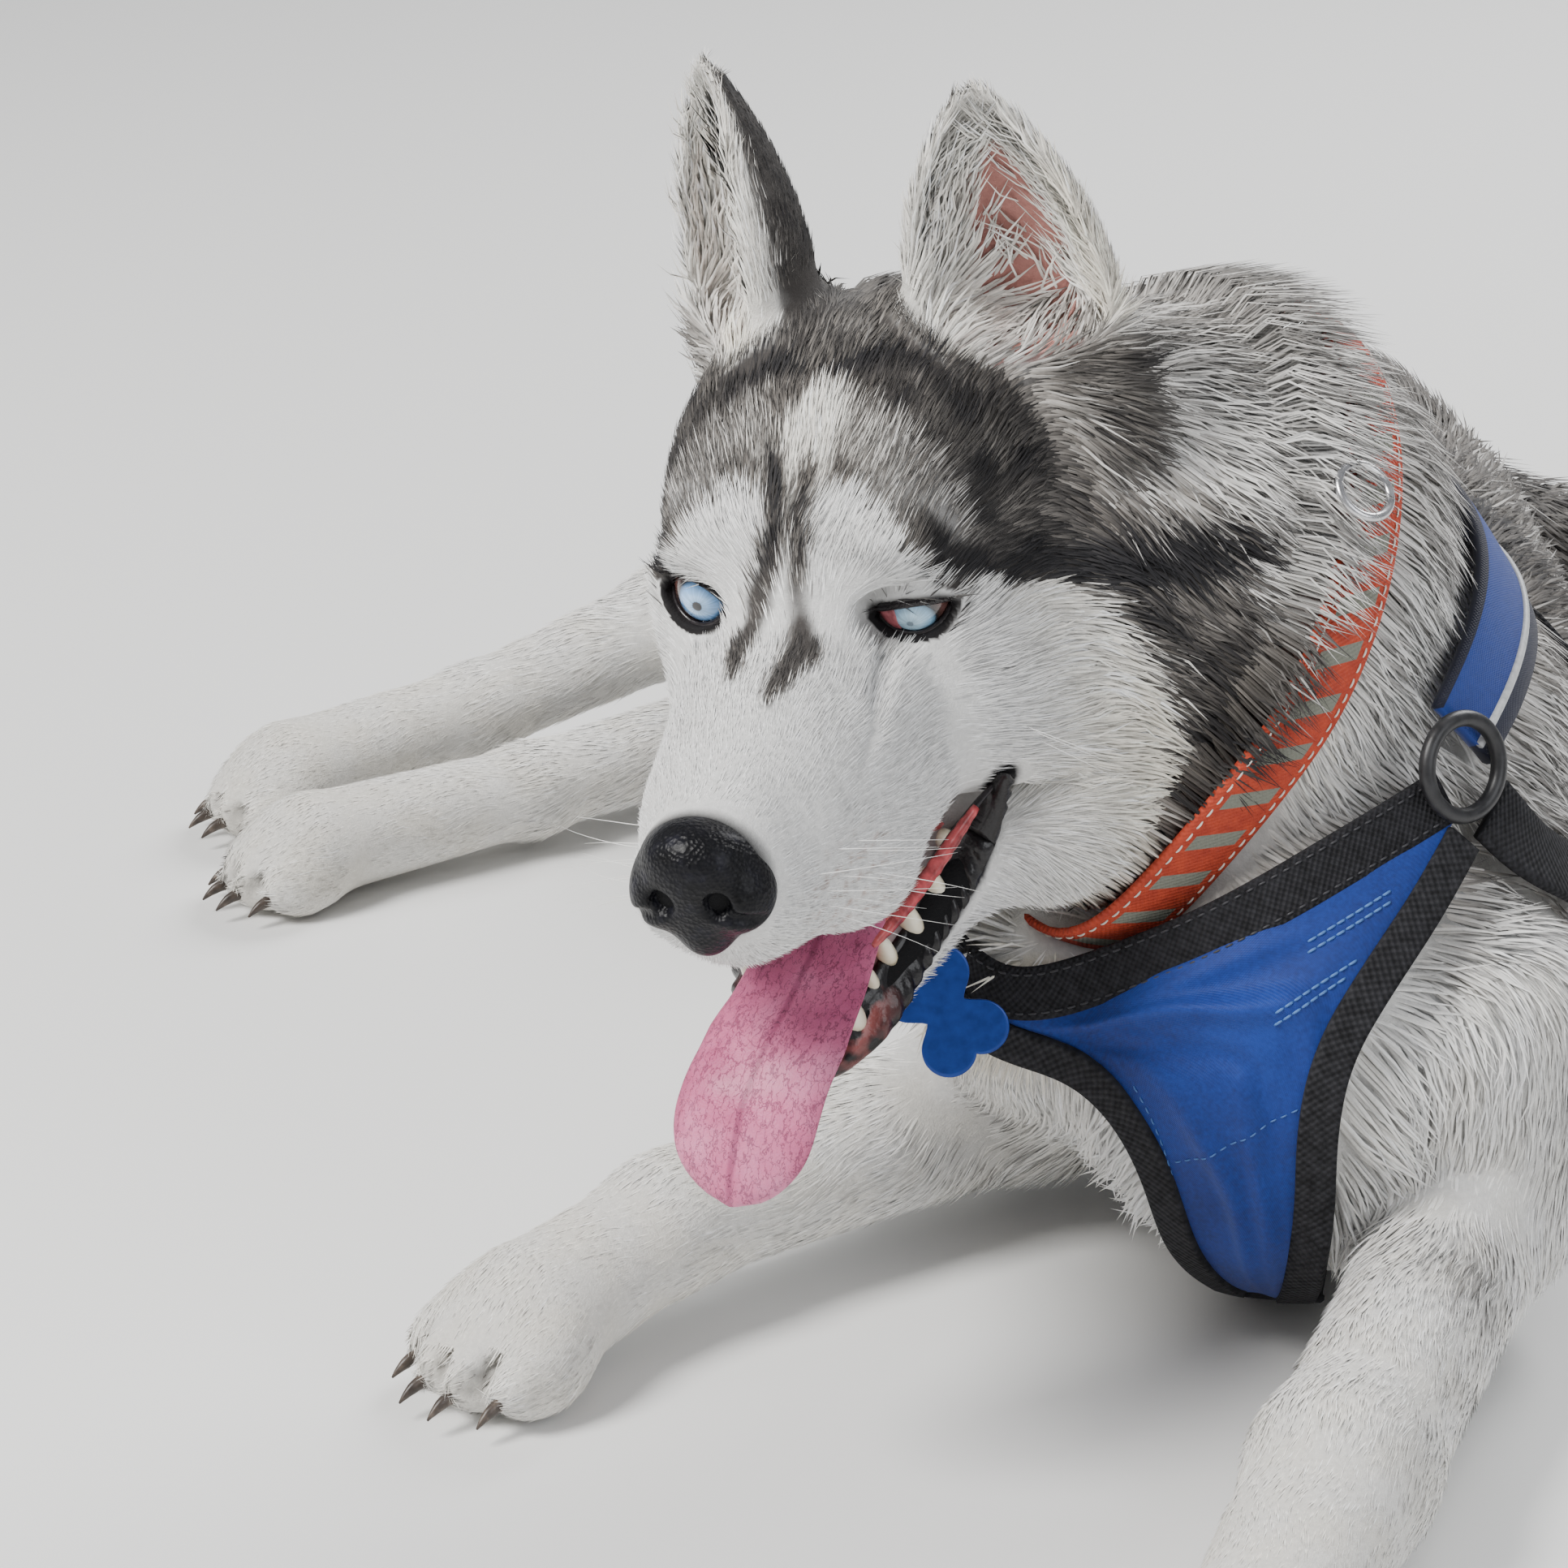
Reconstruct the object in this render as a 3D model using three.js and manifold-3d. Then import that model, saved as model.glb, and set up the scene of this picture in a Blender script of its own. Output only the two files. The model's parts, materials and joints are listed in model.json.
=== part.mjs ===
// A life-size model of a lying Siberian husky with an open mouth, in its collar and chest harness.
// Millimetres, +Z up, the floor at Z 0. It faces -Y, and its own left is +X.
import * as THREE from 'three';
import { mergeVertices } from 'three/addons/utils/BufferGeometryUtils.js';
import Module from 'manifold-3d';

// ---------- driving dimensions ----------
// Each row is a shape: a round cone (two ends, two radii, blend) or an ellipsoid (centre, radii, turn, blend).
// A 2 in the name means it stands on both sides. HEAD, JAW, MOUTH and EARS are in the head's own frame:
// x to its left, y backward, z up from the point between the eyes.
const HEAD_TURN = [-3.7, 10.41, -5.11]; // yaw, nose-down pitch and roll of the head, degrees
const HEAD_AT = [-51.97, -249.95, 261.89]; // the point between the eyes
const HEAD = [
  ['ell', [0, 64, 8], [62, 72, 60], [0, 0, 0], 1],
  ['ell', [0, 30, 10], [46, 42, 38], [0, 0, 0], 16],
  ['ell2', [25, 4, 17], [18, 12, 12], [0, 0, 0], 9],
  ['ell2', [42, 34, -14], [15, 32, 20], [0, 0, 0], 16],
  ['ell2', [33, 14, -2], [20, 12, 16], [0, 0, 0], 8],
  ['cone', [0, -4, -22], [0, -90, -31], 31, 22, 16],
  ['cone2', [13, -84, -45], [18, -46, -54], 16, 20, 14],
  ['cone2', [18, -46, -54], [27, 2, -48], 20, 19, 14],
  ['cone2', [14, -60, -34], [24, 4, -30], 17, 20, 14],
  ['ell', [0, -89, -50], [15, 10, 16], [0, 0, 0], 8],
  ['ell', [0, -101, -28], [20, 13, 17], [0, 0, 0], 4],
  ['ell2', [36, 40, -36], [20, 38, 34], [0, 0, 0], 18],
  ['ell', [48, 44, -40], [28, 42, 36], [0, 0, 0], 18],
  ['ell', [62, 58, -70], [38, 42, 50], [0, 0, 0], 22],
  ['ell', [50, 42, -92], [36, 36, 34], [0, 0, 0], 16],
  ['ell', [-30, 60, -66], [24, 36, 44], [0, 0, 0], 20],
  ['ell', [8, 50, -84], [40, 42, 38], [0, 0, 0], 20],
];
const JAW = [
  ['cone', [0, -46, -119], [0, 10, -100], 11, 18, 1],
  ['cone2', [9, -42, -117], [27, 20, -92], 12, 22, 8],
  ['cone2', [27, 20, -92], [34, 52, -66], 22, 26, 12],
];
const MOUTH = [[15, -66], [-20, -76], [-55, -80], [-85, -70], [-125, -60], [-125, -118], [-72, -116], [-51, -107], [-24, -95], [2, -82]];
const EYEHOLE = [[32, -5, 0.5], [13.5, 9.5, 8.0]]; // centre and radii of the hollow in front of each eye
const EAR = { half: 33.0, depth: 0.72, wall: 7.0, full: 76.0 };
const EARS = {
  left: { base: [50, 79, 42], tip: [43, 80, 132], yaw: 12 },
  right: { base: [-36, 76, 42], tip: [-38, 80, 141], yaw: -50 },
};
const TRUNK = [
  ['cone', [78, -128, 104], [76, -45, 108], 90, 98, 1],
  ['cone', [76, -45, 108], [62, 90, 102], 98, 97, 30],
  ['cone', [62, 90, 102], [48, 210, 90], 97, 86, 30],
  ['cone', [48, 210, 90], [35, 305, 86], 86, 85, 30],
  ['ell', [84, -90, 62], [70, 115, 64], [0, 0, 0], 20],
  ['ell', [60, 70, 64], [82, 140, 66], [0, 0, 0], 20],
  ['ell', [40, 300, 50], [90, 95, 52], [0, 0, 0], 20],
];
const NECK = [
  ['cone', [78, -85, 164], [25, -125, 234], 86, 83, 1],
  ['cone', [25, -125, 234], [-36, -150, 266], 83, 70, 30],
  ['ell', [46, -104, 238], [78, 72, 84], [0, 0, 0], 20],
];
const LEGS = {
  foreleg_right: [
    ['cone', [8, -160, 112], [-10, -98, 46], 48, 38, 1],
    ['cone', [-10, -98, 46], [-104, -214, 36], 37, 24, 16],
    ['cone', [-104, -214, 36], [-132, -258, 25], 24, 25, 12],
  ],
  foreleg_left: [
    ['cone', [140, -150, 110], [146, -150, 42], 46, 33, 1],
    ['cone', [146, -150, 42], [126, -308, 34], 33, 30, 16],
    ['cone', [126, -308, 34], [117, -385, 24], 30, 27, 12],
  ],
  hindleg_left: [
    ['cone', [50, 310, 66], [-25, 175, 46], 64, 44, 1],
    ['cone', [-25, 175, 46], [-205, 228, 30], 44, 26, 16],
    ['cone', [-205, 228, 30], [-270, 150, 25], 26, 22, 10],
    ['cone', [-270, 150, 25], [-335, 82, 22], 22, 23, 10],
  ],
  hindleg_right: [
    ['cone', [15, 318, 125], [-90, 235, 108], 66, 52, 1],
    ['cone', [-90, 235, 108], [-242, 262, 62], 52, 28, 16],
    ['cone', [-242, 262, 62], [-312, 210, 34], 28, 22, 10],
    ['cone', [-312, 210, 34], [-368, 150, 24], 22, 23, 10],
  ],
};
const TAIL = [
  ['cone', [38, 375, 92], [84, 432, 54], 44, 42, 1],
  ['cone', [84, 432, 54], [155, 446, 44], 42, 44, 14],
  ['cone', [155, 446, 44], [215, 402, 42], 44, 42, 14],
  ['cone', [215, 402, 42], [252, 335, 36], 42, 34, 14],
  ['cone', [252, 335, 36], [262, 285, 28], 34, 20, 14],
];
const PAWS = {
  foreleg_right: { at: [-138, -268, 22], way: [-0.55, -0.84], gap: 15, toe: [13, 21, 16], reach: 14 },
  foreleg_left: { at: [116, -395, 22], way: [-0.1, -0.995], gap: 15, toe: [13, 21, 16], reach: 14 },
  hindleg_left: { at: [-342, 75, 20], way: [-0.69, -0.72], gap: 13, toe: [11.5, 19, 15], reach: 12 },
  hindleg_right: { at: [-375, 142, 22], way: [-0.69, -0.72], gap: 13, toe: [11.5, 19, 15], reach: 12 },
};
const RES = { head: 3.0, headFaces: 1350, body: 7.0, bodyFaces: 980 }; // grid steps and face counts of the two surfaces
const EYE = { at: [31.5, 10.6, 0.5], radius: 11.6 };
const TONGUE = { path: [[6, -2, -80], [5, -30, -88], [2, -58, -95], [-2, -82, -103], [-6, -96, -120], [-8, -103, -140]], width: 47, thick: 9, groove: 1.6, cup: 1.2, steps: 10 };
const JAW_OPEN = -27; // how far the lower teeth lean with the open jaw, degrees
const TEETH = [
  { at: [14, -49, -117], r: 3.6, h: 12 },
  { at: [-14, -49, -117], r: 3.6, h: 12 },
  ...[[19, -36, -107], [23.5, -26, -101], [27, -15, -95], [30, -3, -88]].flatMap(([x, y, z]) => [{ at: [x, y, z - 3], r: 4.2, h: 11, flat: 0.7 }, { at: [-x, y, z - 3], r: 4.2, h: 11, flat: 0.7 }]),
];
const CLAW = { radius: 2.5, length: 9, root: 5, droop: 3, height: 0.72, out: 0.82, sides: 5 };
const COLLAR = { at: [27, -126, 223], normal: [-0.6, -0.62, 0.5], steps: 22, sink: -1.2, width: 25, thick: 2.6, ringAt: [99, -164, 283], ringAxis: [0.5, -0.4, 0.6] };
const TAG = { at: [-13, -226, 126], along: [0.62, -0.05, -0.78], face: [0.2, -0.9, 0.35], length: 38, lobe: 8.5, thick: 1.6 };
const HARNESS = {
  off: 1.9, thick: 3.2, low: 2.1, webbing: 25, edging: 15, yokeWidth: 46,
  neck: [[2, -206, 123], [36, -203, 135], [66, -204, 152], [100, -189, 173], [128, -163, 187]],
  yoke: [[132, -150, 203], [139, -118, 222], [126, -72, 236], [90, -46, 240], [45, -42, 228], [2, -64, 196], [-22, -110, 160], [-20, -165, 136]],
  girth: [[78, -62, 1], [120, -48, 18], [158, -36, 66], [168, -22, 115], [146, -6, 170], [94, 4, 202], [38, -8, 192], [0, -30, 150], [-14, -52, 100], [-4, -66, 50], [30, -68, 14]],
  belly: [[86, -176, 22], [82, -150, 6], [80, -112, 1], [79, -80, 1]],
  back: [[92, -20, 215], [94, -12, 208], [94, -6, 204]],
  side: [[150, -135, 150], [165, -95, 130], [172, -50, 118]],
  panelTop: [[2, -206, 112], [36, -205, 122], [66, -207, 138], [100, -193, 158], [131, -163, 174]],
  edgeRight: [[2, -206, 110], [25, -207, 105], [44, -211, 89], [54, -208, 69], [61, -196, 39], [72, -180, 20]],
  edgeLeft: [[131, -163, 172], [125, -183, 158], [114, -202, 140], [104, -212, 120], [101, -215, 97], [100, -208, 66], [92, -180, 20]],
  loopAt: [133, -160, 196], loopAxis: [0.75, -0.6, 0.25],
};
// Boxes that part the animal. Each has a centre, the directions of its third and first sides, and its size.
const CUTS = {
  head: { at: [9, -145, 238], normal: [-0.6, -0.62, 0.5], span: 300 },
  inHead: {
    nose: [{ at: [0, -117.5, -27], normal: [0, -1, 0.1], along: [1, 0, 0], size: [70, 42, 40] }],
    lower_jaw: [{ at: [5, -62, -158], normal: [0, -0.87, -0.5], along: [1, 0, 0], size: [220, 130, 150] }],
    ear_left: [{ at: [75, 79, 112], normal: [0.4, 0.05, 0.91], along: [1, 0, 0], size: [120, 110, 120] }],
    ear_right: [{ at: [-69, 76, 107], normal: [-0.535, 0.05, 0.845], along: [1, 0, 0], size: [120, 110, 120] }],
  },
  inBody: {
    foreleg_right: [{ at: [-152.5, -241.5, 64], normal: [-0.95, -0.3, 0], along: [0, 0, 1], size: [168, 290, 362] }],
    foreleg_left: [{ at: [201, -356, 61], normal: [0.9, -0.43, 0], along: [0, 0, 1], size: [162, 450, 328] }],
    tail: [{ at: [341, 430, 60], normal: [0.62, 0.78, 0], along: [0, 0, 1], size: [240, 700, 378] }],
    hindleg_right: [
      { at: [-178, 285, 150], normal: [-0.97, -0.2, 0.12], along: [0, 0.52, 0.86], size: [220, 300, 260] },
      { at: [-400, 262, 60], normal: [-0.72, 0.69, 0], along: [0, 0, 1], size: [220, 330, 265] },
    ],
    hindleg_left: [{ at: [-250, 166, 50], normal: [-0.957, 0.29, 0], along: [0, 0, 1], size: [200, 400, 350] }],
    neck: [{ at: [-59, -252, 464], normal: [-0.35, -0.45, 0.82], along: [1, 0, 0], size: [700, 700, 711] }],
  },
};
const LOOKS = { // colour, roughness, metalness
  claw: [0x3a3431, 0.45, 0], eye: [0xa9c4e6, 0.12, 0], nose: [0x17181c, 0.35, 0], tongue: [0xc9688a, 0.45, 0], lower_jaw: [0xe9e4da, 0.9, 0], ear: [0x5b5650, 0.95, 0],
  head: [0xb9b4ac, 0.95, 0], neck: [0x9c978f, 0.95, 0], trunk: [0x8b867f, 0.95, 0], tail: [0x8b867f, 0.95, 0], foreleg: [0xe6e0d4, 0.95, 0], hindleg: [0xe6e0d4, 0.95, 0],
  collar_ring: [0xb8b8b8, 0.3, 0.9], collar: [0xb5331c, 0.7, 0], tag: [0x1b3f9c, 0.4, 0.3],
  harness_neck: [0x15161a, 0.85, 0], harness_edge: [0x15161a, 0.85, 0], harness_loop: [0x15161a, 0.7, 0], harness: [0x0f3fae, 0.75, 0],
};
const SHIFT = [58.925, -27.225, 0]; // brings the middle of the box's foot to the origin
// ---------- field helpers ----------
const len3 = (x, y, z) => Math.sqrt(x * x + y * y + z * z);
const clamp = (v, a, b) => (v < a ? a : v > b ? b : v);
// Smooth union and smooth cut of two distances, with a blend k mm wide.
const smin = (a, b, k) => {
  const h = Math.max(k - Math.abs(a - b), 0) / k;
  return Math.min(a, b) - h * h * k * 0.25;
};
const smax = (a, b, k) => -smin(-a, -b, k);
// A round cone from a to b, with a radius at each end.
function cone(a, b, ra, rb) {
  const ba = [b[0] - a[0], b[1] - a[1], b[2] - a[2]];
  const l2 = ba[0] ** 2 + ba[1] ** 2 + ba[2] ** 2, rr = ra - rb, a2 = l2 - rr * rr, il2 = 1 / l2;
  return (x, y, z) => {
    const px = x - a[0], py = y - a[1], pz = z - a[2];
    const yy = px * ba[0] + py * ba[1] + pz * ba[2], zz = yy - l2;
    const qx = px * l2 - ba[0] * yy, qy = py * l2 - ba[1] * yy, qz = pz * l2 - ba[2] * yy;
    const x2 = qx * qx + qy * qy + qz * qz, y2 = yy * yy * l2, z2 = zz * zz * l2;
    const k = Math.sign(rr) * rr * rr * x2;
    if (Math.sign(zz) * a2 * z2 > k) return Math.sqrt(x2 + z2) * il2 - rb;
    if (Math.sign(yy) * a2 * y2 < k) return Math.sqrt(x2 + y2) * il2 - ra;
    return (Math.sqrt(x2 * a2 * il2) + yy * rr) * il2 - ra;
  };
}
// An ellipsoid with its centre, radii and optional turns about Z, X and Y in degrees.
function ell(c, r, turn = [0, 0, 0]) {
  const m = turnMatrix(turn);
  return (x, y, z) => {
    const p = x - c[0], q = y - c[1], s = z - c[2];
    const u = m[0] * p + m[3] * q + m[6] * s, v = m[1] * p + m[4] * q + m[7] * s, w = m[2] * p + m[5] * q + m[8] * s;
    const k0 = len3(u / r[0], v / r[1], w / r[2]), k1 = len3(u / r[0] ** 2, v / r[1] ** 2, w / r[2] ** 2);
    return k1 < 1e-9 ? -Math.min(r[0], r[1], r[2]) : (k0 * (k0 - 1)) / k1;
  };
}
// Rows of Rz * Rx * Ry.
function turnMatrix([yaw, pitch, roll]) {
  const d = Math.PI / 180, cy = Math.cos(yaw * d), sy = Math.sin(yaw * d), cp = Math.cos(pitch * d), sp = Math.sin(pitch * d), cr = Math.cos(roll * d), sr = Math.sin(roll * d);
  return [cy * cr - sy * sp * sr, -sy * cp, cy * sr + sy * sp * cr, sy * cr + cy * sp * sr, cy * cp, sy * sr - cy * sp * cr, -cp * sr, sp, cp * cr];
}
// ---------- the animal as one field: below 0 inside ----------
function prim(p) {
  const both = p[0].endsWith('2'), f = p[0].startsWith('cone') ? cone(p[1], p[2], p[3], p[4]) : ell(p[1], p[2], p[3]);
  return { k: p[p.length - 1], f: both ? (x, y, z) => f(Math.abs(x), y, z) : f };
}
// A chain of shapes joined one by one, each with its own blend.
function chain(table) {
  const list = table.map(prim);
  return (x, y, z) => {
    let d = list[0].f(x, y, z);
    for (let i = 1; i < list.length; i++) d = smin(d, list[i].f(x, y, z), list[i].k);
    return d;
  };
}
const HM = turnMatrix(HEAD_TURN);
const toHead = (x, y, z) => {
  const p = x - HEAD_AT[0], q = y - HEAD_AT[1], s = z - HEAD_AT[2];
  return [HM[0] * p + HM[3] * q + HM[6] * s, HM[1] * p + HM[4] * q + HM[7] * s, HM[2] * p + HM[5] * q + HM[8] * s];
};
const fromHead = ([x, y, z]) => [HM[0] * x + HM[1] * y + HM[2] * z + HEAD_AT[0], HM[3] * x + HM[4] * y + HM[5] * z + HEAD_AT[1], HM[6] * x + HM[7] * y + HM[8] * z + HEAD_AT[2]];
// Signed distance to the outline of the open mouth, in the head's own y and z.
function mouthGap(y, z) {
  let d = 1e18, s = 1;
  for (let i = 0, j = MOUTH.length - 1; i < MOUTH.length; j = i++) {
    const [ay, az] = MOUTH[i], [by, bz] = MOUTH[j], ey = by - ay, ez = bz - az, wy = y - ay, wz = z - az;
    const t = clamp((wy * ey + wz * ez) / (ey * ey + ez * ez), 0, 1);
    d = Math.min(d, (wy - ey * t) ** 2 + (wz - ez * t) ** 2);
    const c0 = z >= az, c1 = z < bz, c2 = ey * wz > ez * wy;
    if ((c0 && c1 && c2) || (!c0 && !c1 && !c2)) s = -s;
  }
  return s * Math.sqrt(d);
}
const sub = (a, b) => [a[0] - b[0], a[1] - b[1], a[2] - b[2]];
const add = (a, b, t = 1) => [a[0] + b[0] * t, a[1] + b[1] * t, a[2] + b[2] * t];
const dot = (a, b) => a[0] * b[0] + a[1] * b[1] + a[2] * b[2];
const cross = (a, b) => [a[1] * b[2] - a[2] * b[1], a[2] * b[0] - a[0] * b[2], a[0] * b[1] - a[1] * b[0]];
const unit = (a) => { const l = Math.hypot(...a); return [a[0] / l, a[1] / l, a[2] / l]; };
// One upright ear: a tapering cup, open to the front, solid at its foot.
function earField(e) {
  const w = unit(sub(e.tip, e.base)), H = Math.hypot(...sub(e.tip, e.base)), a = (e.yaw * Math.PI) / 180;
  let n = [Math.sin(a), -Math.cos(a), 0];
  n = unit(add(n, w, -dot(n, w)));
  const u = cross(w, n);
  return (x, y, z) => {
    const q = [x - e.base[0], y - e.base[1], z - e.base[2]], U = dot(q, u), V = dot(q, n), s = H - dot(q, w);
    let hw = EAR.half * Math.sin((Math.PI / 2) * clamp(s / EAR.full, 0.02, 1) ** 0.8);
    hw -= Math.max(s - EAR.full - 14, 0) * 0.12;
    const dp = EAR.depth * hw, t = EAR.wall, hi = Math.max(hw - t, 1.5), di = Math.max(dp - t, 1.5);
    const outer = (Math.hypot(U / hw, V / dp) - 1) * hw * 0.8;
    let inner = (Math.hypot(U / hi, (V - t * 0.2) / di) - 1) * Math.min(hi, di) * 0.95;
    inner = smax(inner, s - (H - 6), 10);
    let d = smax(outer, -inner, 2);
    d = smax(d, V - 0.25 * hw, 4);
    d = smax(d, 1 - s, 4);
    return smax(d, s - (H + 22), 6) * 0.85;
  };
}
const eyeHole = ell(EYEHOLE[0], EYEHOLE[1]);
const skull = chain(HEAD), jaw = chain(JAW), ears = [earField(EARS.left), earField(EARS.right)];
function headField(x, y, z) {
  let d = smin(skull(x, y, z), jaw(x, y, z), 10);
  d = smax(d, -mouthGap(y, z), 5);
  d = smax(d, -eyeHole(Math.abs(x), y, z), 3);
  for (const e of ears) d = smin(d, e(x, y, z), 9);
  return d;
}
// One paw: four toes side by side in front of a pad.
function pawField(p) {
  const d = unit([...p.way, 0]), l = [-d[1], d[0], 0], yaw = (Math.atan2(d[1], d[0]) * 180) / Math.PI - 90;
  const parts = [-1.5, -0.5, 0.5, 1.5].map((o) => {
    const c = add(add(p.at, l, o * p.gap * 0.92), d, p.reach - (Math.abs(o) > 1 ? 5 : -3));
    return ell([c[0], c[1], p.toe[2] - 1], p.toe, [yaw, 0, 0]);
  });
  const pad = ell([p.at[0], p.at[1], p.at[2] + 1], [p.gap * 2, 24, 21], [yaw, 0, 0]);
  return (x, y, z) => {
    let f = parts[0](x, y, z);
    for (let i = 1; i < 4; i++) f = smin(f, parts[i](x, y, z), 5);
    return smin(f, pad(x, y, z), 8);
  };
}
const trunk = chain(TRUNK), neck = chain(NECK), tail = chain(TAIL);
const legs = Object.keys(LEGS).map((n) => {
  const limb = chain(LEGS[n]), paw = pawField(PAWS[n]);
  return (x, y, z) => smin(limb(x, y, z), paw(x, y, z), 10);
});
function bodyField(x, y, z) {
  let d = smin(trunk(x, y, z), neck(x, y, z), 34);
  for (const leg of legs) d = smin(d, leg(x, y, z), 14);
  d = smin(d, tail(x, y, z), 16);
  return d;
}
function wholeField(x, y, z) {
  const d = smin(bodyField(x, y, z), headField(...toHead(x, y, z)), 22);
  return Math.max(d, -4 - z);
}
// ---------- from a field to a closed mesh ----------
const TETS = [[0, 5, 1, 7], [0, 1, 3, 7], [0, 3, 2, 7], [0, 2, 6, 7], [0, 6, 4, 7], [0, 4, 5, 7]];
// The surface where field(x, y, z) is 0, in a box, on a grid of cells h mm wide. It is always closed.
function polygonize(field, lo, hi, h) {
  const n = [0, 1, 2].map((i) => Math.ceil((hi[i] - lo[i]) / h) + 1), [nx, ny, nz] = n;
  const val = new Float64Array(nx * ny * nz);
  for (let k = 0, t = 0; k < nz; k++)
    for (let j = 0; j < ny; j++)
      for (let i = 0; i < nx; i++, t++) {
        let v = field(lo[0] + i * h, lo[1] + j * h, lo[2] + k * h);
        if (i === 0 || j === 0 || k === 0 || i === nx - 1 || j === ny - 1 || k === nz - 1) v = Math.max(v, 0.2 * h);
        val[t] = Math.abs(v) < 1e-4 * h ? 1e-4 * h : v;
      }
  const pos = [], tri = [], seen = new Map(), total = nx * ny * nz;
  const at = (t) => [lo[0] + (t % nx) * h, lo[1] + (Math.floor(t / nx) % ny) * h, lo[2] + Math.floor(t / (nx * ny)) * h];
  const vertex = (a, b) => {
    if (a > b) [a, b] = [b, a];
    const key = a * total + b;
    let id = seen.get(key);
    if (id === undefined) {
      const pa = at(a), pb = at(b), t = clamp(val[a] / (val[a] - val[b]), 0.06, 0.94);
      id = pos.length / 3;
      pos.push(pa[0] + t * (pb[0] - pa[0]), pa[1] + t * (pb[1] - pa[1]), pa[2] + t * (pb[2] - pa[2]));
      seen.set(key, id);
    }
    return id;
  };
  const corner = [0, 1, nx, nx + 1, nx * ny, nx * ny + 1, nx * ny + nx, nx * ny + nx + 1];
  for (let k = 0; k < nz - 1; k++)
    for (let j = 0; j < ny - 1; j++)
      for (let i = 0; i < nx - 1; i++) {
        const base = (k * ny + j) * nx + i;
        let inside = 0;
        for (let c = 0; c < 8; c++) if (val[base + corner[c]] < 0) inside++;
        if (!inside || inside === 8) continue;
        for (const T of TETS) {
          const q = T.map((c) => base + corner[c]), ins = q.filter((g) => val[g] < 0), out = q.filter((g) => val[g] > 0);
          if (!ins.length || !out.length) continue;
          let f;
          if (ins.length === 1) f = [out.map((g) => vertex(ins[0], g))];
          else if (out.length === 1) f = [ins.map((g) => vertex(out[0], g))];
          else {
            const a = vertex(ins[0], out[0]), b = vertex(ins[0], out[1]), c = vertex(ins[1], out[1]), d = vertex(ins[1], out[0]);
            f = [[a, b, c], [a, c, d]];
          }
          const ci = [0, 0, 0], co = [0, 0, 0];
          for (const g of ins) at(g).forEach((v, e) => (ci[e] += v / ins.length));
          for (const g of out) at(g).forEach((v, e) => (co[e] += v / out.length));
          for (const [a, b, c] of f) {
            const P = [a, b, c].map((v) => [pos[3 * v], pos[3 * v + 1], pos[3 * v + 2]]);
            const u = [0, 1, 2].map((e) => P[1][e] - P[0][e]), w = [0, 1, 2].map((e) => P[2][e] - P[0][e]);
            const m = [u[1] * w[2] - u[2] * w[1], u[2] * w[0] - u[0] * w[2], u[0] * w[1] - u[1] * w[0]];
            const d = m[0] * (co[0] - ci[0]) + m[1] * (co[1] - ci[1]) + m[2] * (co[2] - ci[2]);
            if (d >= 0) tri.push(a, b, c);
            else tri.push(a, c, b);
          }
        }
      }
  return { pos: Float64Array.from(pos), tri: Int32Array.from(tri) };
}
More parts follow.
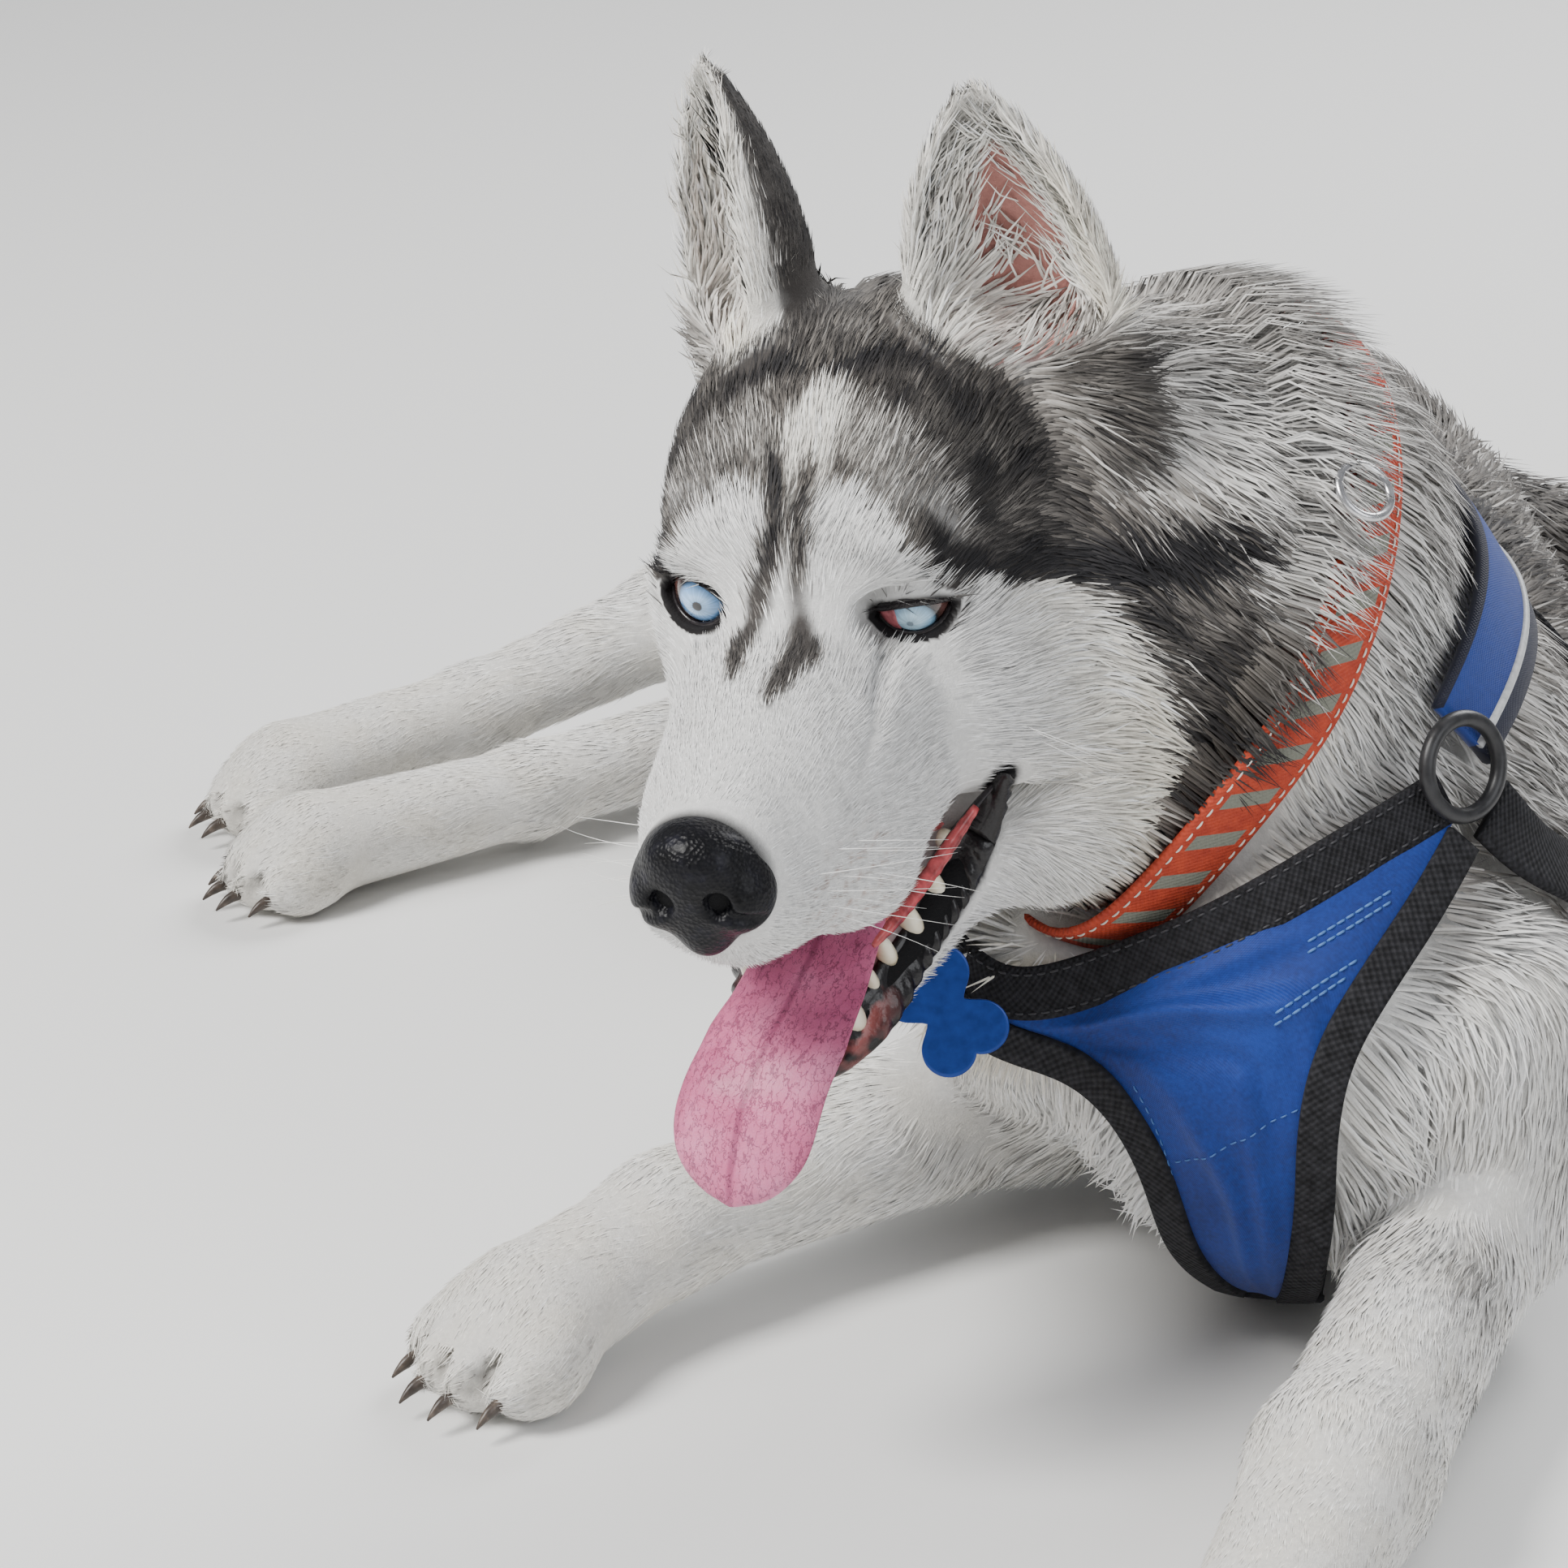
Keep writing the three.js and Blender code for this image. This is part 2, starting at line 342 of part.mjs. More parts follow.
// Joins short edges where the surface changes least, until about target triangles are left. It stays closed.
function simplify({ pos, tri }, target) {
  const nv = pos.length / 3, nt = tri.length / 3;
  pos = Float64Array.from(pos);
  tri = Int32Array.from(tri);
  const Q = new Float64Array(nv * 10), ofVert = Array.from({ length: nv }, () => []), alive = new Uint8Array(nt).fill(1), vAlive = new Uint8Array(nv).fill(1), stamp = new Int32Array(nv);
  const normal = (a, b, c) => {
    const ux = pos[3 * b] - pos[3 * a], uy = pos[3 * b + 1] - pos[3 * a + 1], uz = pos[3 * b + 2] - pos[3 * a + 2];
    const wx = pos[3 * c] - pos[3 * a], wy = pos[3 * c + 1] - pos[3 * a + 1], wz = pos[3 * c + 2] - pos[3 * a + 2];
    return [uy * wz - uz * wy, uz * wx - ux * wz, ux * wy - uy * wx];
  };
  for (let t = 0; t < nt; t++) {
    const [a, b, c] = [tri[3 * t], tri[3 * t + 1], tri[3 * t + 2]], m = normal(a, b, c), l = len3(...m) || 1e-12;
    const [x, y, z] = m.map((v) => v / l), d = -(x * pos[3 * a] + y * pos[3 * a + 1] + z * pos[3 * a + 2]), w = l / 2 + 0.02;
    const q = [x * x, x * y, x * z, x * d, y * y, y * z, y * d, z * z, z * d, d * d];
    for (const v of [a, b, c]) {
      ofVert[v].push(t);
      for (let i = 0; i < 10; i++) Q[10 * v + i] += w * q[i];
    }
  }
  const cost = (q, x, y, z) => q[0] * x * x + 2 * q[1] * x * y + 2 * q[2] * x * z + 2 * q[3] * x + q[4] * y * y + 2 * q[5] * y * z + 2 * q[6] * y + q[7] * z * z + 2 * q[8] * z + q[9];
  const plan = (u, v) => {
    const q = new Float64Array(10);
    for (let i = 0; i < 10; i++) q[i] = Q[10 * u + i] + Q[10 * v + i];
    const A = [pos[3 * u], pos[3 * u + 1], pos[3 * u + 2]], B = [pos[3 * v], pos[3 * v + 1], pos[3 * v + 2]], M = [0, 1, 2].map((i) => (A[i] + B[i]) / 2);
    const L = len3(A[0] - B[0], A[1] - B[1], A[2] - B[2]);
    const det = q[0] * (q[4] * q[7] - q[5] * q[5]) - q[1] * (q[1] * q[7] - q[5] * q[2]) + q[2] * (q[1] * q[5] - q[4] * q[2]);
    let best = null;
    const tries = [M, A, B];
    if (Math.abs(det) > 1e-3 * (q[0] + q[4] + q[7]) ** 3 * 1e-3) {
      const bx = -q[3], by = -q[6], bz = -q[8];
      const X = (bx * (q[4] * q[7] - q[5] * q[5]) - q[1] * (by * q[7] - q[5] * bz) + q[2] * (by * q[5] - q[4] * bz)) / det;
      const Y = (q[0] * (by * q[7] - bz * q[5]) - bx * (q[1] * q[7] - q[5] * q[2]) + q[2] * (q[1] * bz - by * q[2])) / det;
      const Z = (q[0] * (q[4] * bz - q[5] * by) - q[1] * (q[1] * bz - by * q[2]) + bx * (q[1] * q[5] - q[4] * q[2])) / det;
      if (len3(X - M[0], Y - M[1], Z - M[2]) < 1.5 * L) tries.unshift([X, Y, Z]);
    }
    for (const p of tries) {
      const c = Math.max(cost(q, ...p), 0) + 1e-4 * L * L;
      if (!best || c < best.c - 1e-12) best = { c, p };
    }
    return { c: best.c, p: best.p, u, v, su: stamp[u], sv: stamp[v] };
  };
  const heap = [];
  const push = (e) => {
    let i = heap.push(e) - 1;
    while (i > 0) {
      const p = (i - 1) >> 1;
      if (heap[p].c <= heap[i].c) break;
      [heap[p], heap[i]] = [heap[i], heap[p]];
      i = p;
    }
  };
  const pop = () => {
    const top = heap[0], last = heap.pop();
    if (heap.length) {
      heap[0] = last;
      for (let i = 0; ; ) {
        let s = i;
        for (const c of [2 * i + 1, 2 * i + 2]) if (c < heap.length && heap[c].c < heap[s].c) s = c;
        if (s === i) break;
        [heap[s], heap[i]] = [heap[i], heap[s]];
        i = s;
      }
    }
    return top;
  };
  const around = (v) => {
    const s = new Set();
    for (const t of ofVert[v]) for (let i = 0; i < 3; i++) if (tri[3 * t + i] !== v) s.add(tri[3 * t + i]);
    return s;
  };
  let left = nt;
  for (let pass = 0; pass < 8 && left > target; pass++) {
  heap.length = 0;
  for (let v = 0; v < nv; v++) if (vAlive[v]) for (const w of around(v)) if (w > v) push(plan(v, w));
  while (left > target && heap.length) {
    const e = pop(), { u, v } = e;
    if (!vAlive[u] || !vAlive[v] || stamp[u] !== e.su || stamp[v] !== e.sv) continue;
    const nu = around(u), nw = around(v);
    let common = 0;
    let thin = false;
    for (const w of nu)
      if (nw.has(w)) {
        common++;
        if (around(w).size < 4) thin = true;
      }
    if (common !== 2 || thin || (nu.size < 4 && nw.size < 4)) continue;
    let flips = false;
    for (const [from, other] of [[u, v], [v, u]])
      for (const t of ofVert[from]) {
        const c = [tri[3 * t], tri[3 * t + 1], tri[3 * t + 2]];
        if (c.includes(other)) continue;
        const before = normal(...c), keep = [pos[3 * from], pos[3 * from + 1], pos[3 * from + 2]];
        pos[3 * from] = e.p[0]; pos[3 * from + 1] = e.p[1]; pos[3 * from + 2] = e.p[2];
        const after = normal(...c);
        pos[3 * from] = keep[0]; pos[3 * from + 1] = keep[1]; pos[3 * from + 2] = keep[2];
        const la = len3(...after), lb = len3(...before);
        if (la < 1e-6 || before[0] * after[0] + before[1] * after[1] + before[2] * after[2] < 0.1 * la * lb) flips = true;
      }
    if (flips) continue;
    for (let i = 0; i < 3; i++) pos[3 * u + i] = e.p[i];
    for (let i = 0; i < 10; i++) Q[10 * u + i] += Q[10 * v + i];
    for (const t of ofVert[v]) {
      const c = [tri[3 * t], tri[3 * t + 1], tri[3 * t + 2]];
      if (c.includes(u)) {
        alive[t] = 0;
        left--;
        for (const w of c) if (w !== v) ofVert[w] = ofVert[w].filter((s) => s !== t);
      } else {
        for (let i = 0; i < 3; i++) if (tri[3 * t + i] === v) tri[3 * t + i] = u;
        ofVert[u].push(t);
      }
    }
    vAlive[v] = 0;
    stamp[u]++;
    for (const w of around(u)) push(plan(u, w));
  }
  }
  const map = new Int32Array(nv).fill(-1), P = [], T = [];
  for (let t = 0; t < nt; t++)
    if (alive[t])
      for (let i = 0; i < 3; i++) {
        const v = tri[3 * t + i];
        if (map[v] < 0) {
          map[v] = P.length / 3;
          P.push(pos[3 * v], pos[3 * v + 1], pos[3 * v + 2]);
        }
        T.push(map[v]);
      }
  return { pos: Float64Array.from(P), tri: Int32Array.from(T) };
}
// ---------- solids ----------
const wasm = await Module();
wasm.setup();
function solidOf({ pos, tri }) {
  return new wasm.Manifold(new wasm.Mesh({ numProp: 3, vertProperties: Float32Array.from(pos), triVerts: Uint32Array.from(tri) }));
}
function solidOfGeometry(g) {
  const q = g.clone();
  q.deleteAttribute('normal');
  q.deleteAttribute('uv');
  const m = mergeVertices(q, 1e-4);
  return solidOf({ pos: m.attributes.position.array, tri: m.index.array });
}
function geometryOf(solid) {
  const m = solid.getMesh(), g = new THREE.BufferGeometry();
  g.setAttribute('position', new THREE.BufferAttribute(Float32Array.from(m.vertProperties), 3));
  g.setIndex(new THREE.BufferAttribute(Uint32Array.from(m.triVerts), 1));
  g.computeVertexNormals();
  return g;
}
// A flat box across n, centred at c: size[0] along u, size[1] along n x u, size[2] along n.
function slab(c, n, u, size) {
  const N = unit(n), U = unit(add(u, N, -dot(u, N))), W = cross(N, U);
  const g = new THREE.BoxGeometry(size[0], size[1], size[2]);
  g.applyMatrix4(new THREE.Matrix4().makeBasis(new THREE.Vector3(...U), new THREE.Vector3(...W), new THREE.Vector3(...N)).setPosition(...c));
  return solidOfGeometry(g);
}
const gradient = (f, p) => {
  const e = 0.6;
  return [f(p[0] + e, p[1], p[2]) - f(p[0] - e, p[1], p[2]), f(p[0], p[1] + e, p[2]) - f(p[0], p[1] - e, p[2]), f(p[0], p[1], p[2] + e) - f(p[0], p[1], p[2] - e)].map((v) => v / (2 * e));
};
// Moves a point to the level off of a field, and returns it with its normal. Nothing goes below low.
function settle(f, p, off, low = -1e9) {
  let q = [...p];
  for (let i = 0; i < 14; i++) {
    const g = gradient(f, q), d = f(...q) - off, m = Math.max(dot(g, g), 0.05);
    q = add(q, g, (-d / m) * 0.9);
  }
  let n = unit(gradient(f, q));
  if (q[2] < low) {
    q[2] = low;
    n = [0, 0, -1];
  }
  return { p: q, n };
}
// A flat band along a path: w wide, t thick, each section square to the path.
function band(path, w, t, closed, grow = 0) {
  const N = path.length, W = w / 2 + grow, T = t / 2 + grow, pos = [], tri = [];
  for (let i = 0; i < N; i++) {
    const a = path[closed ? (i + N - 1) % N : Math.max(i - 1, 0)].p, b = path[closed ? (i + 1) % N : Math.min(i + 1, N - 1)].p, d = unit(sub(b, a));
    const n = unit(add(path[i].n, d, -dot(path[i].n, d))), s = cross(n, d), wide = path[i].w ? path[i].w / 2 + grow : W;
    let c = path[i].p;
    if (!closed && grow && i === 0) c = add(c, d, -grow);
    if (!closed && grow && i === N - 1) c = add(c, d, grow);
    for (const [x, y] of [[-1, -1], [1, -1], [1, 1], [-1, 1]]) pos.push(...add(add(c, s, x * wide), n, y * T));
  }
  const last = closed ? N : N - 1;
  for (let i = 0; i < last; i++) {
    const a = 4 * i, b = 4 * ((i + 1) % N);
    for (let k = 0; k < 4; k++) {
      const k2 = (k + 1) % 4;
      tri.push(a + k, b + k2, b + k, a + k, a + k2, b + k2);
    }
  }
  if (!closed) {
    const e = 4 * (N - 1);
    tri.push(0, 2, 1, 0, 3, 2, e, e + 1, e + 2, e, e + 2, e + 3);
  }
  return fix(solidOf({ pos, tri: orient(pos, tri) }));
}
// Turns a closed mesh so that its faces point out.
function orient(pos, tri) {
  let v = 0;
  for (let i = 0; i < tri.length; i += 3) {
    const [a, b, c] = [tri[i], tri[i + 1], tri[i + 2]].map((k) => [pos[3 * k], pos[3 * k + 1], pos[3 * k + 2]]);
    v += dot(a, cross(b, c));
  }
  if (v >= 0) return tri;
  const out = [];
  for (let i = 0; i < tri.length; i += 3) out.push(tri[i], tri[i + 2], tri[i + 1]);
  return out;
}
const fix = (s) => s;
// A sheet t thick over a grid of points with normals.
function sheet(rows, t, grow = 0) {
  const R = rows.length, Cn = rows[0].length, pos = [], tri = [], T = t / 2 + grow;
  const grown = rows.map((r, i) => r.map((q, j) => {
    let p = q.p;
    if (grow) {
      if (i === 0) p = add(p, unit(sub(p, rows[1][j].p)), grow);
      if (i === R - 1) p = add(p, unit(sub(p, rows[R - 2][j].p)), grow);
      if (j === 0) p = add(p, unit(sub(p, r[1].p)), grow);
      if (j === Cn - 1) p = add(p, unit(sub(p, r[Cn - 2].p)), grow);
    }
    return { p, n: q.n };
  }));
  for (const side of [-1, 1]) for (const r of grown) for (const q of r) pos.push(...add(q.p, q.n, side * T));
  const id = (s, i, j) => s * R * Cn + i * Cn + j;
  for (let i = 0; i < R - 1; i++)
    for (let j = 0; j < Cn - 1; j++)
      for (const s of [0, 1]) {
        const a = id(s, i, j), b = id(s, i, j + 1), c = id(s, i + 1, j + 1), d = id(s, i + 1, j);
        if (s) tri.push(a, b, c, a, c, d);
        else tri.push(a, c, b, a, d, c);
      }
  const rim = [];
  for (let j = 0; j < Cn - 1; j++) rim.push([0, j]);
  for (let i = 0; i < R - 1; i++) rim.push([i, Cn - 1]);
  for (let j = Cn - 1; j > 0; j--) rim.push([R - 1, j]);
  for (let i = R - 1; i > 0; i--) rim.push([i, 0]);
  for (let k = 0; k < rim.length; k++) {
    const a = rim[k], b = rim[(k + 1) % rim.length];
    const [a0, a1, b0, b1] = [id(0, ...a), id(1, ...a), id(0, ...b), id(1, ...b)];
    tri.push(a0, b0, b1, a0, b1, a1);
  }
  return solidOf({ pos, tri: orient(pos, tri) });
}
// A smooth path through points, with n steps, settled on a field.
function path(points, n, closed, f, off, low) {
  const c = new THREE.CatmullRomCurve3(points.map((p) => new THREE.Vector3(...p)), closed, 'centripetal'), out = [];
  for (let i = 0; i < (closed ? n : n + 1); i++) {
    const p = c.getPointAt(i / n);
    out.push(settle(f, [p.x, p.y, p.z], off, low));
  }
  // a light smoothing keeps the band fair over the folds of the body
  for (let pass = 0; pass < 2; pass++) {
    const old = out.map((q) => ({ p: [...q.p], n: [...q.n] }));
    for (let i = 0; i < out.length; i++) {
      if (!closed && (i === 0 || i === out.length - 1)) continue;
      const a = old[(i + old.length - 1) % old.length], b = old[(i + 1) % old.length];
      out[i].p = old[i].p.map((v, k) => 0.5 * v + 0.25 * (a.p[k] + b.p[k]));
      out[i].n = unit(old[i].n.map((v, k) => 0.5 * v + 0.25 * (a.n[k] + b.n[k])));
      if (low !== undefined && out[i].p[2] < low) out[i].p[2] = low;
    }
  }
  return out;
}
// ---------- what it wears ----------
const wearField = (x, y, z) => Math.max(bodyField(x, y, z), -60 - z);
// the collar: where a plane across the neck meets its coat
const collarPath = (() => {
  const n = unit(COLLAR.normal), u = unit(cross(n, [0, 0, 1])), v = cross(n, u), out = [];
  const f = (x, y, z) => smin(trunk(x, y, z), neck(x, y, z), 34);
  for (let i = 0; i < COLLAR.steps; i++) {
    const a = (2 * Math.PI * i) / COLLAR.steps, d = add(u.map((c) => c * Math.cos(a)), v, Math.sin(a));
    let r = 40;
    for (let k = 0; k < 60; k++) r += 0.8 * (COLLAR.sink - f(...add(COLLAR.at, d, r)));
    const p = add(COLLAR.at, d, r);
    let g = gradient(f, p);
    g = unit(add(g, n, -dot(g, n)));
    out.push({ p, n: g });
  }
  return out;
})();
const neckPath = path(HARNESS.neck, 11, false, wearField, HARNESS.off);
const yokePath = path(HARNESS.yoke, 12, false, wearField, HARNESS.off);
yokePath.forEach((q, i) => { q.w = HARNESS.yokeWidth * (0.62 + 0.38 * Math.sin((Math.PI * i) / (yokePath.length - 1))); });
const girthPath = path(HARNESS.girth, 20, true, wearField, HARNESS.off, HARNESS.low);
const bellyPath = path(HARNESS.belly, 6, false, wearField, HARNESS.off, HARNESS.low);
const backPath = path(HARNESS.back, 4, false, wearField, HARNESS.off + 0.2);
const sidePath = path(HARNESS.side, 6, false, wearField, HARNESS.off);
const edgeL = path(HARNESS.edgeLeft, 8, false, wearField, HARNESS.off + 0.4, HARNESS.low);
const edgeR = path(HARNESS.edgeRight, 8, false, wearField, HARNESS.off + 0.4, HARNESS.low);
const panelRows = (() => {
  const curve = (pts) => new THREE.CatmullRomCurve3(pts.map((p) => new THREE.Vector3(...p)), false, 'centripetal');
  const A = curve(HARNESS.edgeRight), B = curve(HARNESS.edgeLeft), T = curve(HARNESS.panelTop), rows = [], NV = 6, NU = 4;
  const a0 = A.getPointAt(0), b0 = B.getPointAt(0);
  for (let i = 0; i <= NV; i++) {
    const v = i / NV, a = A.getPointAt(v), b = B.getPointAt(v), row = [];
    for (let j = 0; j <= NU; j++) {
      const u = j / NU, t = T.getPointAt(u), base = a.clone().lerp(b, u), flat = a0.clone().lerp(b0, u);
      base.add(t.sub(flat).multiplyScalar((1 - v) ** 2));
      row.push(settle(wearField, [base.x, base.y, base.z], HARNESS.off, HARNESS.low));
    }
    rows.push(row);
  }
  return rows;
})();
function ring(c, axis, R, r, n = 12, m = 5) {
  const g = new THREE.TorusGeometry(R, r, m, n);
  g.applyMatrix4(new THREE.Matrix4().lookAt(new THREE.Vector3(...axis), new THREE.Vector3(0, 0, 0), new THREE.Vector3(0.1, 0.2, 1)).setPosition(...c));
  return solidOfGeometry(g);
}
function tagSolid(grow = 0) {
  const s = new THREE.Shape(), R = TAG.lobe + grow, L = TAG.length / 2 - TAG.lobe, d = TAG.lobe * 0.72;
  const pts = [];
  const arc = (cx, cy, from, to) => { for (let i = 0; i <= 6; i++) { const a = from + ((to - from) * i) / 6; pts.push([cx + R * Math.cos(a), cy + R * Math.sin(a)]); } };
  arc(L, d, 2.25, -0.15);
  arc(L, -d, 0.15, -2.25);
  arc(-L, -d, -0.9, -Math.PI - 0.15 + 0.3);
  arc(-L, d, Math.PI - 0.15, 0.9);
  pts.forEach(([x, y], i) => (i ? s.lineTo(x, y) : s.moveTo(x, y)));
  const g = new THREE.ExtrudeGeometry(s, { depth: TAG.thick + 2 * grow, bevelEnabled: false });
  g.translate(0, 0, -(TAG.thick / 2 + grow));
  const u = unit(TAG.along), n = unit(add(TAG.face, u, -dot(TAG.face, u)));
  g.applyMatrix4(new THREE.Matrix4().makeBasis(new THREE.Vector3(...u), new THREE.Vector3(...cross(n, u)), new THREE.Vector3(...n)).setPosition(...TAG.at));
  return solidOfGeometry(g);
}
const collar = (g) => band(collarPath, COLLAR.width, COLLAR.thick, true, g);
const wear = {
  collar,
  harness_neck_band: (g) => band(neckPath, HARNESS.webbing, HARNESS.thick, false, g),
  harness_yoke: (g) => band(yokePath, HARNESS.yokeWidth, HARNESS.thick + 1, false, g),
  harness_girth: (g) => band(girthPath, HARNESS.webbing, HARNESS.thick, true, g),
  harness_belly_strap: (g) => band(bellyPath, HARNESS.webbing + 6, HARNESS.thick, false, g),
  harness_back_strap: (g) => band(backPath, HARNESS.webbing + 4, HARNESS.thick, false, g),
  harness_side_strap: (g) => band(sidePath, HARNESS.webbing - 2, HARNESS.thick, false, g),
  harness_edge_left: (g) => band(edgeL, HARNESS.edging, HARNESS.thick + 0.8, false, g),
  harness_edge_right: (g) => band(edgeR, HARNESS.edging, HARNESS.thick + 0.8, false, g),
  harness_panel: (g) => sheet(panelRows, HARNESS.thick, g),
  harness_loop: (g) => ring(HARNESS.loopAt, HARNESS.loopAxis, 15, 2.6 + g),
  collar_ring: (g) => ring(COLLAR.ringAt, COLLAR.ringAxis, 9, 1.5 + g, 12, 5),
  tag: (g) => tagSolid(g),
};
// ---------- the animal, cut from one whole ----------
const GAP = 0.3;
const headWhole = (x, y, z) => wholeField(...fromHead([x, y, z]));
const headLow = [-105, -128, -150], headHigh = [128, 150, 152];
let headSolid = solidOf(simplify(polygonize(headWhole, headLow, headHigh, RES.head), RES.headFaces)).transform([HM[0], HM[3], HM[6], 0, HM[1], HM[4], HM[7], 0, HM[2], HM[5], HM[8], 0, ...HEAD_AT, 1]);
let restSolid = solidOf(simplify(polygonize(wholeField, [-425, -460, -16], [330, 520, 370], RES.body), RES.bodyFaces));
const cn = unit(CUTS.head.normal), big = 700;
// the head keeps what lies ahead of the cut across the neck; the rest keeps what lies behind it
const ahead = slab(add(CUTS.head.at, cn, big / 2 + GAP / 2), cn, [1, 0, 0], [CUTS.head.span, CUTS.head.span, big]);
const aheadWide = slab(add(CUTS.head.at, cn, big / 2 - GAP / 2), cn, [1, 0, 0], [CUTS.head.span, CUTS.head.span, big]);
headSolid = headSolid.intersect(ahead);
restSolid = restSolid.subtract(aheadWide);
const floor = slab([0, 0, -50], [0, 0, 1], [1, 0, 0], [3000, 3000, 100]);
restSolid = restSolid.subtract(floor);
const eyes = {};
for (const [side, s] of [['left', 1], ['right', -1]]) {
  const c = fromHead([s * EYE.at[0], EYE.at[1], EYE.at[2]]);
  const ball = (r) => { const g = new THREE.SphereGeometry(r, 10, 7); g.translate(...c); return solidOfGeometry(g); };
  eyes['eye_' + side] = ball(EYE.radius);
  headSolid = headSolid.subtract(ball(EYE.radius + GAP + 0.1));
}
// the tongue: a flat tapering strip over the lower teeth
const tonguePath = (() => {
  const c = new THREE.CatmullRomCurve3(TONGUE.path.map((p) => new THREE.Vector3(...p)), false, 'centripetal'), out = [];
  for (let i = 0; i <= TONGUE.steps; i++) {
    const t = i / TONGUE.steps, p = c.getPointAt(t), d = c.getTangentAt(t), n = cross([d.x, d.y, d.z], [1, 0, 0]).map((v) => -v);
    const w = TONGUE.width * (0.72 + 0.28 * Math.min(t / 0.7, 1)) * (t > 0.8 ? Math.sqrt(Math.max(1 - ((t - 0.8) / 0.21) ** 2, 0.03)) : 1);
    out.push({ p: [p.x, p.y, p.z], n, w, t });
  }
  return out;
})();
function tongueSolid(grow) {
  const pos = [], tri = [], M = 8;
  tonguePath.forEach((q, i) => {
    const a = tonguePath[Math.max(i - 1, 0)].p, b = tonguePath[Math.min(i + 1, TONGUE.steps)].p, d = unit(sub(b, a)), n = unit(add(q.n, d, -dot(q.n, d))), s = cross(n, d);
    const thick = TONGUE.thick * (1 - 0.35 * q.t);
    for (let k = 0; k < M; k++) {
      const an = (2 * Math.PI * k) / M, x = Math.cos(an), y = Math.sin(an);
      const e = add(add(q.p, s, x * (q.w / 2 + grow)), n, y * (thick / 2 + grow) - TONGUE.groove * (1 - x * x) * (y > 0 ? 1 : 0.4) + TONGUE.cup * x * x);
      pos.push(...fromHead(i === TONGUE.steps && grow ? add(e, d, grow) : i === 0 && grow ? add(e, d, -grow) : e));
    }
  });
  for (let i = 0; i < TONGUE.steps; i++)
    for (let k = 0; k < M; k++) {
      const a = i * M + k, b = i * M + ((k + 1) % M), c = (i + 1) * M + ((k + 1) % M), d = (i + 1) * M + k;
      tri.push(a, b, c, a, c, d);
    }
  for (let k = 1; k < M - 1; k++) {
    tri.push(0, k + 1, k);
    tri.push(TONGUE.steps * M, TONGUE.steps * M + k, TONGUE.steps * M + k + 1);
  }
  return solidOf({ pos, tri: orient(pos, tri) });
}
const tongue = tongueSolid(0);
headSolid = headSolid.subtract(tongueSolid(0.5));
// Takes the part of a solid that lies in a set of boxes, and leaves the rest, with the gap between them.
function take(solid, boxes, place = (v) => v, turn = (v) => v) {
  const build = (grow) => boxes.map((b) => slab(place(b.at), turn(b.normal), turn(b.along), b.size.map((s) => s + grow))).reduce((a, b) => a.add(b));
  return [solid.intersect(build(-GAP / 2)), solid.subtract(build(GAP / 2))];
}
const largest = (solid) => solid.decompose().sort((a, b) => b.volume() - a.volume())[0];
// claws: short bent cones in front of each toe
const claws = {};
function claw(base, dir, grow) {
  const r = CLAW.radius + grow, L = CLAW.length + grow, n = CLAW.sides, pos = [], tri = [], d = unit(dir), u = unit(cross(d, [0, 0, 1])), v = cross(d, u);
  const rings = [[-CLAW.root - grow, 1], [0.25 * L, 0.92], [0.65 * L, 0.6]];
  rings.forEach(([s, k]) => {
    const droop = s > 0 ? -CLAW.droop * (s / L) ** 2 : 0;
    for (let i = 0; i < n; i++) {
      const a = (2 * Math.PI * i) / n;
      pos.push(...add([base[0] + d[0] * s, base[1] + d[1] * s, base[2] + d[2] * s + droop], add(u.map((c) => c * Math.cos(a)), v, Math.sin(a)), r * k));
    }
  });
  pos.push(base[0] + d[0] * L, base[1] + d[1] * L, base[2] + d[2] * L - CLAW.droop);
  for (let j = 0; j < 2; j++) for (let i = 0; i < n; i++) { const a = j * n + i, b = j * n + ((i + 1) % n); tri.push(a, b, b + n, a, b + n, a + n); }
  for (let i = 1; i < n - 1; i++) tri.push(0, i + 1, i);
  for (let i = 0; i < n; i++) tri.push(2 * n + i, 2 * n + ((i + 1) % n), 3 * n);
  return solidOf({ pos, tri: orient(pos, tri) });
}
for (const [name, p] of Object.entries(PAWS)) {
  const d = unit([...p.way, 0]), l = [-d[1], d[0], 0];
  [-1.5, -0.5, 0.5, 1.5].forEach((o, i) => {
    const c = add(add(p.at, l, o * p.gap * 0.92), d, p.reach - (Math.abs(o) > 1 ? 5 : -3));
    const tip = add([c[0], c[1], p.toe[2] * CLAW.height], d, p.toe[1] * CLAW.out), dir = add(d, l, o * 0.05);
    claws[`claw_${name}_${i + 1}`] = claw(tip, [dir[0], dir[1], -0.18], 0);
    restSolid = restSolid.subtract(claw(tip, [dir[0], dir[1], -0.18], GAP + 0.05));
  });
}
// teeth of the lower jaw, one with it
for (const t of TEETH) {
  const g = new THREE.ConeGeometry(t.r, t.h, 6);
  g.rotateX(Math.PI / 2);
  g.translate(0, 0, t.h / 2);
  g.scale(t.flat || 1, 1, 1);
  g.rotateX((JAW_OPEN * Math.PI) / 180);
  g.translate(...t.at);
  const cone = solidOfGeometry(g).transform([HM[0], HM[3], HM[6], 0, HM[1], HM[4], HM[7], 0, HM[2], HM[5], HM[8], 0, ...HEAD_AT, 1]);
  headSolid = headSolid.add(cone.subtract(tongueSolid(0.5)));
}
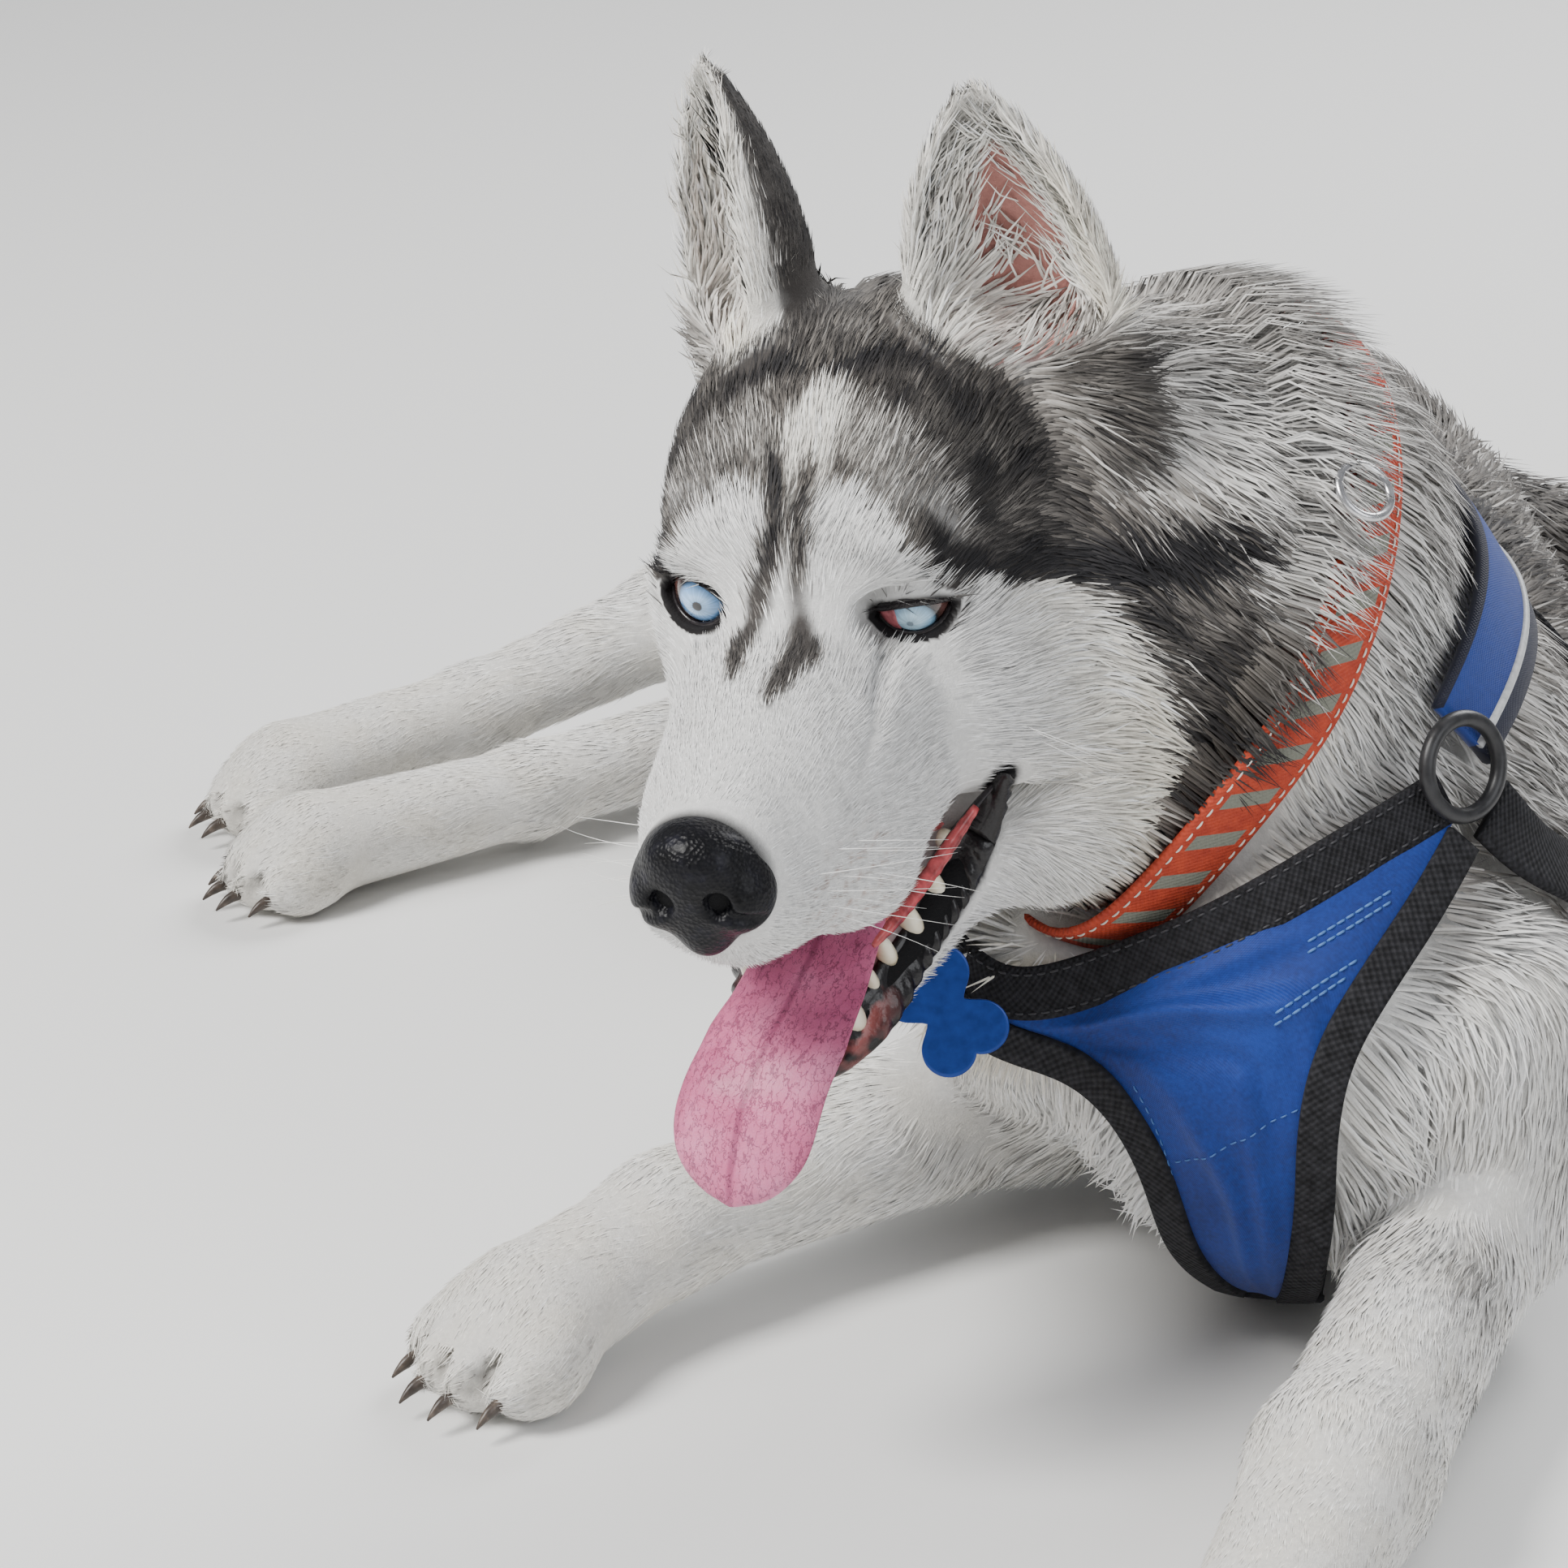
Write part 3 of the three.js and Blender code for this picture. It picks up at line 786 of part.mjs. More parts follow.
// what it wears presses into the coat, with a hair's gap all round
const worn = {};
const order = Object.keys(wear);
for (const [i, name] of order.entries()) {
  let s = wear[name](0);
  for (const before of order.slice(0, i)) s = s.subtract(wear[before](GAP));
  const pieces = s.decompose().sort((a, b) => b.volume() - a.volume());
  worn[name] = pieces[0];
  const twin = wear[name](GAP);
  restSolid = restSolid.subtract(twin);
  headSolid = headSolid.subtract(twin);
}
// ---------- the parts, each cut from the whole ----------
const pieces = {};
const headTurn = (v) => sub(fromHead(v), HEAD_AT);
for (const [n, boxes] of Object.entries(CUTS.inHead)) {
  let piece;
  [piece, headSolid] = take(headSolid, boxes, fromHead, headTurn);
  pieces[n] = largest(piece);
}
pieces.head = largest(headSolid);
for (const [n, boxes] of Object.entries(CUTS.inBody)) {
  let piece;
  [piece, restSolid] = take(restSolid, boxes);
  pieces[n] = largest(piece);
}
pieces.trunk = largest(restSolid);
Object.assign(pieces, eyes, { tongue }, claws, worn);
const group = new THREE.Group();
let total = 0;
const lo = [1e9, 1e9, 1e9], hi = [-1e9, -1e9, -1e9];
for (const [n, solid] of Object.entries(pieces)) {
  const g = geometryOf(solid), look = Object.entries(LOOKS).find(([key]) => n.startsWith(key))[1];
  total += g.index.count / 3;
  const b = solid.boundingBox();
  for (let i = 0; i < 3; i++) { lo[i] = Math.min(lo[i], b.min[i]); hi[i] = Math.max(hi[i], b.max[i]); }
  const mesh = new THREE.Mesh(g, new THREE.MeshStandardMaterial({ color: look[0], roughness: look[1], metalness: look[2] }));
  mesh.name = n;
  group.add(mesh);
}
group.position.set(...SHIFT);
export default group;
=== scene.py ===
import bpy
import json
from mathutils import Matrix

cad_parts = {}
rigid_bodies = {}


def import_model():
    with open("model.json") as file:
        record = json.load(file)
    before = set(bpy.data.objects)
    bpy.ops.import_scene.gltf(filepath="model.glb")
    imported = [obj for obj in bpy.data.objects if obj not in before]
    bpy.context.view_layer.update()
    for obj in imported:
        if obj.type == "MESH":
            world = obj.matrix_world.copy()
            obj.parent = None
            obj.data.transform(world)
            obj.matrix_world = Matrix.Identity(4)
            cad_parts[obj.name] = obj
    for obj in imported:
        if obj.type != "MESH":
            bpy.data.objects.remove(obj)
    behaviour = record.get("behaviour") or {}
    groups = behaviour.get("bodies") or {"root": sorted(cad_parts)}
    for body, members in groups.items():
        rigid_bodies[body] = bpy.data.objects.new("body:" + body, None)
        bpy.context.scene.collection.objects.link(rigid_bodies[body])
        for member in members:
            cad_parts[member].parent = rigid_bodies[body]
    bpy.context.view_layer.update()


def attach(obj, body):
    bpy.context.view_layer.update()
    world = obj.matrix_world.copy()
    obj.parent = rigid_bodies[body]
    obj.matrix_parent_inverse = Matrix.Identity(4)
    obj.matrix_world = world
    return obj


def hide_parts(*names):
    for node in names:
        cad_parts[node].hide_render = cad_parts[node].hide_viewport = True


for _o in list(bpy.data.objects):
    bpy.data.objects.remove(_o)

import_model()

import json
import math
import time

import bmesh
import bpy
import numpy as np
import openvdb as vdb
from mathutils import Matrix, Vector

T0 = time.time()


def tick(what):
    print(f"[{time.time() - T0:6.1f} s] {what}", flush=True)


F32 = np.float32
SHIFT = np.array([58.925, -27.225, 0.0])  # mm, from the animal's own working origin to the frame

# ---------------------------------------------------------------- tables of the form, in mm
# "c" is a round cone from a to b with two radii, "e" an ellipsoid with centre, radii and turn; "m" is mirrored in x
HEADPOSE = dict(yaw=-3.70, pitch=10.41, roll=-5.11, T=[-51.97, -249.95, 261.89])
HEAD = [
    ["e", [0, 64, 8], [62, 72, 60], [0, 0, 0], 1],
    ["e", [0, 30, 10], [46, 42, 38], [0, 0, 0], 16],
    ["em", [25, 4, 17], [18, 12, 12], [0, 0, 0], 9],
    ["em", [42, 34, -14], [15, 32, 20], [0, 0, 0], 16],
    ["em", [33, 14, -2], [20, 12, 16], [0, 0, 0], 8],
    ["c", [0, -4, -22], [0, -90, -31], 31, 22, 16],
    ["cm", [13, -84, -45], [18, -46, -54], 16, 20, 14],
    ["cm", [18, -46, -54], [27, 2, -48], 20, 19, 14],
    ["cm", [14, -60, -34], [24, 4, -30], 17, 20, 14],
    ["e", [0, -89, -50], [15, 10, 16], [0, 0, 0], 8],
    ["e", [0, -101, -28], [20, 13, 17], [0, 0, 0], 4],
    ["em", [36, 40, -36], [20, 38, 34], [0, 0, 0], 18],
    ["e", [48, 44, -40], [28, 42, 36], [0, 0, 0], 18],
    ["e", [62, 58, -70], [38, 42, 50], [0, 0, 0], 22],
    ["e", [50, 42, -92], [36, 36, 34], [0, 0, 0], 16],
    ["e", [-30, 60, -66], [24, 36, 44], [0, 0, 0], 20],
    ["e", [8, 50, -84], [40, 42, 38], [0, 0, 0], 20],
]
JAW = [
    ["c", [0, -46, -119], [0, 10, -100], 11, 18, 1],
    ["cm", [9, -42, -117], [27, 20, -92], 12, 22, 8],
    ["cm", [27, 20, -92], [34, 52, -66], 22, 26, 12],
]
MOUTH = [[15, -66], [-20, -76], [-55, -80], [-85, -70], [-125, -60], [-125, -118], [-72, -116], [-51, -107], [-24, -95], [2, -82]]
EARS = {
    "L": dict(c=[50, 79, 42], tip=[43, 80, 132], yaw=12),
    "R": dict(c=[-36, 76, 42], tip=[-38, 80, 141], yaw=-50),
}
EAR = dict(hw=33.0, depth=0.72, wall=7.0, full=76.0)
EYEHOLE = [[32, -5, 0.5], [13.5, 9.5, 8.0]]
TRUNK = [
    ["c", [78, -128, 104], [76, -45, 108], 90, 98, 1],
    ["c", [76, -45, 108], [62, 90, 102], 98, 97, 30],
    ["c", [62, 90, 102], [48, 210, 90], 97, 86, 30],
    ["c", [48, 210, 90], [35, 305, 86], 86, 85, 30],
    ["e", [84, -90, 62], [70, 115, 64], [0, 0, 0], 20],
    ["e", [60, 70, 64], [82, 140, 66], [0, 0, 0], 20],
    ["e", [40, 300, 50], [90, 95, 52], [0, 0, 0], 20],
]
NECK = [
    ["c", [78, -85, 164], [25, -125, 234], 86, 83, 1],
    ["c", [25, -125, 234], [-36, -150, 266], 83, 70, 30],
    ["e", [46, -104, 238], [78, 72, 84], [0, 0, 0], 20],
]
LEGS = {
    "foreleg_right": [["c", [8, -160, 112], [-10, -98, 46], 48, 38, 1], ["c", [-10, -98, 46], [-104, -214, 36], 37, 24, 16], ["c", [-104, -214, 36], [-132, -258, 25], 24, 25, 12]],
    "foreleg_left": [["c", [140, -150, 110], [146, -150, 42], 46, 33, 1], ["c", [146, -150, 42], [126, -308, 34], 33, 30, 16], ["c", [126, -308, 34], [117, -385, 24], 30, 27, 12]],
    "hindleg_left": [["c", [50, 310, 66], [-25, 175, 46], 64, 44, 1], ["c", [-25, 175, 46], [-205, 228, 30], 44, 26, 16], ["c", [-205, 228, 30], [-270, 150, 25], 26, 22, 10], ["c", [-270, 150, 25], [-335, 82, 22], 22, 23, 10]],
    "hindleg_right": [["c", [15, 318, 125], [-90, 235, 108], 66, 52, 1], ["c", [-90, 235, 108], [-242, 262, 62], 52, 28, 16], ["c", [-242, 262, 62], [-312, 210, 34], 28, 22, 10], ["c", [-312, 210, 34], [-368, 150, 24], 22, 23, 10]],
}
TAIL = [["c", [38, 375, 92], [84, 432, 54], 44, 42, 1], ["c", [84, 432, 54], [155, 446, 44], 42, 44, 14], ["c", [155, 446, 44], [215, 402, 42], 44, 42, 14], ["c", [215, 402, 42], [252, 335, 36], 42, 34, 14], ["c", [252, 335, 36], [262, 285, 28], 34, 20, 14]]
PAWS = {
    "foreleg_right": dict(c=[-138, -268, 22], d=[-0.55, -0.84], gap=15, r=[13, 21, 16], reach=14),
    "foreleg_left": dict(c=[116, -395, 22], d=[-0.10, -0.995], gap=15, r=[13, 21, 16], reach=14),
    "hindleg_left": dict(c=[-342, 75, 20], d=[-0.69, -0.72], gap=13, r=[11.5, 19, 15], reach=12),
    "hindleg_right": dict(c=[-375, 142, 22], d=[-0.69, -0.72], gap=13, r=[11.5, 19, 15], reach=12),
}


# ---------------------------------------------------------------- the form as distances, mm
def turn(t):
    y, p, r = [math.radians(v) for v in t]
    cy, sy, cp, sp, cr, sr = math.cos(y), math.sin(y), math.cos(p), math.sin(p), math.cos(r), math.sin(r)
    return np.array([[cy * cr - sy * sp * sr, -sy * cp, cy * sr + sy * sp * cr], [sy * cr + cy * sp * sr, cy * cp, sy * sr - cy * sp * cr], [-cp * sr, sp, cp * cr]], F32)


def cone(P, a, b, ra, rb):
    a = np.array(a, F32)
    b = np.array(b, F32)
    ba = b - a
    l2 = float(ba @ ba)
    rr = float(ra - rb)
    a2 = l2 - rr * rr
    il2 = 1 / l2
    pa = P - a
    y = pa @ ba
    z = y - l2
    q = pa * F32(l2) - y[:, None] * ba
    x2 = np.einsum("ij,ij->i", q, q)
    y2 = y * y * l2
    z2 = z * z * l2
    k = np.sign(rr) * rr * rr * x2
    c1 = np.sign(z) * a2 * z2 > k
    c2 = np.sign(y) * a2 * y2 < k
    r = (np.sqrt(x2 * (a2 * il2)) + y * rr) * il2 - ra
    r = np.where(c2, np.sqrt(x2 + y2) * il2 - ra, r)
    return np.where(c1, np.sqrt(x2 + z2) * il2 - rb, r).astype(F32)


def ell(P, c, r, t=(0, 0, 0)):
    r = np.array(r, F32)
    q = P - np.array(c, F32)
    if any(t):
        q = q @ turn(t)
    k0 = np.sqrt(((q / r) ** 2).sum(1))
    k1 = np.sqrt(((q / r**2) ** 2).sum(1))
    return np.where(k1 < 1e-9, -r.min(), k0 * (k0 - 1) / np.maximum(k1, 1e-9)).astype(F32)


def smin(a, b, k):
    h = np.maximum(k - np.abs(a - b), 0) / k
    return np.minimum(a, b) - h * h * (k * 0.25)


def smax(a, b, k):
    return -smin(-a, -b, k)


def mirrored(P):
    M = P.copy()
    M[:, 0] = np.abs(M[:, 0])
    return M


def prims(P, table, F=None):
    M = None
    for p in table:
        Q = P
        if p[0].endswith("m"):
            if M is None:
                M = mirrored(P)
            Q = M
        d = cone(Q, *p[1:5]) if p[0][0] == "c" else ell(Q, *p[1:4])
        F = d if F is None else smin(F, d, p[-1])
    return F


HR = turn([HEADPOSE["yaw"], HEADPOSE["pitch"], HEADPOSE["roll"]])
HT = np.array(HEADPOSE["T"], F32)


def to_head(P):
    return (P - HT) @ HR


def from_head(Q):
    return Q @ HR.T + HT


def poly2(x, y, V):
    """Signed distance to a polygon, negative inside."""
    V = np.array(V, float)
    d = np.full(len(x), 1e18)
    s = np.ones(len(x))
    for i in range(len(V)):
        a, b = V[i], V[i - 1]
        e = b - a
        w0, w1 = x - a[0], y - a[1]
        t = np.clip((w0 * e[0] + w1 * e[1]) / (e @ e), 0, 1)
        bx, by = w0 - e[0] * t, w1 - e[1] * t
        d = np.minimum(d, bx * bx + by * by)
        c0, c1, c2 = y >= a[1], y < b[1], e[0] * w1 > e[1] * w0
        s = np.where((c0 & c1 & c2) | (~c0 & ~c1 & ~c2), -s, s)
    return (s * np.sqrt(d)).astype(F32)


def ear_axes(e):
    c = np.array(e["c"], float)
    w = np.array(e["tip"], float) - c
    H = float(np.linalg.norm(w))
    w /= H
    y = math.radians(e["yaw"])
    n = np.array([math.sin(y), -math.cos(y), 0])
    n -= w * (n @ w)
    n /= np.linalg.norm(n)
    return c.astype(F32), w.astype(F32), n.astype(F32), np.cross(w, n).astype(F32), H


def ear_parts(Q, e, inset=0.0):
    """Outer form, cup, and coordinates across, forward and down from the tip."""
    c, w, n, u, H = ear_axes(e)
    D = Q - c
    U, V, Wd = D @ u, D @ n, D @ w
    s = H - Wd
    hw = EAR["hw"] * np.sin(np.pi / 2 * np.clip(s / EAR["full"], 0.02, 1) ** 0.8)
    hw = np.maximum(hw - np.maximum(s - EAR["full"] - 14, 0) * 0.12, 2.0)
    dp, t = EAR["depth"], EAR["wall"]
    o = (np.sqrt((U / hw) ** 2 + (V / (dp * hw)) ** 2) - 1) * hw * 0.8
    hi, di = np.maximum(hw - t, 1.5), np.maximum(dp * hw - t, 1.5)
    i = (np.sqrt((U / hi) ** 2 + ((V - t * 0.2) / di) ** 2) - 1) * np.minimum(hi, di) * 0.95
    i = smax(i, s - (H - 6), 10)
    return o, i, U, V, s, H, hw


def ear(Q, e, inset=0.0):
    o, i, U, V, s, H, hw = ear_parts(Q, e)
    sh = smax(o + inset, -(i - inset), 2)
    sh = smax(sh, V - 0.25 * hw + inset, 4)
    sh = smax(sh, -s + 1.0 + inset, 4)
    sh = smax(sh, s - (H + 22), 6)
    return (sh * 0.85).astype(F32)


def paw(P, p):
    d = np.array(p["d"] + [0], float)
    d /= np.linalg.norm(d)
    l = np.array([-d[1], d[0], 0])
    c = np.array(p["c"], float)
    yaw = math.degrees(math.atan2(d[1], d[0])) - 90
    F = None
    for o in (-1.5, -0.5, 0.5, 1.5):
        f = p["reach"] - (5 if abs(o) > 1 else -3)
        q = ell(P, c + l * o * p["gap"] * 0.92 + d * f + np.array([0, 0, -c[2] + p["r"][2] - 1]), p["r"], [yaw, 0, 0])
        F = q if F is None else smin(F, q, 5)
    return smin(F, ell(P, c + np.array([0, 0, 1]), [p["gap"] * 2.0, 24, 21], [yaw, 0, 0]), 8)


def reach_of(table, pad):
    lo, hi = np.full(3, 1e9), np.full(3, -1e9)
    for p in table:
        if p[0][0] == "c":
            for q, r in ((p[1], p[3]), (p[2], p[4])):
                lo, hi = np.minimum(lo, np.array(q) - r), np.maximum(hi, np.array(q) + r)
        else:
            lo, hi = np.minimum(lo, np.array(p[1]) - np.array(p[2])), np.maximum(hi, np.array(p[1]) + np.array(p[2]))
    return lo - pad, hi + pad


def near_only(P, table, pad, fn):
    """fn near the table's box, and a plain distance to the box away from it."""
    lo, hi = reach_of(table, pad)
    gap = np.linalg.norm(np.maximum(np.maximum(lo - P, P - hi), 0), axis=1).astype(F32)
    out = gap + pad
    m = gap <= 0
    if m.any():
        out[m] = fn(P[m])
    return out


def trunk_neck(P):
    return smin(prims(P, TRUNK), prims(P, NECK), 34)


def head_solid(Q, inset_ear=0.0):
    F = prims(Q, HEAD)
    F = smin(F, prims(Q, JAW), 10)
    F = smax(F, -poly2(Q[:, 1], Q[:, 2], MOUTH), 5)
    F = smax(F, -ell(mirrored(Q), EYEHOLE[0], EYEHOLE[1]), 3)
    for e in EARS.values():
        F = smin(F, ear(Q, e, inset_ear), 9)
    return F


HEAD_REACH = (np.array([-130, -160, -175]), np.array([160, 190, 185]))


def groups(P):
    """Distance to each part of the body, and the point in the head's own frame."""
    Q = to_head(P)
    d = {"trunk": near_only(P, TRUNK, 60, lambda R: prims(R, TRUNK)), "neck": near_only(P, NECK, 60, lambda R: prims(R, NECK))}
    for n in LEGS:
        d[n] = near_only(P, LEGS[n], 60, lambda R, n=n: smin(prims(R, LEGS[n]), paw(R, PAWS[n]), 10))
    d["tail"] = near_only(P, TAIL, 60, lambda R: prims(R, TAIL))
    gap = np.linalg.norm(np.maximum(np.maximum(HEAD_REACH[0] - Q, Q - HEAD_REACH[1]), 0), axis=1).astype(F32)
    near = gap <= 0
    dh = gap + 60
    if near.any():
        dh[near] = smin(prims(Q[near], HEAD), prims(Q[near], JAW), 10)
    d["head"] = dh
    return d, Q, near


def outer(P):
    """The coat's outer surface: the form of the solids, without the flat at the floor."""
    d, Q, near = groups(P)
    F = smin(d["trunk"], d["neck"], 34)
    for n in LEGS:
        F = smin(F, d[n], 14)
    F = smin(F, d["tail"], 16)
    if near.any():
        F[near] = smin(F[near], head_solid(Q[near]), 22)
    return F


def step01(x, a, b):
    t = np.clip((x - a) / (b - a), 0, 1)
    return t * t * (3 - 2 * t)


def weights(d):
    """How much each part of the body owns a point."""
    keys = list(d)
    D = np.stack([d[k] for k in keys])
    W = np.exp(-np.clip(D - D.min(0), 0, 200) / 9.0)
    W /= W.sum(0)
    return {k: W[i] for i, k in enumerate(keys)}


def paw_near(P):
    """1 at the toes, 0 far up the legs."""
    w = np.zeros(len(P), F32)
    for p in PAWS.values():
        w = np.maximum(w, 1 - np.clip(np.linalg.norm(P - np.array(p["c"], F32), axis=1) / 190.0, 0, 1))
    return w


def ear_near(Q):
    """How far a point is out along an ear: 0 on the skull, 1 on the ear."""
    w = np.zeros(len(Q), F32)
    for e in EARS.values():
        o, i, U, V, s, H, hw = ear_parts(Q, e)
        w = np.maximum(w, step01(-o, -10, -2) * step01(H - s, 0, 22))
    return w


def head_depth(Q):
    """The coat's depth on the head: thin on the muzzle and face, deep on the cheeks and behind."""
    x, y, z = np.abs(Q[:, 0]), Q[:, 1], Q[:, 2]
    d = 0.9 + 1.3 * step01(y, -70, 0) + 2.2 * step01(y, 0, 60)
    ruff = step01(y, 14, 46) * step01(-z, 8, 50) * step01(x, 16, 50)
    d = d + 6.5 * ruff + 3.0 * step01(y, 70, 120)
    under = step01(-z, 96, 118) * step01(y, -20, 30)
    d = d + 2.5 * under * (1 - ruff)
    near_mouth = step01(-np.abs(z + 84), -34, -16) * step01(-y, -22, -6)
    d = d * (1 - 0.5 * near_mouth)
    e = ear_near(Q)
    return d * (1 - e) + 0.8 * e


def depth_of(P, W, Q):
    d = 10.0 * W["trunk"] + 11.0 * W["neck"] + 12.0 * W["tail"]
    pn = paw_near(P)
    for n in LEGS:
        d = d + W[n] * (6.5 - 4.6 * pn)
    return (d + W["head"] * head_depth(Q)).astype(F32)


# ---------------------------------------------------------------- eyes and lids, head's own mm
EYE_R = 11.6
EYES = {
    "left": dict(at=np.array([31.5, 10.6, 0.5]), gaze=np.array([0.09, -0.90, -0.36]), half=12.0, up=6.3, low=5.6, tilt=7.0, face=np.array([0.16, -0.92, -0.33])),
    "right": dict(at=np.array([-31.5, 10.6, 0.5]), gaze=np.array([-0.10, -0.993, -0.05]), half=11.0, up=8.6, low=7.4, tilt=6.0, face=np.array([-0.40, -0.91, -0.10])),
}


def unit(v):
    v = np.array(v, float)
    return v / np.linalg.norm(v)


def eye_axes(e):
    """forward, outward along the lids, and up."""
    f = unit(e["face"])
    side = 1.0 if e["at"][0] > 0 else -1.0
    out = unit(np.cross(np.array([0, 0, 1.0]), f) * 1.0)
    if out[0] * side < 0:
        out = -out
    t = math.radians(e["tilt"])
    up = unit(np.cross(f, out))
    if up[2] < 0:
        up = -up
    o2 = out * math.cos(t) + up * math.sin(t)
    u2 = unit(np.cross(f, o2))
    if u2[2] < 0:
        u2 = -u2
    return f, o2, u2


def lid_opening(Q, e, grow=0.0):
    """Signed measure of the almond between the lids, negative where the eye shows."""
    f, o, u = eye_axes(e)
    D = Q - e["at"]
    a, b = D @ o, D @ u
    w = e["half"] + grow
    out = None
    for h, s in ((e["up"] + grow, 1), (e["low"] + grow, -1)):
        r = (w * w + h * h) / (2 * h)
        c = r - h
        d = np.sqrt(a * a + (b * s + c) ** 2) - r
        out = d if out is None else np.maximum(out, d)
    return out, D @ f


def toe_gaps():
    """Grooves between the toes."""
    out = []
    for p in PAWS.values():
        d = np.array(p["d"] + [0], float)
        d /= np.linalg.norm(d)
        l = np.array([-d[1], d[0], 0])
        for o in (-1, 0, 1):
            c = np.array([p["c"][0], p["c"][1], 0.0]) + l * o * p["gap"] * 0.92
            f = c + d * (p["reach"] + p["r"][1] + (2 if o == 0 else -3))
            k = c + d * (p["reach"] - 12)
            out.append((f + [0, 0, p["r"][2] * 0.9], k + [0, 0, p["r"][2] * 2.05], 2.6))
    return out


TOE_GAPS = toe_gaps()


def skin_field(P):
    """The skin: inside the solids by the coat's depth, with lids, flat at the floor."""
    d, Q, near = groups(P)
    ears = np.full(len(P), 60.0, F32)
    if near.any():
        ears[near] = np.minimum(ear(Q[near], EARS["L"]), ear(Q[near], EARS["R"]))
    d2 = dict(d)
    d2["head"] = np.minimum(d["head"], ears)
    W = weights(d2)
    dep = depth_of(P, W, Q)
    F = smin(d["trunk"], d["neck"], 34)
    for n in LEGS:
        F = smin(F, d[n], 14)
    F = smin(F, d["tail"], 16) + dep
    if near.any():
        q = Q[near]
        H = smax(d["head"][near], -poly2(q[:, 1], q[:, 2], MOUTH), 4)
        H = smax(H, -ell(mirrored(q), EYEHOLE[0], EYEHOLE[1]), 3)
        H = H + dep[near]
        for e in EYES.values():
            r = np.linalg.norm(q - e["at"], axis=1)
            o, fwd = lid_opening(q, e)
            H = smin(H, smax(r - (EYE_R + 2.3), 2.0 - fwd, 3.0), 3.0)
            H = smax(H, -np.maximum(np.maximum(o, EYE_R - 3.5 - r), 3.0 - fwd), 0.6)
        for e in EARS.values():
            H = smin(H, ear(q, e, 0.8), 8)
        F[near] = smin(F[near], H, 20)
    low = P[:, 2] < 60
    if low.any():
        p, g = P[low], F[low]
        for a, b, r in TOE_GAPS:
            g = smax(g, -cone(p, a, b, r, r * 0.6), 2.5)
        F[low] = g
    return np.maximum(F, 1.2 - P[:, 2]).astype(F32)


def gradient(fn, P, h=0.5):
    G = np.empty_like(P)
    for k in range(3):
        A, B = P.copy(), P.copy()
        A[:, k] += h
        B[:, k] -= h
        G[:, k] = (fn(A) - fn(B)) / (2 * h)
    return G


def sparse_grid(fn, lo, hi, h, m, reach):
    """Values of fn on a fine grid near its surface, worked out only in coarse cells that the surface may cross."""
    lo = np.array(lo, float)
    n = np.ceil((np.array(hi, float) - lo) / (h * m)).astype(int)
    ax = [lo[k] + (np.arange(n[k]) + 0.5) * h * m - 0.5 * h for k in range(3)]
    C = np.stack(np.meshgrid(*ax, indexing="ij"), -1).reshape(-1, 3).astype(F32)
    V = np.concatenate([fn(C[i : i + 60000]) for i in range(0, len(C), 60000)])
    cells = np.nonzero(np.abs(V) < reach * h * m)[0]
    full = np.repeat(np.repeat(np.repeat(V.reshape(n), m, 0), m, 1), m, 2).astype(F32)
    sub = np.stack(np.meshgrid(*[np.arange(m)] * 3, indexing="ij"), -1).reshape(-1, 3)
    ijk = np.stack(np.unravel_index(cells, n), -1)
    step = max(1, 60000 // len(sub))
    for i in range(0, len(ijk), step):
        I = (ijk[i : i + step, None, :] * m + sub[None]).reshape(-1, 3)
        P = (lo + I * h).astype(F32)
        full[I[:, 0], I[:, 1], I[:, 2]] = fn(P)
    return full, lo, len(cells) * len(sub)


def polygons(full, lo, h, adapt=0.0):
    g = vdb.FloatGrid(float(h * 3))
    g.copyFromArray(np.clip(full, -3 * h, 3 * h).astype(float), tolerance=0.0)
    pts, tris, quads = g.convertToPolygons(isovalue=0.0, adaptivity=adapt)
    return np.asarray(pts, float) * h + lo, np.asarray(tris, int).reshape(-1, 3), np.asarray(quads, int).reshape(-1, 4)


def mesh_object(name, verts, faces, smooth=True, scale=0.001, shift=SHIFT):
    """faces is a list of arrays, each of rows of one length."""
    me = bpy.data.meshes.new(name)
    V = (np.asarray(verts, float) + shift) * scale
    faces = [np.asarray(f, np.int32) for f in faces if len(f)]
    loops = np.concatenate([f.ravel() for f in faces])
    sizes = np.concatenate([np.full(len(f), f.shape[1], np.int32) for f in faces])
    me.vertices.add(len(V))
    me.vertices.foreach_set("co", V.astype(F32).ravel())
    me.loops.add(len(loops))
    me.loops.foreach_set("vertex_index", loops)
    me.polygons.add(len(sizes))
    me.polygons.foreach_set("loop_start", np.concatenate([[0], np.cumsum(sizes)[:-1]]).astype(np.int32))
    if smooth:
        me.polygons.foreach_set("use_smooth", np.ones(len(sizes), bool))
    me.update(calc_edges=True)
    me.validate()
    ob = bpy.data.objects.new(name, me)
    bpy.context.scene.collection.objects.link(ob)
    return ob


# ---------------------------------------------------------------- the skin
STEP = 3.6
LOW, HIGH = [-428, -462, -12], [332, 520, 424]
full, glo, used = sparse_grid(skin_field, LOW, HIGH, STEP, 4, 1.25)
tick(f"field {full.shape}, {used} points")
pts, tris, quads = polygons(full, glo, STEP)
tick(f"polygons {len(pts)} points {len(tris)} tris {len(quads)} quads")


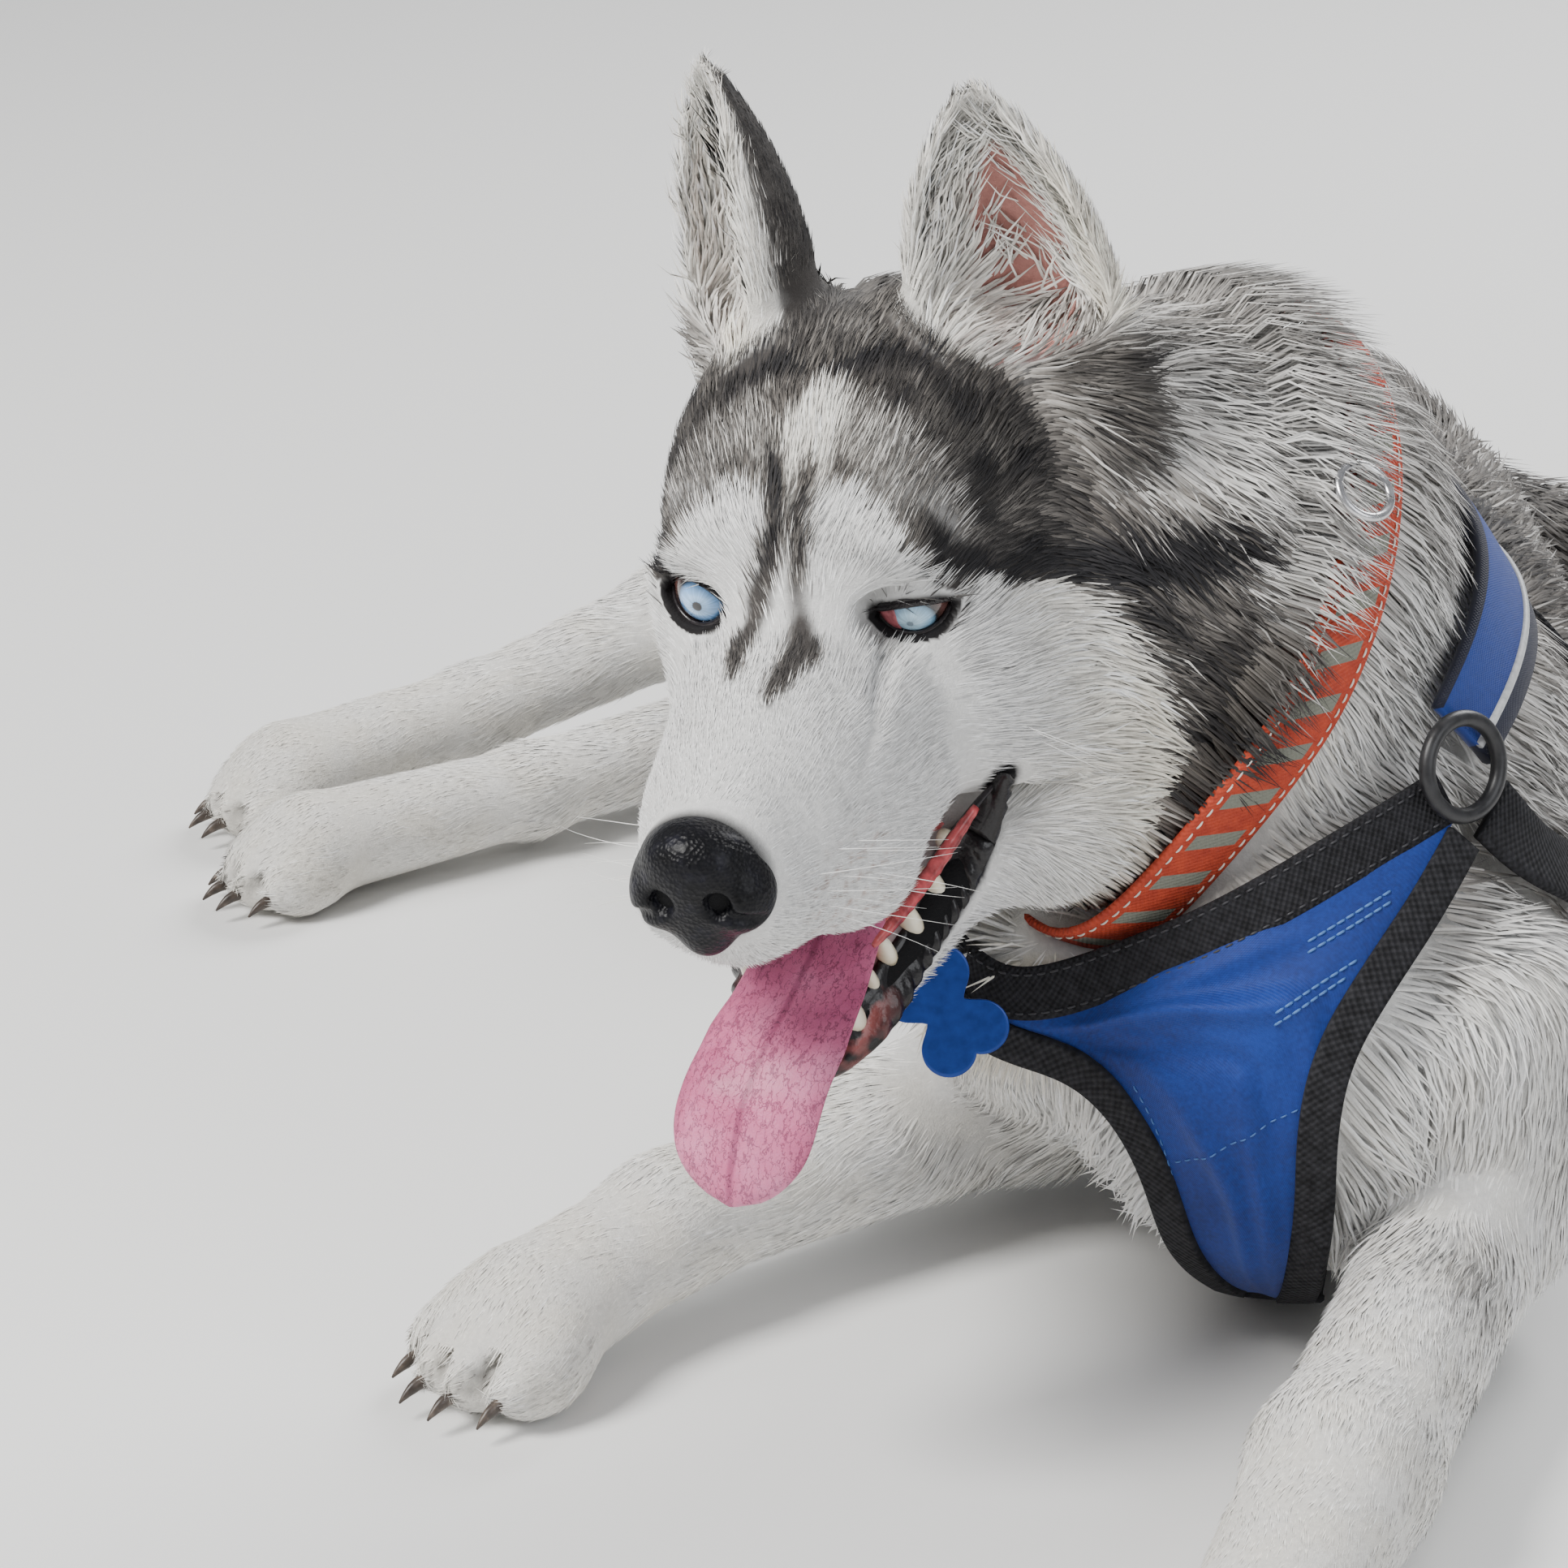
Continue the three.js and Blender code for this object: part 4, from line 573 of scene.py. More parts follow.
def refine(pts, tris, quads):
    """Splits the head's faces once, and those round the eyes and mouth again."""
    bm = bmesh.new()
    vs = [bm.verts.new(p) for p in pts]
    for f in tris:
        try:
            bm.faces.new([vs[i] for i in f])
        except ValueError:
            pass
    for f in quads:
        try:
            bm.faces.new([vs[i] for i in f])
        except ValueError:
            pass
    bm.normal_update()

    def where(test):
        bm.faces.ensure_lookup_table()
        C = np.array([f.calc_center_median() for f in bm.faces], F32)
        hit = np.nonzero(test(to_head(C)))[0]
        return [bm.faces[i] for i in hit]

    def fine(Q):
        return (Q[:, 1] < 72) & (Q[:, 2] > -150) & (Q[:, 2] < 60) & (np.abs(Q[:, 0]) < 75) | ((Q[:, 2] > 40) & (np.abs(Q[:, 0]) < 110) & (Q[:, 1] < 130) & (Q[:, 1] > 20))

    def finest(Q):
        out = np.zeros(len(Q), bool)
        for e in EYES.values():
            out |= np.linalg.norm(Q - e["at"] + np.array([0, 6, 0]), axis=1) < 22
        mouth = (np.abs(poly2(Q[:, 1], Q[:, 2], MOUTH)) < 6) & (np.abs(Q[:, 0]) < 48) & (Q[:, 1] < 20)
        return out | mouth

    for test in (fine, finest):
        faces = where(test)
        edges = list({e for f in faces for e in f.edges})
        bmesh.ops.subdivide_edges(bm, edges=edges, cuts=1, use_grid_fill=True)
    bmesh.ops.triangulate(bm, faces=[f for f in bm.faces if len(f.verts) > 4])
    bm.verts.ensure_lookup_table()
    bm.verts.index_update()
    V = np.array([v.co for v in bm.verts], F32)
    t = np.array([[v.index for v in f.verts] for f in bm.faces if len(f.verts) == 3], int).reshape(-1, 3)
    q = np.array([[v.index for v in f.verts] for f in bm.faces if len(f.verts) == 4], int).reshape(-1, 4)
    bm.free()
    return V, t, q


V, tris, quads = refine(pts, tris, quads)
tick(f"refined to {len(V)} points, {len(tris) + 2 * len(quads)} triangles")
Qv = to_head(V)
on_head = np.all((Qv > HEAD_REACH[0]) & (Qv < HEAD_REACH[1]), axis=1)
for _ in range(2):
    P = V[on_head]
    f = skin_field(P)
    G = gradient(skin_field, P, 0.4)
    g2 = np.maximum((G * G).sum(1), 0.15)
    V[on_head] = P - G * np.clip(f / g2, -1.2, 1.2)[:, None] * 0.9
tick("settled")
skin = mesh_object("skin", V, [tris, quads])
me = skin.data
tick("skin mesh")


# ---------------------------------------------------------------- helpers for swept pieces and materials
def sweep(path, normals, wide, thick, n=12, closed=False, wave=None):
    """Verts and faces of a tube of elliptical section along a path: half widths across, half thickness along the normal."""
    path = np.asarray(path, float)
    K = len(path)
    wide, thick = np.broadcast_to(wide, K).astype(float), np.broadcast_to(thick, K).astype(float)
    if closed:
        tan = np.roll(path, -1, 0) - np.roll(path, 1, 0)
    else:
        tan = np.gradient(path, axis=0)
    tan /= np.linalg.norm(tan, axis=1)[:, None]
    nn = np.asarray(normals, float)
    nn = nn - (nn * tan).sum(1)[:, None] * tan
    nn /= np.linalg.norm(nn, axis=1)[:, None]
    s = np.cross(nn, tan)
    a = np.arange(n) * 2 * np.pi / n
    off = s[:, None] * (np.cos(a)[None, :, None] * wide[:, None, None]) + nn[:, None] * (np.sin(a)[None, :, None] * thick[:, None, None])
    if wave is not None:
        off = off * wave(np.arange(K) / K, a)[..., None]
    V_ = (path[:, None] + off).reshape(-1, 3)
    i, k = np.meshgrid(np.arange(K if closed else K - 1), np.arange(n), indexing="ij")
    i, k = i.ravel(), k.ravel()
    j, k2 = (i + 1) % K, (k + 1) % n
    faces = np.stack([i * n + k, j * n + k, j * n + k2, i * n + k2], 1)
    caps = []
    if not closed:
        V_ = np.concatenate([V_, path[:1], path[-1:]])
        for k in range(n):
            k2 = (k + 1) % n
            caps.append([K * n, k, k2])
            caps.append([K * n + 1, (K - 1) * n + k2, (K - 1) * n + k])
    return V_, faces, np.array(caps, int).reshape(-1, 3)


def outward(ob):
    bm = bmesh.new()
    bm.from_mesh(ob.data)
    bmesh.ops.recalc_face_normals(bm, faces=bm.faces)
    bm.to_mesh(ob.data)
    bm.free()
    return ob


def catmull(points, n, closed=False):
    """n points at even spacing along a centripetal curve through some points (n + 1 where it is open)."""
    P_ = np.array(points, float)
    m = len(P_)
    if closed:
        ext = np.concatenate([P_[-1:], P_, P_[:2]])
        segs = m
    else:
        ext = np.concatenate([2 * P_[:1] - P_[1:2], P_, 2 * P_[-1:] - P_[-2:-1]])
        segs = m - 1
    out = []
    for i in range(segs):
        p0, p1, p2, p3 = ext[i : i + 4]
        t0 = 0.0
        t1 = t0 + max(np.linalg.norm(p1 - p0), 1e-6) ** 0.5
        t2 = t1 + max(np.linalg.norm(p2 - p1), 1e-6) ** 0.5
        t3 = t2 + max(np.linalg.norm(p3 - p2), 1e-6) ** 0.5
        t = np.linspace(t1, t2, 24, endpoint=False)[:, None]
        A1 = (t1 - t) / (t1 - t0) * p0 + (t - t0) / (t1 - t0) * p1
        A2 = (t2 - t) / (t2 - t1) * p1 + (t - t1) / (t2 - t1) * p2
        A3 = (t3 - t) / (t3 - t2) * p2 + (t - t2) / (t3 - t2) * p3
        B1 = (t2 - t) / (t2 - t0) * A1 + (t - t0) / (t2 - t0) * A2
        B2 = (t3 - t) / (t3 - t1) * A2 + (t - t1) / (t3 - t1) * A3
        out.append((t2 - t) / (t2 - t1) * B1 + (t - t1) / (t2 - t1) * B2)
    out = np.concatenate(out + [P_[:1] if closed else P_[-1:]])
    L_ = np.concatenate([[0], np.cumsum(np.linalg.norm(np.diff(out, axis=0), axis=1))])
    at = np.linspace(0, L_[-1], n + 1)[: n if closed else n + 1]
    return np.stack([np.interp(at, L_, out[:, k]) for k in range(3)], 1)


def head_object(name, Vq, faces):
    return outward(mesh_object(name, from_head(np.asarray(Vq, F32)), faces))


def finish_piece(ob, mat, slot_name, *nodes_):
    ob.data.materials.append(mat)
    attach(ob, "root")
    if nodes_:
        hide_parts(*nodes_)
    return ob


def nodes_of(name):
    m = bpy.data.materials.new(name)
    m.use_nodes = True
    nt = m.node_tree
    return m, nt, nt.nodes["Principled BSDF"]


def link(nt, a, b):
    nt.links.new(a, b)


def ramp(nt, stops, hard=False):
    r = nt.nodes.new("ShaderNodeValToRGB")
    e = r.color_ramp.elements
    if hard:
        r.color_ramp.interpolation = "CONSTANT"
    while len(e) > len(stops):
        e.remove(e[-1])
    while len(e) < len(stops):
        e.new(0.5)
    for k, (p, c) in enumerate(stops):
        e[k].position = p
        e[k].color = (*c, 1)
    return r


def noise_node(nt, scale, detail=3, rough=0.5, coord="Object"):
    co = nt.nodes.new("ShaderNodeTexCoord")
    n = nt.nodes.new("ShaderNodeTexNoise")
    n.inputs["Scale"].default_value = scale
    n.inputs["Detail"].default_value = detail
    n.inputs["Roughness"].default_value = rough
    link(nt, co.outputs[coord], n.inputs["Vector"])
    return n


def bump_node(nt, b, height, strength, distance, before=None):
    bp = nt.nodes.new("ShaderNodeBump")
    bp.inputs["Strength"].default_value = strength
    bp.inputs["Distance"].default_value = distance
    link(nt, height, bp.inputs["Height"])
    if before is not None:
        link(nt, before.outputs["Normal"], bp.inputs["Normal"])
    link(nt, bp.outputs["Normal"], b.inputs["Normal"])
    return bp


def maths(nt, op, a, b=None, c=None):
    n = nt.nodes.new("ShaderNodeMath")
    n.operation = op
    for i, v in enumerate((a, b, c)):
        if v is None:
            continue
        if isinstance(v, (int, float)):
            n.inputs[i].default_value = v
        else:
            link(nt, v, n.inputs[i])
    return n.outputs[0]


# ---------------------------------------------------------------- markings, shared by the skin and the coat
def noise3(P, scale, seed):
    """Smooth noise from -1 to 1 at a scale in mm, from a sum of turned waves."""
    r = np.random.default_rng(seed)
    out = np.zeros(len(P), F32)
    for _ in range(9):
        k = r.normal(size=3)
        k *= (2 * np.pi / scale) / np.linalg.norm(k) * r.uniform(0.6, 1.6)
        out += np.sin(P @ k.astype(F32) + r.uniform(0, 6.28)) * F32(0.33)
    return np.tanh(out)


CENTRE = np.array([0, 30, -20], F32)
CAP_EDGE = np.array([[0, 57], [8, 58], [14, 60], [31, 60], [41, 54], [44, 46], [46, 38], [59, 28], [74, 18.5], [83, 15], [90, 12.5], [98, 8.5], [101, 4], [180, -20]], float)
RING_IN = np.array([[-90, 90], [-55, 92], [-43, 94], [-32, 96], [-19, 97.5], [-7, 99], [2, 100], [9, 99], [13, 92], [19, 76]], float)
RING_OUT = np.array([[-90, 92], [-55, 94], [-45, 97], [-37, 101], [-29, 104], [-21, 106], [-12, 107], [-2, 108], [7, 111], [15, 114], [25, 118], [40, 125]], float)
BLAZE = [[3, 29], [11, 28], [13, 15], [12, 4], [8, -3], [2, -4], [-3, 3], [-3, 13], [0, 22]]
STREAKS = [
    (np.array([[-5, 5, 46], [-2, -9, 30], [-3, -12, 22], [-8, -17, 10], [-11, -28, 2], [-9, -40, 0]], F32), [3.6, 3.8, 4.2, 4.8, 5.8, 3.2]),
    (np.array([[6, 1, 43], [4, -7, 33], [5, -12, 23], [5, -16, 15], [7, -22, 7], [10, -29, 2], [8, -38, 2], [6, -51, -1]], F32), [3.4, 3.6, 3.8, 4.2, 5.2, 6.4, 5.2, 2.8]),
]


def from_line(Q, line, radii):
    """Distance to a line of points less its radius there."""
    best = np.full(len(Q), 1e6, F32)
    for i in range(len(line) - 1):
        a, b = line[i], line[i + 1]
        ba = b - a
        t = np.clip(((Q - a) @ ba) / (ba @ ba), 0, 1)
        d = np.linalg.norm(Q - a - t[:, None] * ba, axis=1) - (radii[i] + (radii[i + 1] - radii[i]) * t)
        best = np.minimum(best, d)
    return best


def soft(d, w):
    """1 inside, 0 outside, over a width w."""
    return np.clip(0.5 - d / (2 * w), 0, 1)


def markings(P, W, d, Q, jitter=1.0):
    """How dark (0 to 1), how warm (0 to 1) and how pink (0 to 1) the coat and skin are at each point."""
    n1, n2 = noise3(P, 26, 11), noise3(P, 9, 12)
    C = Q - CENTRE
    phi = np.degrees(np.arctan2(C[:, 0], -C[:, 1]))
    th = np.degrees(np.arctan2(C[:, 2], np.hypot(C[:, 0], C[:, 1])))
    ap = np.abs(phi)
    edge = np.interp(ap, CAP_EDGE[:, 0], CAP_EDGE[:, 1])
    above = th - edge + n2 * 1.5 * jitter
    cap = step01(above, -1.2, 1.6)
    band = step01(ap, 46, 60) * (1 - step01(above, 7, 17))
    front_rim = (1 - step01(above, 2, 9)) * step01(ap, 12, 24)
    crown = step01(ap, 25, 70) * 0.03 + 0.26 * step01(Q[:, 2], 48, 60) + 0.20 * step01(ap, 84, 98) * (above > 0)
    dark_head = cap * (0.53 + 0.36 * band + 0.16 * front_rim + crown + 0.08 * n1 + 0.05 * n2)
    dark_head = dark_head * (1 - 0.16 * soft(np.hypot(Q[:, 0] - 22, (Q[:, 1] - 22)) - 14, 8) * (Q[:, 2] > 20))
    inner = np.interp(th, RING_IN[:, 0], RING_IN[:, 1])
    outer_ = np.interp(th, RING_OUT[:, 0], RING_OUT[:, 1])
    wob = n2 * 1.0 * jitter
    ring = step01(ap + wob, inner - 2.2, inner + 2.2) * (1 - step01(ap + wob, outer_ - 2, outer_ + 5)) * step01(th, -62, -36)
    dark_head = np.maximum(dark_head, ring * (0.80 + 0.08 * n1 + 0.06 * n2))
    dist = np.linalg.norm(C, axis=1)
    zone = (1 - step01(ap, outer_, outer_ + 6)) * (1 - step01(dist, 152, 172))
    behind = step01(ap, outer_ + 1, outer_ + 9)
    low = 1 - step01(th, -38, -18)
    sides = 0.20 + 0.10 * n1 + 0.07 * n2
    nape = step01(th, 28, 62) * 0.22
    dark_back = np.clip(sides + nape, 0, 1) * (1 - low * 0.75)
    dark_head = dark_head * (1 - behind) + np.maximum(dark_back, dark_head * 0.75 * (th > 8)) * behind
    blaze = soft(poly2(Q[:, 0] + n2, Q[:, 1], BLAZE), 1.8) * (Q[:, 2] > 28)
    dark_head = dark_head * (1 - blaze)
    for line, radii in STREAKS:
        s = soft(from_line(Q + np.stack([n2 * 0.7 * jitter, n1 * 0, n2 * 0], 1), line, radii), 1.8)
        dark_head = np.maximum(dark_head, s * (0.80 + 0.14 * step01(Q[:, 2], 6, 24)))
    # faint shading under and inside the eyes
    for side in (1, -1):
        M = Q * np.array([side, 1, 1], F32)
        lo = from_line(M, np.array([[24, -18, -6], [36, -8, -15], [50, 4, -20], [60, 14, -22]], F32), [2, 3, 4, 3])
        dark_head = np.maximum(dark_head, soft(lo, 7) * 0.26)
        hi = from_line(M, np.array([[21, -12, 12], [27, -10, 14]], F32), [2, 2])
        dark_head = np.maximum(dark_head, soft(hi, 6) * 0.34)
    e = EYES["left"]
    f, ou, up = eye_axes(e)
    R_ = Q - e["at"]
    flat_ = np.stack([R_ @ ou, R_ @ up, np.zeros(len(Q))], 1).astype(F32)
    smudge = from_line(flat_, np.array([[-e["half"] - 9, 2, 0], [-e["half"] - 3, -1.5, 0], [-5, -e["low"] - 3, 0]], F32), [2.0, 3.0, 1.6])
    dark_head = np.maximum(dark_head, soft(smudge, 3.0) * 0.58 * (R_ @ f > 0) * (np.linalg.norm(R_, axis=1) < EYE_R + 17))
    rim = np.full(len(Q), 0.0, F32)
    for e in EYES.values():
        o, fwd = lid_opening(Q, e)
        near_eye = np.linalg.norm(Q - e["at"], axis=1) < EYE_R + 4.6
        rim = np.maximum(rim, soft(o - 2.2, 1.2) * near_eye)
        f, ou, up = eye_axes(e)
        s = from_line(Q, np.array([e["at"] - ou * e["half"] + f * 10, e["at"] - ou * (e["half"] + 6) + f * 12 - up * 2.5], F32), [2.6, 1.2])
        rim = np.maximum(rim, soft(s, 1.4) * near_eye)
        s = from_line(Q, np.array([e["at"] + ou * e["half"] + f * 9, e["at"] + ou * (e["half"] + 5.5) + f * 6 + up * 2.4], F32), [2.0, 0.8])
        rim = np.maximum(rim, soft(s, 1.2) * near_eye)
    dark_head = np.maximum(dark_head, rim * 0.97)
    # ears: dark behind and at the rim, cream and pink within
    pink = np.zeros(len(Q), F32)
    cream = np.zeros(len(Q), F32)
    for name, e in EARS.items():
        o, i, U, V, s, H, hw = ear_parts(Q, e)
        on = step01(-np.maximum(o, -40), -9, -1) * step01(H - s, -2, 14) * (np.abs(V) < 60)
        inside = soft(i - 3.2, 1.6)
        front = np.clip(inside + step01(V / np.maximum(hw, 2), -0.12, 0.12) * soft(i - 6.5, 2.0), 0, 1)
        edge_d = soft(-(s - 7), 4) * 0
        back = 0.84 + 0.08 * n2 - 0.30 * step01(H - s, 26, 2) * (0.5 + 0.5 * n1)
        val = back * (1 - front) + 0.05 * front
        val = np.maximum(val, 0.75 * soft(s - 2.5, 2.0))
        val = np.where(front > 0.5, np.maximum(val * 0.6, 0.7 * soft(s - 3, 2.0)), val)
        dark_head = dark_head * (1 - on) + val * on
        val = np.where(front > 0.5, np.maximum(val, 0.55 * soft(np.abs(np.abs(U) - hw * 0.86) - 1.0, 1.5) * (U * e["yaw"] > 0)), val)
        pink = np.maximum(pink, on * soft(i + 1.0, 3.0) * step01(s, 22, 40) * soft(np.abs(U - 3 * np.sign(U)) - hw * 0.42, 5))
        cream = np.maximum(cream, on * front)
    warm_head = 0.55 * cap * soft(np.hypot(Q[:, 0] - 6, Q[:, 1] - 8) - 24, 14) + 0.5 * cream
    warm_head = np.maximum(warm_head, 0.5 * step01(Q[:, 1], 0, 40) * (1 - cap) * step01(-Q[:, 2], 20, 60))
    # neck, trunk, tail and legs
    zt = P[:, 2]
    side_x = P[:, 0] - 60
    top = step01(zt + n1 * 16, 70, 150)
    dark_trunk = 0.10 + 0.50 * top + 0.28 * step01(zt + n1 * 10, 150, 196) + 0.12 * n2 * top
    chest = step01(-P[:, 1] - zt * 0.1, 150, 190) * (1 - step01(zt, 150, 230))
    dark_trunk = dark_trunk * (1 - 0.85 * chest)
    # the neck's own axis: dark over the nape, pale at the throat
    A0, A1 = np.array([78, -85, 164], F32), np.array([-10, -140, 252], F32)
    ax = (A1 - A0) / np.linalg.norm(A1 - A0)
    rel = P - A0
    rel = rel - (rel @ ax)[:, None] * ax
    backward = unit(np.array([0.45, 0.78, 0.43]))
    backward = backward - (backward @ ax) * ax
    ang = rel @ (backward / np.linalg.norm(backward)).astype(F32) / np.maximum(np.linalg.norm(rel, axis=1), 1)
    dark_neck = 0.06 + 0.20 * step01(ang, -0.55, 0.1) + 0.20 * step01(ang, 0.35, 0.85) + 0.09 * n2 * step01(ang, -0.4, 0.2)
    withers = soft(np.linalg.norm(P - np.array([100, -52, 246], F32), axis=1) - 34, 14)
    dark_neck = np.maximum(dark_neck, withers * (0.62 + 0.2 * n1))
    patch = soft(np.linalg.norm((P - np.array([70, -62, 262], F32)) / np.array([1, 1, 1], F32), axis=1) - 34, 16)
    dark_neck = dark_neck * (1 - 0.7 * patch)
    tail_top = step01(zt + n1 * 8, 34, 62)
    dark_tail = 0.10 + 0.62 * tail_top + 0.1 * n2
    tip = soft(np.linalg.norm(P - np.array([262, 285, 28], F32), axis=1) - 42, 14)
    dark_tail = np.maximum(dark_tail, 0.8 * tip)
    dark_leg = np.zeros(len(P), F32)
    for n in LEGS:
        a = np.array(LEGS[n][0][1], F32)
        if n.startswith("hind"):
            v = 0.55 * step01(zt + n1 * 10, 96, 150)
            v = v + 0.10 * (0.5 + 0.5 * n1)
        elif n == "foreleg_left":
            v = 0.42 * soft(np.linalg.norm(P - np.array([156, -228, 64], F32), axis=1) - 17, 13) + 0.30 * soft(np.linalg.norm(P - np.array([176, -150, 90], F32), axis=1) - 30, 20) + 0.40 * step01(zt, 86, 130) * step01(P[:, 1], -170, -120)
        else:
            v = 0.34 * soft(np.linalg.norm(P - np.array([-14, -140, 60], F32), axis=1) - 30, 20)
        dark_leg = dark_leg + W[n] * (v + 0.05 * np.maximum(n2, 0))
    wl = sum(W[n] for n in LEGS)
    # painted shade: the legs' fur and skin are darkened along the grooves between the toes
    gaps = np.full(len(P), 50.0, F32)
    low_ = zt < 60
    if low_.any():
        for a, b_, r in TOE_GAPS:
            gaps[low_] = np.minimum(gaps[low_], from_line(P[low_], np.array([a, b_], F32), [r, r * 0.6]))
    dark_leg = np.maximum(dark_leg, wl * soft(gaps - 1.2, 2.2) * 0.42)
    rest = W["trunk"] * dark_trunk + W["neck"] * dark_neck + W["tail"] * dark_tail + dark_leg
    face = np.maximum(W["head"], zone)
    dark = face * dark_head + (1 - face) * rest / np.maximum(1 - W["head"], 1e-3)
    warm = face * warm_head + 0.45 * (1 - step01(dark, 0.1, 0.3)) * step01(ap, 62, 90) * zone + 0.35 * wl * (0.5 + 0.5 * n1) + 0.25 * (W["trunk"] + W["neck"]) * (0.5 + 0.5 * n1) + 0.5 * wl * paw_near(P) * 0.6
    rim = rim * W["head"]
    return np.clip(dark, 0, 1), np.clip(warm, 0, 1), pink * W["head"], rim


WHITE = np.array([0.86, 0.855, 0.84])
CREAM = np.array([0.84, 0.77, 0.62])
PALE = np.array([0.60, 0.585, 0.56])
BROWN = np.array([0.30, 0.25, 0.20])
BLACK = np.array([0.014, 0.014, 0.016])
PINK = np.array([0.56, 0.31, 0.30])


def mix(a, b, t):
    t = np.asarray(t)[:, None]
    return a * (1 - t) + b * t


def coat_colours(dark, warm, rnd):
    """Root, middle and tip colours: grey hair is pale or brown at the root and black at the tip."""
    pale = mix(WHITE, CREAM, warm * 0.75)
    grey_root = mix(PALE, BROWN, np.clip(0.25 + 0.75 * dark + 0.3 * warm - 0.2, 0, 1))
    k = step01(dark, 0.05, 0.45)
    root = mix(pale, grey_root, k)
    # a lock is wholly pale or wholly black tipped, more often black where the coat is darker
    black_tip = step01(dark * 1.25 + (rnd - 0.5) * 0.75 * np.clip(dark * 7, 0.15, 1), 0.28, 0.62)
    tip = mix(mix(pale, PALE[None] * np.ones((len(dark), 1)), k * 0.5), np.ones((len(dark), 1)) * BLACK, black_tip)
    full = step01(dark, 0.62, 0.95)
    root = mix(root, BLACK * 2.2, full * 0.92)
    middle = mix(root, tip, np.clip(0.35 + 0.45 * dark, 0, 1))
    return root, middle, tip


def bare_ear(Q):
    """1 in the bare middle of each ear."""
    out = np.zeros(len(Q), F32)
    for e in EARS.values():
        o, i, U, V_, s, H, hw = ear_parts(Q, e)
        u0 = hw * 0.12 * (1 if e["yaw"] > 0 else -1)
        out = np.maximum(out, soft(np.hypot((U - u0) / np.maximum(hw * 0.50, 1), (s - 62) / 40) - 1, 0.14) * soft(i - 2.6, 1.5) * step01(-o, -9, -1))
    return out


def follicles(Q):
    """Small brown spots where the whiskers grow."""
    x, y, z = np.abs(Q[:, 0]), Q[:, 1], Q[:, 2]
    row = np.round((z + 60) / 6.5)
    zz = z + 60 - row * 6.5
    yy = y + row * 1.7
    yy = yy - np.round(yy / 6.0) * 6.0
    zone = step01(-y, 52, 62) * (1 - step01(-y, 90, 98)) * step01(-z, 32, 38) * (1 - step01(-z, 62, 68)) * (x > 12)
    return soft(np.hypot(yy, zz) - 1.15, 0.6) * zone


def skin_colour(dark, warm, pink, rim):
    c = mix(mix(WHITE * 0.74, CREAM * 0.72, warm * 0.7), np.ones((len(dark), 1)) * np.array([0.055, 0.05, 0.047]), step01(dark, 0.08, 0.75))
    c = mix(c, np.ones((len(dark), 1)) * PINK, pink)
    return mix(c, np.ones((len(dark), 1)) * np.array([0.012, 0.011, 0.012]), rim)


# ---------------------------------------------------------------- collar and harness
def wear_field(P):
    return np.maximum(outer(P), -60 - P[:, 2])


def settle(P, off, low=None, steps=8):
    """Moves points to a level off the coat, and gives their normals."""
    P = np.array(P, F32)
    for _ in range(steps):
        G = gradient(wear_field, P, 0.6)
        P = P - G * ((wear_field(P) - off) / np.maximum((G * G).sum(1), 0.05) * 0.9)[:, None]
    N = gradient(wear_field, P, 0.6)
    N /= np.maximum(np.linalg.norm(N, axis=1), 1e-6)[:, None]
    if low is not None:
        k = P[:, 2] < low
        P[k, 2] = low
        N[k] = (0, 0, -1)
    return P.astype(float), N.astype(float)


def fair(A, k, closed):
    for _ in range(k):
        B = 0.5 * A + 0.25 * (np.roll(A, 1, 0) + np.roll(A, -1, 0))
        if not closed:
            B[0], B[-1] = A[0], A[-1]
        A = B
    return A


def wear_path(points, step, off, low=None, closed=False, smooth=14):
    c = catmull(points, 60, closed)
    L_ = np.linalg.norm(np.diff(c, axis=0), axis=1).sum()
    n = max(int(L_ / step), 6)
    P_, N_ = settle(catmull(points, n, closed), off, low)
    P_, N_ = fair(P_, smooth, closed), fair(N_, smooth, closed)
    if low is not None:
        P_[:, 2] = np.maximum(P_[:, 2], low)
    N_ /= np.linalg.norm(N_, axis=1)[:, None]
    return P_, N_


def web_attribute(ob, uvw):
    a = ob.data.attributes.new("web", "FLOAT_VECTOR", "POINT")
    a.data.foreach_set("vector", np.asarray(uvw, F32).ravel())


SECTION = np.array([[x, 1.0] for x in np.linspace(-0.93, 0.93, 9)] + [[1, 0.45], [1, -0.45]] + [[x, -1.0] for x in np.linspace(0.93, -0.93, 7)] + [[-1, -0.45], [-1, 0.45]])


